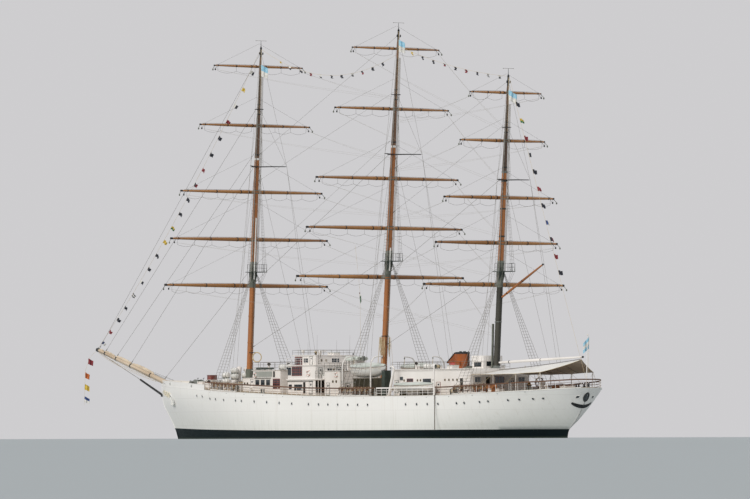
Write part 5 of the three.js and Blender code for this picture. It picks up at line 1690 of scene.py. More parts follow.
fore_house += both(lifebuoy((1985 - 60, 347, 790), (0, 1, 0), 27))
fore_deckhouse = piece("fore_deckhouse_fitted", fore_house, stands_for=["fore_house"])
print("fore deckhouse:", count_of(fore_deckhouse), "faces")

# %% [markdown]
# ## Bridge house and wheelhouse
# The bridge is three levels of wall under thin slabs. The big windows are framed in red hardwood on the port
# side, and the after walls are white with small lights, ladders and doors. Between it and the middle house a
# passage runs across the ship under the bridge's slab. Its shade is painted as a dark panel on the bridge's
# after wall, and a dark strip under the slab on each side wall paints the slab's shadow.

# %% Bridge house
BRIDGE_SIDE, BRIDGE_AFT, BRIDGE_SLAB = ("port", 380), ("aft", 600), 738
bridge = [(house_walls(600, 1190, 380, 900, 20), HOUSE),
          (roof_slab(455, 1200, 392, 722, BRIDGE_SLAB, 8), HOUSE),
          (roof_slab(590, 1200, 395, 898, 908), HOUSE)]
bridge += both(window(BRIDGE_SIDE, 981, 833, 196, 96, 5, 3, RED_TEAK, bar=9, edge=9))
bridge += both(window(BRIDGE_SIDE, 1138, 833, 62, 88, 1, 1, GREY_IRON))
bridge += both(window(BRIDGE_SIDE, 955, 632, 160, 66, 2, 1, GREY_IRON))
bridge += both(open_door(BRIDGE_SIDE, 824, 556, 50, 142) + door(BRIDGE_SIDE, 690, 556, 60, 142))
bridge += both(window(BRIDGE_SIDE, 1120, 640, 70, 60, 1, 1, HOUSE))
# A dark strip just under the slab paints the shadow that the slab casts on the side walls.
bridge += both([(on_wall(BRIDGE_SIDE, 640, 1180, 706, 712, 0, 9), GREEN_IRON)])
# A dark panel on the after wall paints the shade in the passage under the slab.
bridge += both([(on_wall(BRIDGE_AFT, 246, 374, 566, 712, -1, 1), SHADE)])
bridge += door(BRIDGE_AFT, 300, 742, 46, 130) + door(BRIDGE_AFT, 20, 742, 62, 134)
bridge += window(BRIDGE_AFT, 160, 842, 70, 44, 2) + window(BRIDGE_AFT, -130, 842, 90, 44, 2)
bridge += round_ports([(599, 96, 846), (599, -40, 846), (599, -240, 830), (599, -310, 830)], [(-1, 0, 0)] * 4,
                      0.012)
bridge += [(vertical_ladder(BRIDGE_AFT, -195, 742, 960), WIRE)]
bridge += [(guard_rail(edge_points(462, 590, 384, BRIDGE_SLAB, 64, fore=False)), WIRE)]
bridge += [(guard_rail(edge_points(598, 700, 388, 908, 90, fore=False), 82), HOUSE)]
bridge += both([(guard_rail([(x, 388, 908) for x in steps(1190, 700, 98)], 82), HOUSE)])
bridge += both([(joined([tube([(x, 384, deck_top(x)), (x, 384, 723)], 4, 8) for x in (470, 530)]), HOUSE)])
bridge += both(lifebuoy((740, 388, 806), (0, 1, 0)) + lamp(1160, 400, 862, 8, 22))
bridge += locker(470, 560, -330, -210, BRIDGE_SLAB, 792) + locker(470, 560, 160, 300, BRIDGE_SLAB, 786, HOUSE,
                                                                  COVER)
bridge += mushroom_vent(520, 60, BRIDGE_SLAB, 40, 17) + mushroom_vent(520, -90, BRIDGE_SLAB, 40, 17)
bridge_house = piece("bridge_house_fitted", bridge, stands_for=["bridge_house"])
print("bridge house:", count_of(bridge_house), "faces")

# %% Wheelhouse and what stands on it
WHEEL_PLAN = [(700, 300), (1130, 300), (1185, 200), (1185, -200), (1130, -300), (700, -300)]
WHEEL_SIDE, WHEEL_AFT, WHEEL_ROOF = ("port", 300), ("aft", 700), 1032
wheel = [(slab(WHEEL_PLAN, 908.4, 1024), HOUSE), (roof_slab(688, 1200, 312, 1022, WHEEL_ROOF), HOUSE)]
wheel += both(window(WHEEL_SIDE, 1058, 960, 138, 84, 4, 2, RED_TEAK, bar=8, edge=8))
wheel += both(window(WHEEL_SIDE, 900, 966, 90, 56, 2) + door(WHEEL_SIDE, 790, 912, 56, 100))
wheel += window(("fore", 1185), 0, 968, 372, 62, 6, 1, RED_TEAK, bar=7)
wheel += window(WHEEL_AFT, 0, 966, 120, 46, 3) + door(WHEEL_AFT, -200, 912, 54, 98)
wheel += round_ports([(699, 210, 965), (699, 140, 965)], [(-1, 0, 0)] * 2, 0.012)
wheel += [(vertical_ladder(WHEEL_AFT, 250, 912, 1090, 30), WIRE)]
wheel += [(guard_rail(edge_points(700, 1185, 300, WHEEL_ROOF, 120), 62, 1.6, (0.5,)), WIRE)]
scanner = joined([turned([(0, 17), (4, 12), (34, 10), (38, 14), (44, 14)], (1010, 0, WHEEL_ROOF), (0, 0, 1),
                         16),
                  box(1002, 1018, -88, 88, 1077, 1090)])
dome = turned([(0, 14), (12, 13), (14, 25), (34, 27), (52, 22), (62, 12), (66, 1)], (820, 150, WHEEL_ROOF),
              (0, 0, 1), 18)
compass = turned([(0, 14), (30, 12), (34, 17), (44, 16), (54, 8), (57, 1)], (1110, 0, WHEEL_ROOF), (0, 0, 1),
                 16)
light = [(joined([turned([(0, 5), (34, 5)], (1140, 170, WHEEL_ROOF), (0, 0, 1), 10),
                  turned([(-14, 15), (10, 18), (14, 18)], (1140, 170, 1082), (1, 0, 0.1), 16)]), HOUSE),
         (turned([(13, 16), (15, 16)], (1140, 170, 1082), (1, 0, 0.1), 16), GLASS)]
whips = joined([tube([(x, y, WHEEL_ROOF), (x - 6, y, WHEEL_ROOF + high)], [1.6, 0.7], 6)
                for x, y, high in ((740, 250, 250), (740, -250, 250), (880, -150, 190), (960, 230, 160))])
wheel += [(joined([scanner, dome]), HOUSE), (compass, BRASS),
          (whips, WIRE)] + light + both(lamp(720, 290, 1034))
wheel += locker(760, 870, -120, -20, WHEEL_ROOF, 1066, HOUSE, COVER)
wheel += mushroom_vent(940, -70, WHEEL_ROOF, 38, 16)
wheelhouse = piece("wheelhouse_fitted", wheel, stands_for=["wheelhouse"])
print("wheelhouse:", count_of(wheelhouse), "faces")

# %% [markdown]
# ## Middle and after deckhouses
# The middle house carries a covered inflatable boat on a raised cradle. The long after house runs under the
# mizzen and its white hatch to the awning. Its port wall has three windows, one of them framed in red, a row
# of round ports, a door framed in red and one that stands open.

# %% Middle house and the inflatable boat on its roof
MIDDLE_AFT, MIDDLE_ROOF = ("aft", 130), 834
middle = [(house_walls(130, 454, 350, 830, 15), HOUSE), (roof_slab(120, 454, 362, 826, MIDDLE_ROOF), HOUSE)]
middle += both(round_ports([(200, 351, 700), (270, 351, 700)], [(0, 1, 0)] * 2, 0.014))
middle += both(door(("port", 350), 372, 540, 58, 142) + lifebuoy((200, 357, 780), (0, 1, 0), 26))
middle += door(MIDDLE_AFT, 230, 532, 62, 142) + door(MIDDLE_AFT, -60, 532, 62, 142)
middle += window(MIDDLE_AFT, 90, 700, 90, 56, 2) + window(MIDDLE_AFT, -190, 700, 90, 56, 2)
middle += [(vertical_ladder(MIDDLE_AFT, 312, 532, 920), WIRE),
           (guard_rail(edge_points(128, 448, 350, MIDDLE_ROOF, 107)), WIRE)]


def inflatable(x0, x1, half, z, radius):
    """Two air tubes that meet at the bow, under a tight cover, on a cradle."""
    mid = (x0 + x1) / 2
    path = [(x0, half, z), (mid, half, z), (x1 - half * 1.3, half * 0.92, z),
            (x1 - half * 0.35, half * 0.5, z + 8),
            (x1, 0, z + 12)]
    radii = [radius * 0.72, radius, radius, radius * 0.9, radius * 0.8]
    cover_rings = []
    for x, wide, up in ((x0 - 4, half * 0.9, 6), (mid, half * 0.95, 22), (x1 - half, half * 0.75, 20),
                        (x1 - 10, 12, 16)):
        cover_rings.append([(x, wide * math.cos(a), z + radius * 0.4 + up * math.sin(a))
                            for a in (math.pi * k / 10 for k in range(11))])
    cradle = [box(x - 5, x + 5, -half - 12, half + 12, MIDDLE_ROOF, z - radius * 0.8)
              for x in (x0 + 60, mid, x1 - 90)]
    cradle += [box(x0 + 30, x1 - 60, y - 5, y + 5, 862, 870) for y in (-half, half)]
    engine = box(x0 - 34, x0 - 6, -14, 14, z - 26, z + 30)
    return [(both_sides(tube(path, radii, 12)), COVER), (loft(cover_rings), COVER), (joined(cradle), HOUSE),
            (engine, GREY_IRON)]


middle += inflatable(130, 440, 62, 982, 30)
middle_house = piece("middle_house_fitted", middle, stands_for=["middle_house"])
print("middle house:", count_of(middle_house), "faces")

# %% After deckhouse with the mizzen hatch
AFTER_X, HOUSE_TOP = -2640, 835
AFTER_SIDE, AFTER_END, HATCH_AFT = ("port", 450), ("aft", AFTER_X), ("aft", -2500)
after = [(house_walls(AFTER_X, -1100, 450, 827, 25), HOUSE),
         (roof_slab(AFTER_X, -1080, 465, 826, HOUSE_TOP), HOUSE)]
after += both(window(AFTER_SIDE, -1276, 724, 56, 34, 1, 1, GREY_IRON))
after += both(window(AFTER_SIDE, -1448, 682, 112, 66, 3, 2, RED_TEAK, bar=6, edge=7))
after += both(window(AFTER_SIDE, -1790, 684, 150, 58, 3, 1, IRON, bar=4))
after += both(door(AFTER_SIDE, -2020, 560, 74, 112, HOUSE, RED_TEAK)
              + open_door(AFTER_SIDE, -2483, 560, 62, 158))
after += both(door(AFTER_SIDE, -1180, 560, 62, 140))
after += both(round_ports([(x, 451, 700) for x in (-1330, -1600, -1660, -1920, -2150, -2230, -2310, -2390)],
                          [(0, 1, 0)] * 8, 0.011))
after += both([(on_wall(AFTER_SIDE, -2600, -1120, 812, 817, 0, 7), HOUSE)])
after += open_door(AFTER_END, 180, 560, 66, 170) + door(AFTER_END, -180, 560, 66, 150)
after += window(AFTER_END, 0, 700, 130, 70, 3, 1, RED_TEAK, bar=6)
after += window(AFTER_END, 330, 700, 90, 60, 2)
after += window(AFTER_END, -330, 700, 90, 60, 2)
after += [(guard_rail(edge_points(-2250, -1090, 456, HOUSE_TOP, 116, aft=False), 88), WIRE)]
hatch = [box(-2500, -2282, -138, 138, 826, 926), slab(rounded_plan(-2510, -2270, 150, 14), 922, 984),
         slab(rounded_plan(-2506, -2274, 146, 12), 984, 990)]
after += [(joined(hatch), HOUSE)]
after += window(HATCH_AFT, 48, 892, 74, 46, 2, 1, IRON) + window(HATCH_AFT, -62, 892, 96, 46, 3, 1,
                                                                      IRON)
after += both(window(("port", 138), -2390, 884, 130, 44, 3, 1, IRON))
skylight = loft([[(x, -88, HOUSE_TOP), (x, 88, HOUSE_TOP), (x, 88, 852), (x, 0, 872), (x, -88, 852)]
                 for x in (-2240, -2040)])
after += [(skylight, DOUBLING),
          (joined([box(x - 2, x + 2, s * 20, s * 80, 858, 866) for x in (-2190, -2140, -2090)
                   for s in (-1, 1)]), GREY_IRON)]
for x, y in ((-1500, 230), (-1500, -230), (-1640, 230), (-1640, -230)):
    after += raft_canister(x, y, HOUSE_TOP, 112, 30)
for y in (150, -150):
    after += mushroom_vent(-1230, y, HOUSE_TOP)
for y in (260, -260):
    after += cowl_vent(-1320, y, HOUSE_TOP, 80, 22)
for y in (250, -250):
    after += mushroom_vent(-2080, y, HOUSE_TOP, 42, 20)
for y0, y1 in ((300, 400), (-400, -300)):
    after += locker(-2230, -2120, y0, y1, HOUSE_TOP, 880, HOUSE, COVER)
after += locker(-1420, -1240, -60, 60, HOUSE_TOP, 884, HOUSE, COVER)
hose_reel = joined([turned([(-26, 20), (-24, 24), (-22, 9), (22, 9), (24, 24), (26, 20)], (-1905, 380, 866),
                      (0, 1, 0), 16),
               box(-1912, -1898, 350, 354, HOUSE_TOP, 866), box(-1912, -1898, 406, 410, HOUSE_TOP, 866)])
after += both([(hose_reel, GREEN_IRON),
               (joined([turned([(-20, 18), (20, 18)], (-1905, 380, 866), (0, 1, 0), 14)]), MANILA)])
after_house = piece("after_house_fitted", after, stands_for=["after_house"])
print("after house:", count_of(after_house), "faces")

# %% [markdown]
# ## Funnel
# The funnel is an oval casing in orange ochre with a raked apron ahead of it, both capped with black, on a
# red base. Exhaust pipes stand just clear of its top, and a dark pipe runs up its after side, painting the
# shade of the funnel's after face.

# %% Funnel
def oval(x, half, wide, z, turns=40):
    return [(x + half * math.cos(a), wide * math.sin(a), z)
            for a in (2 * math.pi * k / turns for k in range(turns))]


casing = loft([oval(-1895, 118, 72, 835.4), oval(-1901.5, 114.5, 69.5, 968), oval(-1904, 113, 68.6, 1018)])
cap_band = loft([oval(-1904, 114.5, 70, 1016), oval(-1905, 114, 69.8, 1038), oval(-1905, 107, 63, 1040),
                 oval(-1905, 104, 60, 1034)])
cheeks = both_sides(loft([[(x, y, z) for x, z in ((-1830, 915), (-1655, 915), (-1655, 924), (-1796, 1020),
                                                  (-1830, 1020))] for y in (38, 44)]))
front = loft([[(x, y, z) for y in (-44, 44)] + [(x, y, z - 6) for y in (44, -44)]
              for x, z in ((-1656, 917), (-1802, 1014))])
apron_cap = loft([[(x, -46, z - 14), (x, 46, z - 14), (x, 46, z), (x, -46, z)]
                  for x, z in ((-1648, 921), (-1802, 1034), (-1836, 1031))])
base = loft([oval(-1760, 112, 60, 836, 28), oval(-1766, 106, 56, 905, 28), oval(-1768, 96, 50, 914, 28)])
pipes = joined([turned([(0, 11), (62, 11), (64, 8.5), (60, 8.5)], (-1905 + dx, dy, 985), (0, 0, 1), 14)
                for dx, dy in ((-52, 0), (0, 22), (0, -22), (50, 0))])
# A black pipe up the after side; its dark colour paints the shade on the funnel's after face.
after_face_shade_pipe = tube([(-2019, 0, 836), (-2021, 0, 1030), (-2028, 0, 1046)], 7, 12)
grille = joined([on_wall(("port", 69), -1960, -1850, z, z + 3, -2, 3) for z in range(880, 921, 8)])
bare_ring = loft([oval(-1901, 115.6, 70.6, 962), oval(-1901.4, 115.5, 70.5, 968)])
funnel = piece("funnel_fitted",
               [(joined([casing, cheeks, front]), FUNNEL),
                (joined([cap_band, apron_cap, pipes, after_face_shade_pipe]), SOOT),
                (base, RED), (both_sides(grille), FUNNEL),
                (bare_ring, FUNNEL)], stands_for=["funnel"])
print("funnel:", count_of(funnel), "faces")

# %% [markdown]
# ## Rails by Geometry Nodes
# The open deck's rail has a teak cap, two lower rails and many stanchions, and it follows the deck's edge for
# the ship's whole length. One tree takes the edge as a line and grows the rail on it, with the stanchions'
# spacing, the height and the finishes as inputs, so the port, starboard and stern rails match exactly.

# %% The rail tree
def rail_tree():
    tree, source, result = new_tree("deck_rail", {"Height": 0.094, "Spacing": 0.1, "Post": 0.0026,
                                                  "Cap Finish": TEAK, "Post Finish": HOUSE})
    edge = add_node(tree, "GeometryNodeMeshToCurve", links={"Mesh": source.outputs["Geometry"]})
    places = add_node(tree, "GeometryNodeResampleCurve", {"mode": "LENGTH"},
                      {"Curve": edge.outputs["Curve"], "Length": source.outputs["Spacing"]})
    half = add_node(tree, "ShaderNodeMath", {"operation": "MULTIPLY", 1: 0.5}, {0: source.outputs["Height"]})
    lift = add_node(tree, "ShaderNodeCombineXYZ", links={"Z": half.outputs["Value"]})
    post = add_node(tree, "GeometryNodeMeshCylinder", {"Vertices": 8},
                    {"Radius": source.outputs["Post"], "Depth": source.outputs["Height"]})
    standing = add_node(tree, "GeometryNodeTransform", links={"Geometry": post.outputs["Mesh"],
                                                              "Translation": lift.outputs["Vector"]})
    posts = add_node(tree, "GeometryNodeInstanceOnPoints", links={"Points": places.outputs["Curve"],
                                                                  "Instance": standing.outputs["Geometry"]})
    real = add_node(tree, "GeometryNodeRealizeInstances", links={"Geometry": posts.outputs["Instances"]})
    white = add_node(tree, "GeometryNodeSetMaterial", links={"Geometry": real.outputs["Geometry"],
                                                             "Material": source.outputs["Post Finish"]})
    level = add_node(tree, "GeometryNodeSetCurveNormal", {"mode": "Z_UP"}, {"Curve": edge.outputs["Curve"]})
    everything = add_node(tree, "GeometryNodeJoinGeometry")
    tree.links.new(white.outputs["Geometry"], everything.inputs["Geometry"])
    for share, wide, thick, finish in ((1.0, 0.015, 0.006, "Cap Finish"), (0.66, 0.004, 0.004, "Cap Finish"),
                                       (0.33, 0.004, 0.004, "Cap Finish")):
        up = add_node(tree, "ShaderNodeMath", {"operation": "MULTIPLY", 1: share},
                      {0: source.outputs["Height"]})
        shift = add_node(tree, "ShaderNodeCombineXYZ", links={"Z": up.outputs["Value"]})
        raised = add_node(tree, "GeometryNodeSetPosition", links={"Geometry": level.outputs["Curve"],
                                                                  "Offset": shift.outputs["Vector"]})
        section = add_node(tree, "GeometryNodeCurvePrimitiveQuadrilateral", {"Width": thick, "Height": wide})
        bar_ = add_node(tree, "GeometryNodeCurveToMesh", {"Fill Caps": True},
                        {"Curve": raised.outputs["Geometry"], "Profile Curve": section.outputs["Curve"]})
        wood = add_node(tree, "GeometryNodeSetMaterial", links={"Geometry": bar_.outputs["Mesh"],
                                                                "Material": source.outputs[finish]})
        tree.links.new(wood.outputs["Geometry"], everything.inputs["Geometry"])
    tree.links.new(everything.outputs["Geometry"], result.inputs["Geometry"])
    return tree


DECK_RAIL = rail_tree()
RAIL_INSET, AFTER_RAIL_X = 16.5, -3550
port_rail = []
for x0, x1, cap in ((AFTER_RAIL_X, -2262, TEAK), (-2232, -1098, HOUSE), (-1068, BOW_BREAK_X - 6, TEAK)):
    side_line = [(x, deck_half(x) - RAIL_INSET, deck_top(x)) for x in steps(x0, x1, 60)]
    port_rail += grown("side_rail", DECK_RAIL, {"Cap Finish": cap, "Post Finish": HOUSE}, side_line,
                       [(i, i + 1) for i in range(len(side_line) - 1)])
rail_port = piece("side_rail_port", port_rail, stands_for=["rail_port"])
rail_starboard = piece("side_rail_starboard", [(mirrored(s), m) for s, m in port_rail],
                       stands_for=["rail_starboard"])
quarter = [(x, deck_half(x) - RAIL_INSET, deck_top(x))
           for x in (-3580, -3700, -3820, -3940, -4050, -4150, -4230,
                     -4295, -4345)]
round_stern = [(-4360, deck_half(-4360) * 0.55, deck_top(-4360)), (-4366, 0, deck_top(-4366))]
half_line = quarter + round_stern[:1]
stern_line = half_line + [round_stern[1]] + [(x, -y, z) for x, y, z in reversed(half_line)]
stern_parts = grown("stern_rail", DECK_RAIL, {"Cap Finish": TEAK, "Post Finish": HOUSE}, stern_line,
                    [(i, i + 1) for i in range(len(stern_line) - 1)])
rail_stern = piece("stern_rail_fitted", stern_parts, stands_for=["rail_stern"])
print("rails:", count_of(rail_port, rail_starboard, rail_stern), "faces")

# %% [markdown]
# ## Bulwark and foredeck
# Round the bow a low bulwark takes the rail's place. It is a thin plate on the hull's edge with a cap,
# brackets inside and a fairlead. Behind it stand the windlass with its cables, bollards, a capstan and
# lockers.

# %% Bow bulwark
BULWARK_XS = [x for x in EDGE_XS if x > BOW_BREAK_X] + [STEM_HEAD_X - 18]
BULWARK_XS = [BOW_BREAK_X - 10] + BULWARK_XS
plate_section = [(0, -5), (0, BULWARK_HIGH), (3.5, BULWARK_HIGH), (3.5, -5)]
cap_section = [(-2, BULWARK_HIGH - 3), (-2, BULWARK_HIGH + 1), (9, BULWARK_HIGH + 1), (9, BULWARK_HIGH - 3)]
bulwark_plate = both_sides(edge_strip(BULWARK_XS, plate_section, sheer))
bulwark_cap = both_sides(edge_strip(BULWARK_XS[:-1], cap_section, sheer))
knees = both_sides(joined([box(x - 1.5, x + 1.5, deck_half(x) - 22, deck_half(x) - 3, deck_top(x),
                               deck_top(x) + 52)
                           for x in steps(2720, 4200, 135)]))
stem_plate = box(STEM_HEAD_X - 24, STEM_HEAD_X - 2, -7, 7, sheer(STEM_HEAD_X) - 2, sheer(STEM_HEAD_X) + 40)
fairleads = both_sides(joined([ring((x, deck_half(x), sheer(x) + 34), (0.25, 1, 0), 13, 3.5, 18, 6)
                               for x in (3050, 3900)]))
bulwark = piece("bow_bulwark_fitted", [(joined([bulwark_plate, bulwark_cap, knees, stem_plate]), TOPSIDES),
                                       (fairleads, GREY_IRON)],
                stands_for=["bow_bulwark"])
print("bulwark:", count_of(bulwark), "faces")

# %% Windlass and foredeck gear
WINDLASS_X = 3650
shaft_z = deck_top(WINDLASS_X) + 55
bed = slab(rounded_plan(WINDLASS_X - 48, WINDLASS_X + 34, 70, 8), deck_top(WINDLASS_X) + 0.5, shaft_z - 20)
gearcase = slab(rounded_plan(WINDLASS_X - 32, WINDLASS_X + 22, 24, 8), shaft_z - 24, shaft_z + 32)
barrels = [turned([(-124, 8), (-122, 26), (-118, 26), (-114, 20), (-96, 17), (-78, 20), (-74, 27), (-70, 27),
                   (-69, 15),
                   (69, 15), (70, 27), (74, 27), (78, 20), (96, 17), (114, 20), (118, 26), (122, 26),
                   (124, 8)],
                  (WINDLASS_X, 0, shaft_z), (0, 1, 0), 24)]
gypsies = [turned([(y - 12, 37), (y - 8, 39), (y - 5, 27), (y + 5, 27), (y + 8, 39), (y + 12, 37)],
                  (WINDLASS_X, 0, shaft_z), (0, 1, 0), 24) for y in (-44, 44)]
brakes = [tube([(WINDLASS_X - 40, y, shaft_z - 16), (WINDLASS_X - 56, y, shaft_z + 52)], 2.4, 8)
          for y in (-44, 44)]
brakes += [ring((WINDLASS_X - 56, y, shaft_z + 54), (0.2, 0, 1), 11, 1.8, 16, 6) for y in (-44, 44)]
windlass = piece("windlass_fitted",
                 [(joined([bed, gearcase]), GREEN_IRON), (joined(barrels + gypsies), GREY_IRON),
                  (joined(brakes), IRON)], bevel=1.0, stands_for=["windlass"])


def bollards(x, y):
    z = deck_top(x)
    pair = [turned([(0, 15), (4, 15), (6, 10), (38, 10), (42, 13), (48, 13), (51, 9)], (x + dx, y, z),
                   (0, 0, 1), 16)
            for dx in (-24, 24)]
    return joined(pair + [box(x - 46, x + 46, y - 17, y + 17, z, z + 4)])


def cable(path):
    """Chain along a path: alternate links stand up and lie flat."""
    link = 13
    points = [Vector(p) for p in path]
    lengths = [0.0]
    for a, b in zip(points, points[1:]):
        lengths.append(lengths[-1] + (b - a).length)
    links = []
    for k in range(int(lengths[-1] / (link * 1.5))):
        far = (k + 0.5) * link * 1.5
        i = max(j for j, v in enumerate(lengths) if v <= far)
        a, b = points[i], points[min(i + 1, len(points) - 1)]
        way = (b - a).normalized()
        centre = a + way * (far - lengths[i])
        across = way.orthogonal().normalized() if k % 2 else way.cross(way.orthogonal()).normalized()
        shape = [centre + way * math.cos(t) * link + across * math.sin(t) * link * 0.55
                 for t in (math.pi * j / 4 for j in range(8))]
        links.append(tube(shape, 2.2, 5, closed=True))
    return joined(links)


deck_cable = cable([(WINDLASS_X + 20, 44, shaft_z + 30), (WINDLASS_X + 62, 46, shaft_z + 10),
                    (3830, 96, deck_top(3830) + 8), (3930, deck_half(3930) - 34, deck_top(3930) + 6)])
compressor = box(3760, 3800, 62, 92, deck_top(3780), deck_top(3780) + 26)
capstan = turned([(0, 26), (6, 26), (9, 19), (26, 13), (42, 15), (50, 21), (56, 21), (60, 12)],
                 (3260, 0, deck_top(3260)), (0, 0, 1), 24)
fore_gear = both_sides(joined([bollards(3420, 300), bollards(2960, 430), compressor,
                               cowl_vent(3480, 150, deck_top(3480),
                                         78)[0][0]]))
gear = [(joined([capstan, fore_gear]), GREY_IRON), (both_sides(deck_cable), IRON)]
gear += both(cowl_vent(3120, 210, deck_top(3120), 92, 26))
stack_foot = deck_top(2825)
for up in (60, 136):
    gear += both(raft_canister(2825, 150, stack_foot + up, 120, 34))
gear += both([(box(2770, 2880, 112, 190, stack_foot, stack_foot + 58), HOUSE)])
gear += both(mushroom_vent(2690, 110, deck_top(2690), 150, 44))
gear += both(locker(3290, 3400, 90, 190, deck_top(3345), deck_top(3345) + 82, HOUSE, COVER))
gear += locker(3080, 3230, -70, 70, deck_top(3150), deck_top(3150) + 66, HOUSE, COVER)
gear += both(locker(2420, 2500, 150, 260, deck_top(2460), deck_top(2460) + 90, HOUSE, COVER))
foredeck_gear = piece("foredeck_gear", gear)
print("windlass and foredeck:", count_of(windlass, foredeck_gear), "faces")

# %% [markdown]
# ## Boats and their davits
# Two lifeboats hang over the main deck and two launches stand on chocks beside the after house. All are one
# shape at two sizes: clinker lines on a round hull, a rubbing strake, a looped grab line and a tight canvas
# cover whose ridge shows. The davits are bent tubes with a block and fall at each end of a lifeboat.

# %% A covered boat
BOAT_WIDE = fair([(-1, 0.1), (-0.8, 0.62), (-0.45, 0.95), (0, 1), (0.45, 0.95), (0.8, 0.6), (1, 0.08)])
BOAT_RISE = fair([(-1, 0.55), (-0.8, 0.2), (-0.45, 0.03), (0, 0), (0.45, 0.03), (0.8, 0.15), (1, 0.5)])
BOAT_STATIONS = [-math.cos(math.pi * k / 24) for k in range(25)]


def boat(xc, yc, keel, long, wide, deep):
    hull_rings, cover_rings, rim, loops = [], [], [], []
    for u in BOAT_STATIONS:
        x, half = xc + u * long / 2, BOAT_WIDE(u) * wide / 2
        low, gunwale = keel + BOAT_RISE(u) * deep, keel + deep * (0.72 + 0.1 * u * u)
        ridge = keel + deep * (1 - 0.12 * u * u)
        skin = []
        for k in range(7):
            t = math.pi / 2 * k / 6
            lap = 1 + 0.012 * (k % 2)
            skin.append((half * (0.05 + 0.95 * math.sin(t)) * lap,
                         low + (gunwale - low) * (1 - math.cos(t)) ** 1.05))
        hull_rings.append([(x, yc + y, z) for y, z in skin] + [(x, yc - y, z) for y, z in reversed(skin)])
        tent = [(half * 1.03, gunwale - deep * 0.05), (half * 1.03, gunwale + 2),
                (half * 0.55, gunwale + (ridge - gunwale)
                 * 0.52), (0, ridge)]
        cover_rings.append([(x, yc + y, z) for y, z in tent]
                           + [(x, yc - y, z) for y, z in reversed(tent[:-1])])
        rim.append((x, half * 1.02, gunwale - deep * 0.1))
    for a, b in zip(rim[3:-4:2], rim[5:-2:2]):
        mid = between(a, b, 0.5)
        loops.append(tube([(a[0], yc + a[1] + 2, a[2]), (mid[0], yc + mid[1] + 4, mid[2] - deep * 0.13),
                           (b[0], yc + b[1] + 2, b[2])], 1.1, 4))
        loops.append(tube([(a[0], yc - a[1] - 2, a[2]), (mid[0], yc - mid[1] - 4, mid[2] - deep * 0.13),
                           (b[0], yc - b[1] - 2, b[2])], 1.1, 4))
    strakes = [tube([(x, yc + s * (y + 1), z) for x, y, z in rim], 2.6, 6) for s in (1, -1)]
    keel_bar = tube([(xc + u * long / 2, yc, keel + BOAT_RISE(u) * deep - 2) for u in BOAT_STATIONS[3:-3]], 3,
                    6)
    return [(joined([loft(hull_rings), keel_bar]), BOAT), (loft(cover_rings), COVER), (joined(strakes), TEAK),
            (joined(loops), MANILA)]


def davit(x):
    side_y = 560
    foot = deck_top(x) + 1.5
    arm = tube([(x, side_y, foot), (x, side_y, 880), (x, side_y - 10, 930), (x, side_y - 50, 982),
                (x, side_y - 110, 997), (x, side_y - 180, 1000)], [9, 9, 8.5, 8, 7, 6], 12)
    foot_plate = turned([(0, 17), (5, 17), (7, 11), (26, 10.5)], (x, side_y, foot - 1), (0, 0, 1), 16)
    blocks = [box(x - 5, x + 5, side_y - 181, side_y - 169, z - 9, z + 9) for z in (982, 862)]
    falls = [tube([(x + d, side_y - 175, 866), (x + d, side_y - 175, 978)], 1.3, 5) for d in (-3, 0, 3)]
    cleat = box(x - 3, x + 3, side_y + 8, side_y + 13, 680, 704)
    return [(joined([arm, foot_plate]), HOUSE), (joined(blocks + [cleat]), GREY_IRON),
            (joined(falls), MANILA)]


BOAT_X, LAUNCH_X, LAUNCH_Y = -505, -1700, 585
lifeboat_parts = boat(BOAT_X, 385, 745, 700, 220, 180) + davit(BOAT_X - 290) + davit(BOAT_X + 290)
launch_parts = boat(LAUNCH_X, LAUNCH_Y, deck_top(LAUNCH_X) + 40, 780, 200, 125)
chocks = [loft([[(x - 9, LAUNCH_Y + foot, deck_top(x) + 1), (x + 9, LAUNCH_Y + foot, deck_top(x) + 1),
                 (x + 9, LAUNCH_Y + head, deck_top(x) + high), (x - 9, LAUNCH_Y + head, deck_top(x) + high)]
                for foot, head, high in ((-58, -48, 62), (0, 0, 40), (58, 48, 62))])
          for x in (LAUNCH_X - 200, LAUNCH_X + 200)]
launch_parts.append((joined(chocks), SLATS))
boats = []
for name, parts in (("lifeboat", lifeboat_parts), ("launch", launch_parts)):
    boats.append(piece(name + "_port_fitted", parts, stands_for=[name + "_port"]))
    boats.append(piece(name + "_starboard_fitted", [(mirrored(s), m) for s, m in parts],
                       stands_for=[name + "_starboard"]))
print("boats:", count_of(*boats), "faces")

# %% [markdown]
# ## Gear at the masts' feet
# A square-rigger's decks are full of rope. The fore and main masts have a fife rail at the foot, hanks hang
# from a band on the mainmast, and under the lifeboats stand slatted teak lockers. The foremast carries a
# sleeve for its lamp cables and a ring of spare rope, and two exhaust pipes climb the mizzen. All of it is
# small, so it is built from tubes, boxes and the same rope hank.

# %% Fife rails, hanks and slatted lockers
def fife_rail(mast_name, z, long, wide, high):
    x = mast_x(MASTS[mast_name], z) - 10
    corners = [(x - long, -wide), (x - long, wide), (x + long, wide), (x + long, -wide)]
    boards = [box(min(a[0], b[0]) - 9, max(a[0], b[0]) + 9, min(a[1], b[1]) - 9, max(a[1], b[1]) + 9,
                  z + high - 7, z + high)
              for a, b in zip(corners[:3], corners[1:])]
    legs = [turned([(0, 7), (8, 5), (high * 0.5, 7), (high - 14, 5), (high - 6, 7)], (cx, cy, z), (0, 0, 1),
                   10)
            for cx, cy in corners]
    pins, coils = [], []
    for side in (-1, 1):
        for k in range(int(2 * long / 34)):
            px = x - long + 20 + k * 34
            pins.append(turned([(-24, 1.6), (-2, 1.5), (0, 3), (12, 3.2), (18, 1.4)],
                               (px, side * wide, z + high), (0, 0, 1),
                               6))
            coils.append(hank((px, side * (wide + 12), z + high + 4), 11 + k % 3, 38 + 6 * (k % 4)))
    return [(joined(boards + legs + pins), TEAK), (joined(coils), MANILA)]


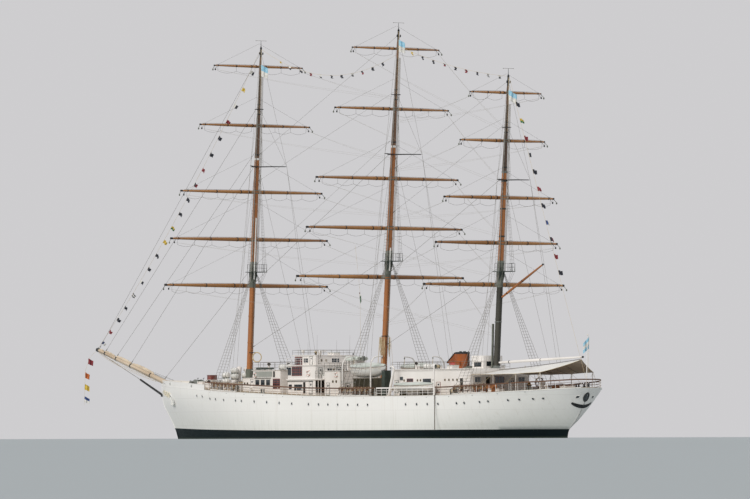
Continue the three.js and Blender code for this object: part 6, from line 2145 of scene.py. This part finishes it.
def slatted_locker(x0, x1, y0, y1, z0, z1):
    slats, pitch = [], 17
    for place in steps(x0 + 6, x1 - 6, pitch):
        slats += [box(place - 3.5, place + 3.5, y - 2, y + 2, z0 + 6, z1 - 8) for y in (y0, y1)]
    for place in steps(y0 + 6, y1 - 6, pitch):
        slats += [box(x - 2, x + 2, place - 3.5, place + 3.5, z0 + 6, z1 - 8) for x in (x0, x1)]
    frame_ = [box(x0 - 3, x1 + 3, y0 - 3, y1 + 3, z0, z0 + 6),
              box(x0 - 5, x1 + 5, y0 - 5, y1 + 5, z1 - 8, z1)]
    return [(joined(slats + frame_), SLATS), (box(x0 + 5, x1 - 5, y0 + 5, y1 - 5, z0 + 6, z1 - 8), SHADE)]


fore, main, mizzen = (MASTS[n] for n in ("fore", "main", "mizzen"))
gear = fife_rail("fore", deck_top(2560) + 1, 70, 110, 96) + fife_rail("main", deck_top(-250) + 1, 84, 130,
                                                                      100)
main_x = mast_x(main, 1250)
spider = ring((main_x, 0, 1252), (0, 0, 1), mast_radius(main, 1250) + 8, 4.5, 24, 8)
main_hanks = [hank((main_x + (mast_radius(main, 1250) + 20) * math.cos(a),
                    (mast_radius(main, 1250) + 20) * math.sin(a),
                    1246), 24, long)
              for a, long in ((0.5, 150), (1.1, 230), (1.7, 270), (2.3, 250), (-0.9, 200),
                              (-1.7, 250), (-2.5, 180))]
main_falls = [tube([(main_x + 70 * math.cos(a), 70 * math.sin(a), 1240),
                    (main_x + 96 * math.cos(a), 118 * math.sin(a), 630)],
                   1.6, 5) for a in (0.6, 1.0, 1.4, 1.8, 2.2, -0.8, -1.3, -2.0)]
gear += [(spider, IRON), (joined(main_hanks + main_falls), MANILA)]
sleeve = mast_rod(fore, 742, 876, 9, 20, 130)
fore_ring_at = (mast_x(fore, 1025) - mast_radius(fore, 1025) - 150, 24, 1022)
fore_coil = [ring((fore_ring_at[0] - d, fore_ring_at[1] + d, fore_ring_at[2]), (-0.6, 1, 0), r, 3.4, 28, 6)
             for d, r in ((0, 60), (6, 63), (3, 55), (9, 59))]
fore_bracket = box(fore_ring_at[0] - 12, mast_x(fore, 1080) - 20, 18, 30, 1078, 1086)
gear += [(sleeve, DOUBLING), (joined(fore_coil), MANILA), (fore_bracket, IRON)]
for mast, low, high in ((fore, 2000, 2770), (main, 2050, 2330)):
    track = [(mast_x(mast, z) - mast_radius(mast, z) - 13, 14, z) for z in (low, high)]
    gear.append((tube(track, 8, 10), BOAT))
mizzen_x = mast_x(mizzen, 1100)
for dx, dy in ((46, 50), (64, 22)):
    low, high = (mizzen_x + dx, dy, 836), (mast_x(mizzen, 1360) + dx, dy, 1360)
    gear.append((turned([(0, 12), (14, 12), (16, 8.5), (500, 8.5), (524, 8.0), (526, 10), (532, 10),
                         (534, 7)], low,
                        Vector(high) - Vector(low), 14), DOUBLING))
gear.append((ring((mast_x(mizzen, 1392), 0, 1392), (0, 0, 1), mast_radius(mizzen, 1392) + 4, 5, 24, 8),
             GREY_IRON))
for x0, x1 in ((-840, -640), (-620, -450), (-430, -260)):
    gear += both(slatted_locker(x0, x1, 335, 430, deck_top((x0 + x1) / 2) + 1, 735))
# A tall dark-green locker beside the lifeboat; its dark colour paints the shade in the gap towards the launch.
gear += both(locker(-908, -846, 335, 432, deck_top(-880) + 1, 826, GREEN_IRON, IRON))
mast_gear = piece("gear_round_the_masts", gear)
print("mast gear:", count_of(mast_gear), "faces")

# %% [markdown]
# ## Posts, bollards and small things on deck
# A slanted boat crane stands between lifeboat and launch and a tall white pole further aft. Bollards, reels,
# vents, lockers, raft canisters and a stowed gangway fill the rest. They are placed from the photograph where
# it shows them and by custom elsewhere.

# %% Posts and deck furniture
def slanted_crane(foot, head):
    way = Vector(head) - Vector(foot)
    parts = [turned([(0, 27), (8, 27), (10, 20), (way.length * 0.5, 18), (way.length, 13)], foot, way, 14)]
    parts.append(tube([head, (head[0] + 26, head[1] + 6, head[2] + 26),
                       (head[0] + 62, head[1] + 8, head[2] + 24)],
                      [13, 10, 6], 10))
    return [(joined(parts), HOUSE),
            (box(head[0] + 55, head[0] + 67, head[1] + 4, head[1] + 12, head[2] - 6, head[2] + 16),
             GREY_IRON)]


def reel(x, y, z):
    long, radius = 90, 32
    drum = turned([(-long / 2, radius), (-long / 2 + 5, radius), (-long / 2 + 6, radius * 0.72),
                   (long / 2 - 6, radius * 0.72),
                   (long / 2 - 5, radius), (long / 2, radius)], (x, y, z + radius + 14), (1, 0, 0), 20)
    turns = joined([ring((x - long / 2 + 9 + k * 7, y, z + radius + 14), (1, 0, 0), radius * 0.74, 3.4, 20, 6)
                    for k in range(int((long - 16) / 7))])
    feet = joined([box(x + s * (long / 2 + 5) - 3, x + s * (long / 2 + 5) + 3, y - 20, y + 20, z,
                       z + radius + 22)
                   for s in (-1, 1)])
    return [(joined([drum, feet]), GREY_IRON), (turns, MANILA)]


def side_pole(x, y, low, high):
    pole = turned([(0, 16), (6, 16), (8, 10), (high - low - 6, 9), (high - low, 4)], (x, y, low), (0, 0, 1),
                  14)
    arm = tube([(x, y, high - 40), (x, y + 34, high - 26)], 4, 8)
    return [(joined([pole, arm]), HOUSE)]


furniture = both(slanted_crane((-1169, 560, deck_top(-1169) + 1), (-1273, 562, 845)))
furniture += both(side_pole(-2248, deck_half(-2248) - 16, deck_top(-2248) + 1, 876))
for x, y in ((2300, 600), (1350, 640), (-1020, 652), (-2950, 560), (-3760, 420)):
    furniture.append((both_sides(bollards(x, y)), GREY_IRON))
furniture += both(reel(2180, 470, deck_top(2180) + 1) + reel(-2420, 520, deck_top(-2420) + 1))
furniture += locker(-120, 60, -90, 90, deck_top(0) + 1, deck_top(0) + 62, GREEN_IRON, COVER)
furniture += both(locker(-3060, -2840, 250, 330, deck_top(-2950) + 1, deck_top(-2950) + 66, HOUSE, TEAK))
furniture += both(mushroom_vent(2140, 250, deck_top(2140), 60, 26))
furniture += both(mushroom_vent(-880, 540, deck_top(-880), 52, 24))
furniture += both(mushroom_vent(-3820, 210, deck_top(-3820), 60, 26))
furniture += both(cowl_vent(2660, 60, deck_top(2660), 300, 34, (1, -0.4, 0))
                  + cowl_vent(-60, 250, deck_top(-60), 150, 30))
furniture += both(locker(3150, 3265, 44, 160, deck_top(3200), 746, BOAT, BOAT))
furniture += locker(3158, 3240, 56, 150, 746, 806, RED_TEAK, RED_TEAK)
stack_foot = deck_top(2640)
for up in (128, 200):
    furniture += both(raft_canister(2640, 150, stack_foot + up, 120, 34))
furniture += both([(box(2590, 2690, 112, 190, stack_foot, stack_foot + 92), HOUSE)])
gangway = [edge_strip(steps(-3270, -2930, 68), [(inset, 48), (inset, 88), (inset + 6, 88), (inset + 6, 48)])
           for inset in (42, 94)]
gangway += [box(x - 9, x + 9, deck_half(x) - 95, deck_half(x) - 47, deck_top(x) + 64, deck_top(x) + 69)
            for x in steps(-3250, -2950, 30)]
gangway += [box(x - 4, x + 4, deck_half(x) - 98, deck_half(x) - 44, deck_top(x), deck_top(x) + 48)
            for x in (-3240, -3100, -2960)]
furniture.append((both_sides(joined(gangway)), SPAR))
furniture += locker(-4010, -3900, -70, 70, deck_top(-3950) + 1, deck_top(-3950) + 50, HOUSE, TEAK)
scuttles = joined([box(x - 8, x + 8, deck_half(x) - 2.5, deck_half(x) + 1.0, sheer(x) - 20, sheer(x) - 15)
                   for x in steps(-3800, 2500, 420)])
deck_furniture = piece("deck_furniture", furniture + [(both_sides(scuttles), GREY_IRON)])
print("deck furniture:", count_of(deck_furniture), "faces")

# %% [markdown]
# ## Steering position
# The big wheel stands abaft the after house under the awning, in front of its gearbox, with the binnacle
# ahead of it. The wheel is a joint's own body, so its rim, spokes and hub stay together in one piece.

# %% Wheel, stand and binnacle
HELM_X = -3420
helm_z = deck_top(HELM_X) + 105
rim_parts = [ring((HELM_X, 0, helm_z), (1, 0, 0), r, t, 48, 8) for r, t in ((62, 4.2), (55, 2.4))]
spokes = [turned([(8, 2.6), (20, 3.2), (34, 2.0), (50, 3.0), (60, 2.4), (66, 1.8), (74, 3.1), (80, 2.2)],
                 (HELM_X, 0, helm_z), (0, math.cos(a), math.sin(a)), 10)
          for a in (math.pi / 4 * k for k in range(8))]
hub = turned([(-9, 7), (-8, 10), (8, 10), (9, 7)], (HELM_X, 0, helm_z), (1, 0, 0), 20)
boss = turned([(-9.6, 5), (-9, 6), (9, 6), (9.6, 5)], (HELM_X, 0, helm_z), (1, 0, 0), 20)
helm_wheel = piece("helm_wheel_fitted", [(joined(rim_parts + spokes), TEAK), (joined([hub, boss]), BRASS)],
                   body="helm_wheel", stands_for=["helm_wheel"])
stand_z = deck_top(HELM_X - 60) + 3
stand = [(slab(rounded_plan(HELM_X - 85, HELM_X - 25, 28, 6), stand_z, helm_z + 18), HOUSE),
         (slab(rounded_plan(HELM_X - 88, HELM_X - 22, 31, 6), helm_z + 18, helm_z + 22), TEAK),
         (turned([(0, 8), (6, 8), (8, 5), (20, 5)], (HELM_X - 30, 0, helm_z), (1, 0, 0), 14), BRASS),
         (slab(rounded_plan(HELM_X - 120, HELM_X + 60, 80, 8), stand_z - 2, stand_z + 3), TEAK)]
helm_stand = piece("helm_stand_fitted", stand, stands_for=["helm_stand"])
bx, bz = HELM_X + 200, deck_top(HELM_X + 200) + 1
binnacle = [(turned([(0, 24), (8, 24), (12, 17), (70, 15), (84, 21), (92, 22)], (bx, 0, bz), (0, 0, 1), 20),
             TEAK),
            (turned([(92, 21), (104, 20), (116, 14), (122, 6)], (bx, 0, bz), (0, 0, 1), 20), BRASS),
            (both_sides(ball((bx, 30, bz + 86), 9)), IRON),
            (both_sides(box(bx - 3, bx + 3, 14, 24, bz + 83, bz + 89)),
             IRON)]
binnacle_piece = piece("binnacle", binnacle)
staff = [(turned([(0, 13), (5, 13), (7, 6), (520, 4.4)], (-4322, 0, deck_top(-4322)),
                 (-30, 0, 1210 - deck_top(-4322)), 14),
          HOUSE), (ball((-4352, 0, 1214), 7), GILT)]
ensign_staff = piece("ensign_staff_fitted", staff, stands_for=["ensign_staff"])
print("steering position:", count_of(helm_wheel, helm_stand, binnacle_piece, ensign_staff), "faces")

# %% [markdown]
# ## Rudder and propeller
# Both are under water and under the floor, but they are joints, so they get their shape all the same: a foil
# section with its stiffeners and pintles, and four blades whose pitch flattens towards the tips.

# %% Under the counter
RUDDER_X = -3905
foil = straight([(-160, 1.5), (-90, 7), (-10, 11), (18, 9), (28, 1.0)])
foil_xs = [28, 25, 18, 4, -10, -40, -65, -90, -125, -160]


def blade_ring(z, trim):
    return ([(RUDDER_X + max(x, -160 + trim), foil(x), z) for x in foil_xs]
            + [(RUDDER_X + max(x, -160 + trim), -foil(x), z) for x in reversed(foil_xs)])


blade = loft([blade_ring(z, trim)
              for z, trim in ((-626, 30), (-616, 12), (-600, 3), (-400, 0), (-200, 0), (-110, 4),
                              (-92, 14), (-85, 34))])
stock = turned([(0, 9), (30, 9), (34, 8)], (RUDDER_X, 0, -100), (0, 0, 1), 18)
straps = joined([box(RUDDER_X - 104, RUDDER_X + 22, -11.6, 11.6, z - 5, z + 5)
                 for z in (-560, -440, -300, -170)])
rudder = piece("rudder_fitted", [(joined([blade, stock]), BOTTOM), (straps, GREY_IRON)], body="rudder",
               stands_for=["rudder"])


def propeller_blade(turn):
    sections = fair([(8, 9), (60, 8), (105, 4), (120, 2)]), fair([(8, 14), (60, 34), (105, 30), (120, 14)])
    rings = []
    for r in (8, 20, 35, 50, 65, 80, 95, 108, 116, 120):
        thick, wide = sections[0](r), sections[1](r)
        pitch = math.atan2(55, r + 20)
        outline = [(thick * 0.5 * math.sin(t), wide * math.cos(t))
                   for t in (2 * math.pi * k / 12 for k in range(12))]
        placed = [(a * math.cos(pitch) - b * math.sin(pitch), a * math.sin(pitch) + b * math.cos(pitch))
                  for a, b in outline]
        rings.append([(-3790 + x, y * math.cos(turn) - r * math.sin(turn), -340 + y * math.sin(turn)
                       + r * math.cos(turn)) for x, y in placed])
    return loft(rings)


screw_hub = turned([(0, 15), (60, 15.5), (72, 14), (84, 11), (91, 5.5)], (-3741, 0, -340), (-1, 0, 0), 24)
propeller = piece("propeller_fitted", [(joined([screw_hub] + [propeller_blade(math.pi / 2 * k + 0.3)
                                                              for k in range(4)]), BRONZE)],
                  body="propeller", stands_for=["propeller"], sharp=50)
print("rudder and propeller:", count_of(rudder, propeller), "faces")

# %% [markdown]
# ## Ports and marks of the hull
# A row of round ports follows the sheer a metre of the ship below the deck, on both sides. Each looks along
# the shell's own normal, which is worked out from the hull's lines on each side of it. The bow carries a
# gilded scroll over the stowed anchor, and the stern an oval port, square lights and a dark name board that
# stays blank.

# %% Round ports in the shell
def shell_normal(x, z):
    along_ = half_breadth(x + 12, z) - half_breadth(x - 12, z)
    upwards_ = half_breadth(x, z + 12) - half_breadth(x, z - 12)
    return Vector((-along_ / 24, 1, -upwards_ / 24)).normalized()


PORT_XS = [2886, 2726, 2513, 2366, 2155, 1863, 1726, 1434, 1159, 892, 628, 278, 68, -128, -330, -537, -740,
           -944, -1712,
           -1927, -2132, -2333, -2666, -2800, -3060, -3199, -3506, -3669, -3856, -3981]
places, facings = [], []
for x in PORT_XS:
    z = sheer(x) - (81 if x > 2700 else 100)
    facing = shell_normal(x, z)
    spot = Vector((x, half_breadth(x, z), z)) + facing * 0.6
    for side in (1, -1):
        places.append((spot.x, side * spot.y, spot.z))
        facings.append((facing.x, side * facing.y, facing.z))
ports = grown("shell_ports", ROUND_PORTS, {"Radius": 0.017, "Rim": 0.003, "Bolts": 8, "Rim Finish": TOPSIDES},
              places,
              attributes={"facing": facings})
piece("round_ports", ports)
print("round ports:", len(places))


# %% Bow and stern details
def on_shell(x, z, out):
    return Vector((x, half_breadth(x, z), z)) + shell_normal(x, z) * out


def shell_line(points, out, radius, sides=6):
    return tube([on_shell(x, z, out) for x, z in points], radius, sides)


scroll = []
for x, z, r in ((4235, 588, 30), (4090, 566, 36), (3950, 560, 30)):
    spiral = [(x + math.cos(t) * r * 1.5 * (1 - t / 16), z + math.sin(t) * r * (1 - t / 16))
              for t in (0.45 * i for i in range(26))]
    scroll.append(shell_line(spiral, 3, [7.5 - 0.18 * i for i in range(26)]))
vine = [(4345 - 19 * i, 604 + 9 * math.sin(i * 0.9) - 1.7 * i) for i in range(26)]
scroll.append(shell_line(vine, 4, [3.2 + 4.4 * math.sin(math.pi * i / 25) for i in range(26)]))
scroll += [shell_line([(4290 - 62 * i, 596 - 7 * i), (4262 - 62 * i, 566 - 7 * i),
                       (4236 - 62 * i, 552 - 7 * i)], 4,
                      [7, 5, 2]) for i in range(6)]
HAWSE = 3880, 532
hawse_at = on_shell(*HAWSE, 1)
hawse = ring(hawse_at, shell_normal(*HAWSE), 30, 8, 24, 8)
hawse_shade = turned([(0, 27), (1.5, 27)], hawse_at, shell_normal(*HAWSE), 20)
shank = shell_line([HAWSE, (3852, 490), (3815, 436)], 12, [9, 8, 9], 8)
arms = shell_line([(3742, 500), (3752, 456), (3790, 428), (3840, 428), (3880, 452)], 15, [5, 11, 13, 11, 5],
                  8)
flukes = joined([shell_line([(3736, 512), (3746, 476)], 16, [4, 14], 6),
                 shell_line([(3890, 466), (3868, 436)], 16,
                            [4, 14], 6)])
bow_marks = [(both_sides(joined(scroll)), GILT), (both_sides(joined([hawse, shank, arms, flukes])), BOAT),
             (both_sides(hawse_shade), SHADE)]
bow_piece = piece("bow_scroll_and_anchors", bow_marks)

ROPE_X = -2290
rope_y = deck_half(ROPE_X) + 9
rope_line = [(ROPE_X, deck_half(ROPE_X) - 40, deck_top(ROPE_X) + 60), (ROPE_X, rope_y, deck_top(ROPE_X) - 4)]
hanging_rope = both_sides(tube(rope_line + [(ROPE_X, rope_y, 104)], 5.0, 8))


def counter_x(y, z):
    """How far aft the shell reaches at a height, at a distance from the centreline."""
    low, high = stern_at(z), stern_at(z) + 900
    for _ in range(40):
        middle = (low + high) / 2
        if half_breadth(middle, z) < max(abs(y), 5.5):
            low = middle
        else:
            high = middle
    return (low + high) / 2


def stern_point(y, z, out=0.0):
    """A place on the counter, pushed out along its normal."""
    across = Vector((counter_x(y + 6, z) - counter_x(y - 6, z), 12, 0))
    upwards_ = Vector((counter_x(y, z + 6) - counter_x(y, z - 6), 0, 12))
    return Vector((counter_x(y, z), y, z)) + upwards_.cross(across).normalized() * out


smile = []
for y in steps(-146, 146, 14):
    tall = 5 + 15 * (1 - (y / 150) ** 2) ** 0.5
    middle = 372 + 40 * (y / 146) ** 2
    smile.append([tuple(stern_point(y, middle + dz, out)) for dz, out in ((tall, 0.5), (tall, 4), (-tall, 4),
                                                                          (-tall, 0.5))])
stern_marks = [(loft(smile), SOOT), (hanging_rope, HEMP)]
rim = [stern_point(36 * math.cos(t), 482 + 50 * math.sin(t), 3)
       for t in (2 * math.pi * k / 28 for k in range(28))]
stern_marks += [(tube(rim, 6, 8, closed=True), IRON),
                (loft([[tuple(q) for q in rim], [(q.x + 14, q.y, q.z) for q in rim]]), GLASS)]
for y in (112, -112):
    corners = [stern_point(y + dy, 484 + dz, 3) for dy, dz in ((-18, -15), (18, -15), (18, 15), (-18, 15))]
    stern_marks += [(loft([[tuple(q) for q in corners], [(q.x + 14, q.y, q.z) for q in corners]]), GLASS),
                    (tube(corners, 3, 6, closed=True), TOPSIDES)]
stern_marks += [(bare(lamp(-4368, 0, deck_top(-4368) + 2, 13, 46)), IRON),
                (both_sides(bollards(-4230, 60)), IRON)]
stern_piece = piece("stern_lights_and_blank_board", stern_marks)
print("bow and stern details:", count_of(bow_piece, stern_piece), "faces")

# %% [markdown]
# ## The awning
# The after deck lies under a ridge tent of canvas, open at both ends. It is stretched between a ridge rope
# and its stanchions, so it is modelled as a taut sheet: a grid between ridge and eaves that dips a little
# across, with its edge pulled in between the stanchions. A cloth simulation would give the same shape for so
# tight a piece, and the grid keeps its seams in place. A solidify modifier gives it thickness, and its
# underside a darker lining of its own that paints the shade under the canvas.

# %% Canvas under tension
BAYS = [((-2655, 812), (-2655, 430, 762)), ((-3100, 838), (-3080, 440, 758)),
        ((-3600, 872), (-3500, 425, 762)),
        ((-4230, 925), (-3950, 400, 778))]
BAY_STEPS, ACROSS = 10, 14


def awning_rows():
    rows = []
    for bay, (near, far) in enumerate(zip(BAYS, BAYS[1:])):
        for k in range(BAY_STEPS + (bay == len(BAYS) - 2)):
            f = k / BAY_STEPS
            ridge, eave = between(near[0], far[0], f), between(near[1], far[1], f)
            pull = math.sin(math.pi * f)
            eave = (eave[0], eave[1] - 13 * pull, eave[2] + 2 * pull)
            ridge = (ridge[0], ridge[1] - 5 * pull)
            row = []
            for j in range(ACROSS * 2 + 1):
                w = abs(j / ACROSS - 1)
                side = 1 if j < ACROSS else -1
                dip = 4 * w * (1 - w)
                row.append((ridge[0] + (eave[0] - ridge[0]) * w, side * eave[1] * w,
                            ridge[1] + (eave[2] - ridge[1]) * w - 9 * dip))
            rows.append(row)
    return rows


awning_grid = awning_rows()
across_count = ACROSS * 2 + 1
top_skin = [p for row in awning_grid for p in row]
skin_faces = [(i * across_count + j, i * across_count + j + 1, (i + 1) * across_count + j + 1,
               (i + 1) * across_count + j)
              for i in range(len(awning_grid) - 1) for j in range(ACROSS * 2)]
awning = piece("awning_canvas", [((top_skin, skin_faces), CANVAS)],
               stands_for=["awning"], sharp=60)
# The inner shell of the solidified canvas takes the second finish, which paints the shade under the awning.
awning.data.materials.append(AWNING_PAINTED_SHADE)
solid = awning.modifiers.new("canvas_thickness", "SOLIDIFY")
solid.thickness, solid.offset, solid.material_offset = 1.6 * MM, -1.0, 1
poles, cords = [], []
for i, (ridge, (x, y, z)) in enumerate(BAYS):
    within = x + (-8, 0, 0, 8)[i]
    for side in (1, -1):
        foot = deck_top(within) + 1.5
        poles.append(turned([(0, 9), (4, 9), (6, 5.2), (z - foot - 6, 4.6), (z - foot - 4, 6),
                             (z - foot - 1, 4)],
                            (within, side * (y - 6), foot), (0, 0, 1), 12))
        out = Vector((within, side * (y + 1), z))
        rail_y = side * (deck_half(within) - 18)
        cords.append(tube([out, (within, rail_y, deck_top(within) + 96)], 1.5, 5))
        cords += [tube([out, (within + d, side * (y - 5), z - 60)], 1.1, 4) for d in (-34, 34)]
eave_rope = [tube([Vector(row[j]) - Vector((0, 0, 1)) for row in awning_grid], 2.4, 6)
             for j in (0, ACROSS * 2)]
end_ropes = [tube([Vector(p) - Vector((0, 0, 1)) for p in awning_grid[i]], 2.2, 6) for i in (0, -1)]
battens = [tube([Vector(p) - Vector((0, 0, 3.2)) for p in row[1:-1]], 2.0, 6) for row in awning_grid[4:-2:5]]
ridge_rope = tube([(-2540, 0, 842), (-2655, 0, 818)] + [(r[0], 0, r[1] + 5) for r, _ in BAYS[1:]], 3.4, 6)
holds = piece("awning_stanchions_and_lashings",
              [(joined(poles), HOUSE), (joined(cords + eave_rope + end_ropes), MANILA),
               (joined(battens + [ridge_rope]), HEMP)])

# %% [markdown]
# ## Flags
# She is dressed overall: a line of signal flags climbs from the bowsprit over the three mastheads and down to
# the stern, and light blue flags hang at the mastheads and the stern. All hang limp. Each flag is a grid
# whose hoist follows its line and whose fly falls in folds. Simulating sixty of them would take minutes for a
# shape of a few centimetres each, so the folds are sines from one seeded generator.

# %% Bunting
def bunting(name, light, dark):
    return weathered(name, light, dark, 34, (0.75, 0.9), 0.5, 3, sheen=0.25)


SKY_CLOTH = bunting("light_blue_bunting", "#a5d3e6", "#83b9d2")
WHITE_CLOTH = bunting("white_bunting", "#e9e8e3", "#cfcec8")
RED_CLOTH = bunting("dark_red_bunting", "#93313a", "#70262d")
YELLOW_CLOTH = bunting("yellow_bunting", "#dcbf4c", "#bb9c36")
BLUE_CLOTH = bunting("dark_blue_bunting", "#2f4a86", "#223963")
NAVY_CLOTH = bunting("black_blue_bunting", "#2b2f3c", "#1f222c")
GREEN_CLOTH = bunting("green_bunting", "#3c7a4f", "#2c5c3b")
ORANGE_CLOTH = bunting("orange_bunting", "#d77c42", "#b9622f")
# One letter for each flag of a line, and whether its bands stand upright
PATTERNS = {"b": ([BLUE_CLOTH, WHITE_CLOTH], True), "r": ([RED_CLOTH], False), "y": ([YELLOW_CLOTH], False),
            "k": ([NAVY_CLOTH], False), "n": ([NAVY_CLOTH, WHITE_CLOTH, NAVY_CLOTH], False),
            "w": ([WHITE_CLOTH, NAVY_CLOTH], True), "g": ([YELLOW_CLOTH, GREEN_CLOTH], False),
            "o": ([ORANGE_CLOTH, YELLOW_CLOTH], False), "v": ([NAVY_CLOTH, RED_CLOTH], True)}
wind = random.Random(41)


def flag(head, foot, long, fall, bands, folds=1.4, upright=False):
    """A flag whose hoist runs from head to foot; fall is the way its fly hangs."""
    head, foot, fall = Vector(head), Vector(foot), Vector(fall).normalized()
    down = foot - head
    across = down.cross(fall).normalized()
    phase, depth = wind.uniform(0, 6.28), wind.uniform(0.1, 0.15) * long
    columns, rows_ = 14, max(6, len(bands) * 2)
    points = []
    for i in range(columns + 1):
        u = i / columns
        for j in range(rows_ + 1):
            v = j / rows_
            wave = math.sin(phase + u * folds * 6.28 + v * 0.8) - math.sin(phase + v * 0.8)
            points.append(tuple(head + down * v * (1 - 0.1 * u) + fall * long * u * 0.9
                                + across * depth * wave * min(1, u * 2.5)))
    pairs = []
    for finish in dict.fromkeys(bands):
        cells = []
        for i in range(columns):
            for j in range(rows_):
                share = (i / columns) if upright else (j / rows_)
                if bands[min(int(share * len(bands)), len(bands) - 1)] is finish:
                    a = i * (rows_ + 1) + j
                    cells.append((a, a + 1, a + rows_ + 2, a + rows_ + 1))
        pairs.append(((points, cells), finish))
    return pairs


def flag_piece(name, flags, high):
    """One piece of all the flags of a line, with a material for each cloth."""
    cloth = bpy.data.meshes.new(name)
    points, faces, looks, finishes = [], [], [], []
    for parts in flags:
        start = len(points)
        points += parts[0][0][0]
        for (_, cells), finish in parts:
            if finish not in finishes:
                finishes.append(finish)
            faces += [tuple(i + start for i in f) for f in cells]
            looks += [finishes.index(finish)] * len(cells)
    cloth.from_pydata([tuple(c * MM for c in p) for p in points], [], faces)
    for finish in finishes:
        cloth.materials.append(finish)
    cloth.polygons.foreach_set("material_index", looks)
    cloth.polygons.foreach_set("use_smooth", [True] * len(faces))
    obj = bpy.data.objects.new(name, cloth)
    scene.collection.objects.link(obj)
    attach(obj, "hull")
    return obj


def sagging(a, b, sag, count=24):
    return [Vector(a).lerp(Vector(b), t) - Vector((0, 0, 4 * sag * t * (1 - t)))
            for t in (k / count for k in range(count + 1))]


# Two ends, sag, the share of the line that carries flags, their letters, and their hoist and length
DRESS_LINES = {
    "head": ((5913, 0, 1168), (2262, 0, 4894), 175, (0.005, 0.96), "brkknwkkygkkvrkkrwyw", 56, 62),
    "foremast_to_mainmast": ((2246, 0, 4880), (-612, 0, 4700), 295, (0.1, 0.93), "ywkrwkkwvkk", 44, 50),
    "mainmast_to_mizzen": ((-640, 0, 4790), (-2824, 0, 4330), 62, (0.07, 0.97), "ykkvkrknw", 44, 50),
    "mizzen_to_stern": ((-2852, 0, 4312), (-4345, 30, 712), 14, (0.06, 0.68), "kgrwkrkbvrk", 56, 62),
}
line_shapes, dressing = [], []
for a, b, sag, *_ in DRESS_LINES.values():
    line_shapes.append(tube(sagging(a, b, sag, 60), 1.3, 5))
lines_piece = piece("dressing_lines", [(joined(line_shapes), MANILA)])
for name, (a, b, sag, (first, last), letters, high, long) in DRESS_LINES.items():
    path = sagging(a, b, sag, 400)
    whole = sum((q - p).length for p, q in zip(path, path[1:]))
    reach = max(1, round(400 * high / 2 / whole))
    flags = []
    for k, letter in enumerate(letters):
        middle = int(400 * (first + (last - first) * (k + 0.5) / len(letters)))
        top, low = sorted((path[middle - reach], path[middle + reach]), key=lambda p: -p.z)
        fall = Vector((-0.3, wind.uniform(-0.45, -0.15), -0.85))
        along = (low - top).normalized()
        fall -= along * fall.dot(along) * 0.9
        bands, upright = PATTERNS[letter]
        flags.append(flag(top, low, long, fall, bands, upright=upright))
    dressing.append(flag_piece(f"signal_flags_{name}", flags, high))
print("signal flags:", sum(len(row[4]) for row in DRESS_LINES.values()))

# %% Masthead flags, ensign and courtesy flag
halyards, hung = [], []
for mast_name, drop, high, long in (("fore", 205, 145, 110), ("main", 110, 145, 100),
                                    ("mizzen", 160, 125, 130)):
    mast = MASTS[mast_name]
    x0 = mast_x(mast, mast["truck"])
    head = (x0 - 14, 10, mast["truck"] - drop)
    foot = (x0 - 18, 10, mast["truck"] - drop - high)
    halyards.append(tube([(x0 - 8, 6, mast["truck"] - 6), head, foot,
                          (x0 - 22, 11, mast["truck"] - drop - high - 260)],
                         1.2, 5))
    fall = (-0.5, -0.55, -0.4) if mast_name != "mizzen" else (-0.3, -0.55, -0.4)
    hung.append((mast_name + "_masthead_flag",
                 [flag(head, foot, long, fall, [SKY_CLOTH, WHITE_CLOTH], folds=1.6)],
                 high, long))
ensign_flag = flag((-4352, -22, 1192), (-4346, -22, 1052), 115, (0.3, 0.35, -0.5),
                   [SKY_CLOTH, WHITE_CLOTH, SKY_CLOTH],
                   folds=1.8)
hung.append(("stern_ensign", [ensign_flag], 140, 115))
halyards.append(tube([(-4350, -4, 1206), (-4352, -21, 1188), (-4346, -22, 1052), (-4338, -12, 760)], 1.1, 5))
courtesy = (1025, -620, 1830)
halyards.append(tube([(1040, -560, 2400), courtesy, (1030, -640, 640)], 1.2, 5))
hung.append(("courtesy_flag", [flag(courtesy, (1025, -622, 1740), 110, (-0.5, 0.2, -0.6),
                                    [RED_CLOTH, WHITE_CLOTH, GREEN_CLOTH], upright=True)], 90, 110))
tip = Vector((5922, 6, 1150))
sprit_line = [tip, Vector((5930, 118, 1050)), Vector((5934, 182, 880)), Vector((5934, 198, 440))]
halyards.append(tube(sprit_line, 1.2, 5))
sprit_flags = [flag((5932, y, z), (5934, y + 4, z - 72), 80, (-0.2, -0.6, -0.35), bands)
               for y, z, bands in ((134, 1045, [RED_CLOTH]), (182, 866, [ORANGE_CLOTH]),
                                   (190, 715, [YELLOW_CLOTH]),
                                   (194, 555, [BLUE_CLOTH, WHITE_CLOTH]))]
hung.append(("bowsprit_signal_flags", sprit_flags, 72, 80))
halyard_piece = piece("flag_halyards", [(joined(halyards), MANILA)])
for name, flags, high, long in hung:
    dressing.append(flag_piece(name, flags, high))
print("flags:", count_of(*dressing), "faces")
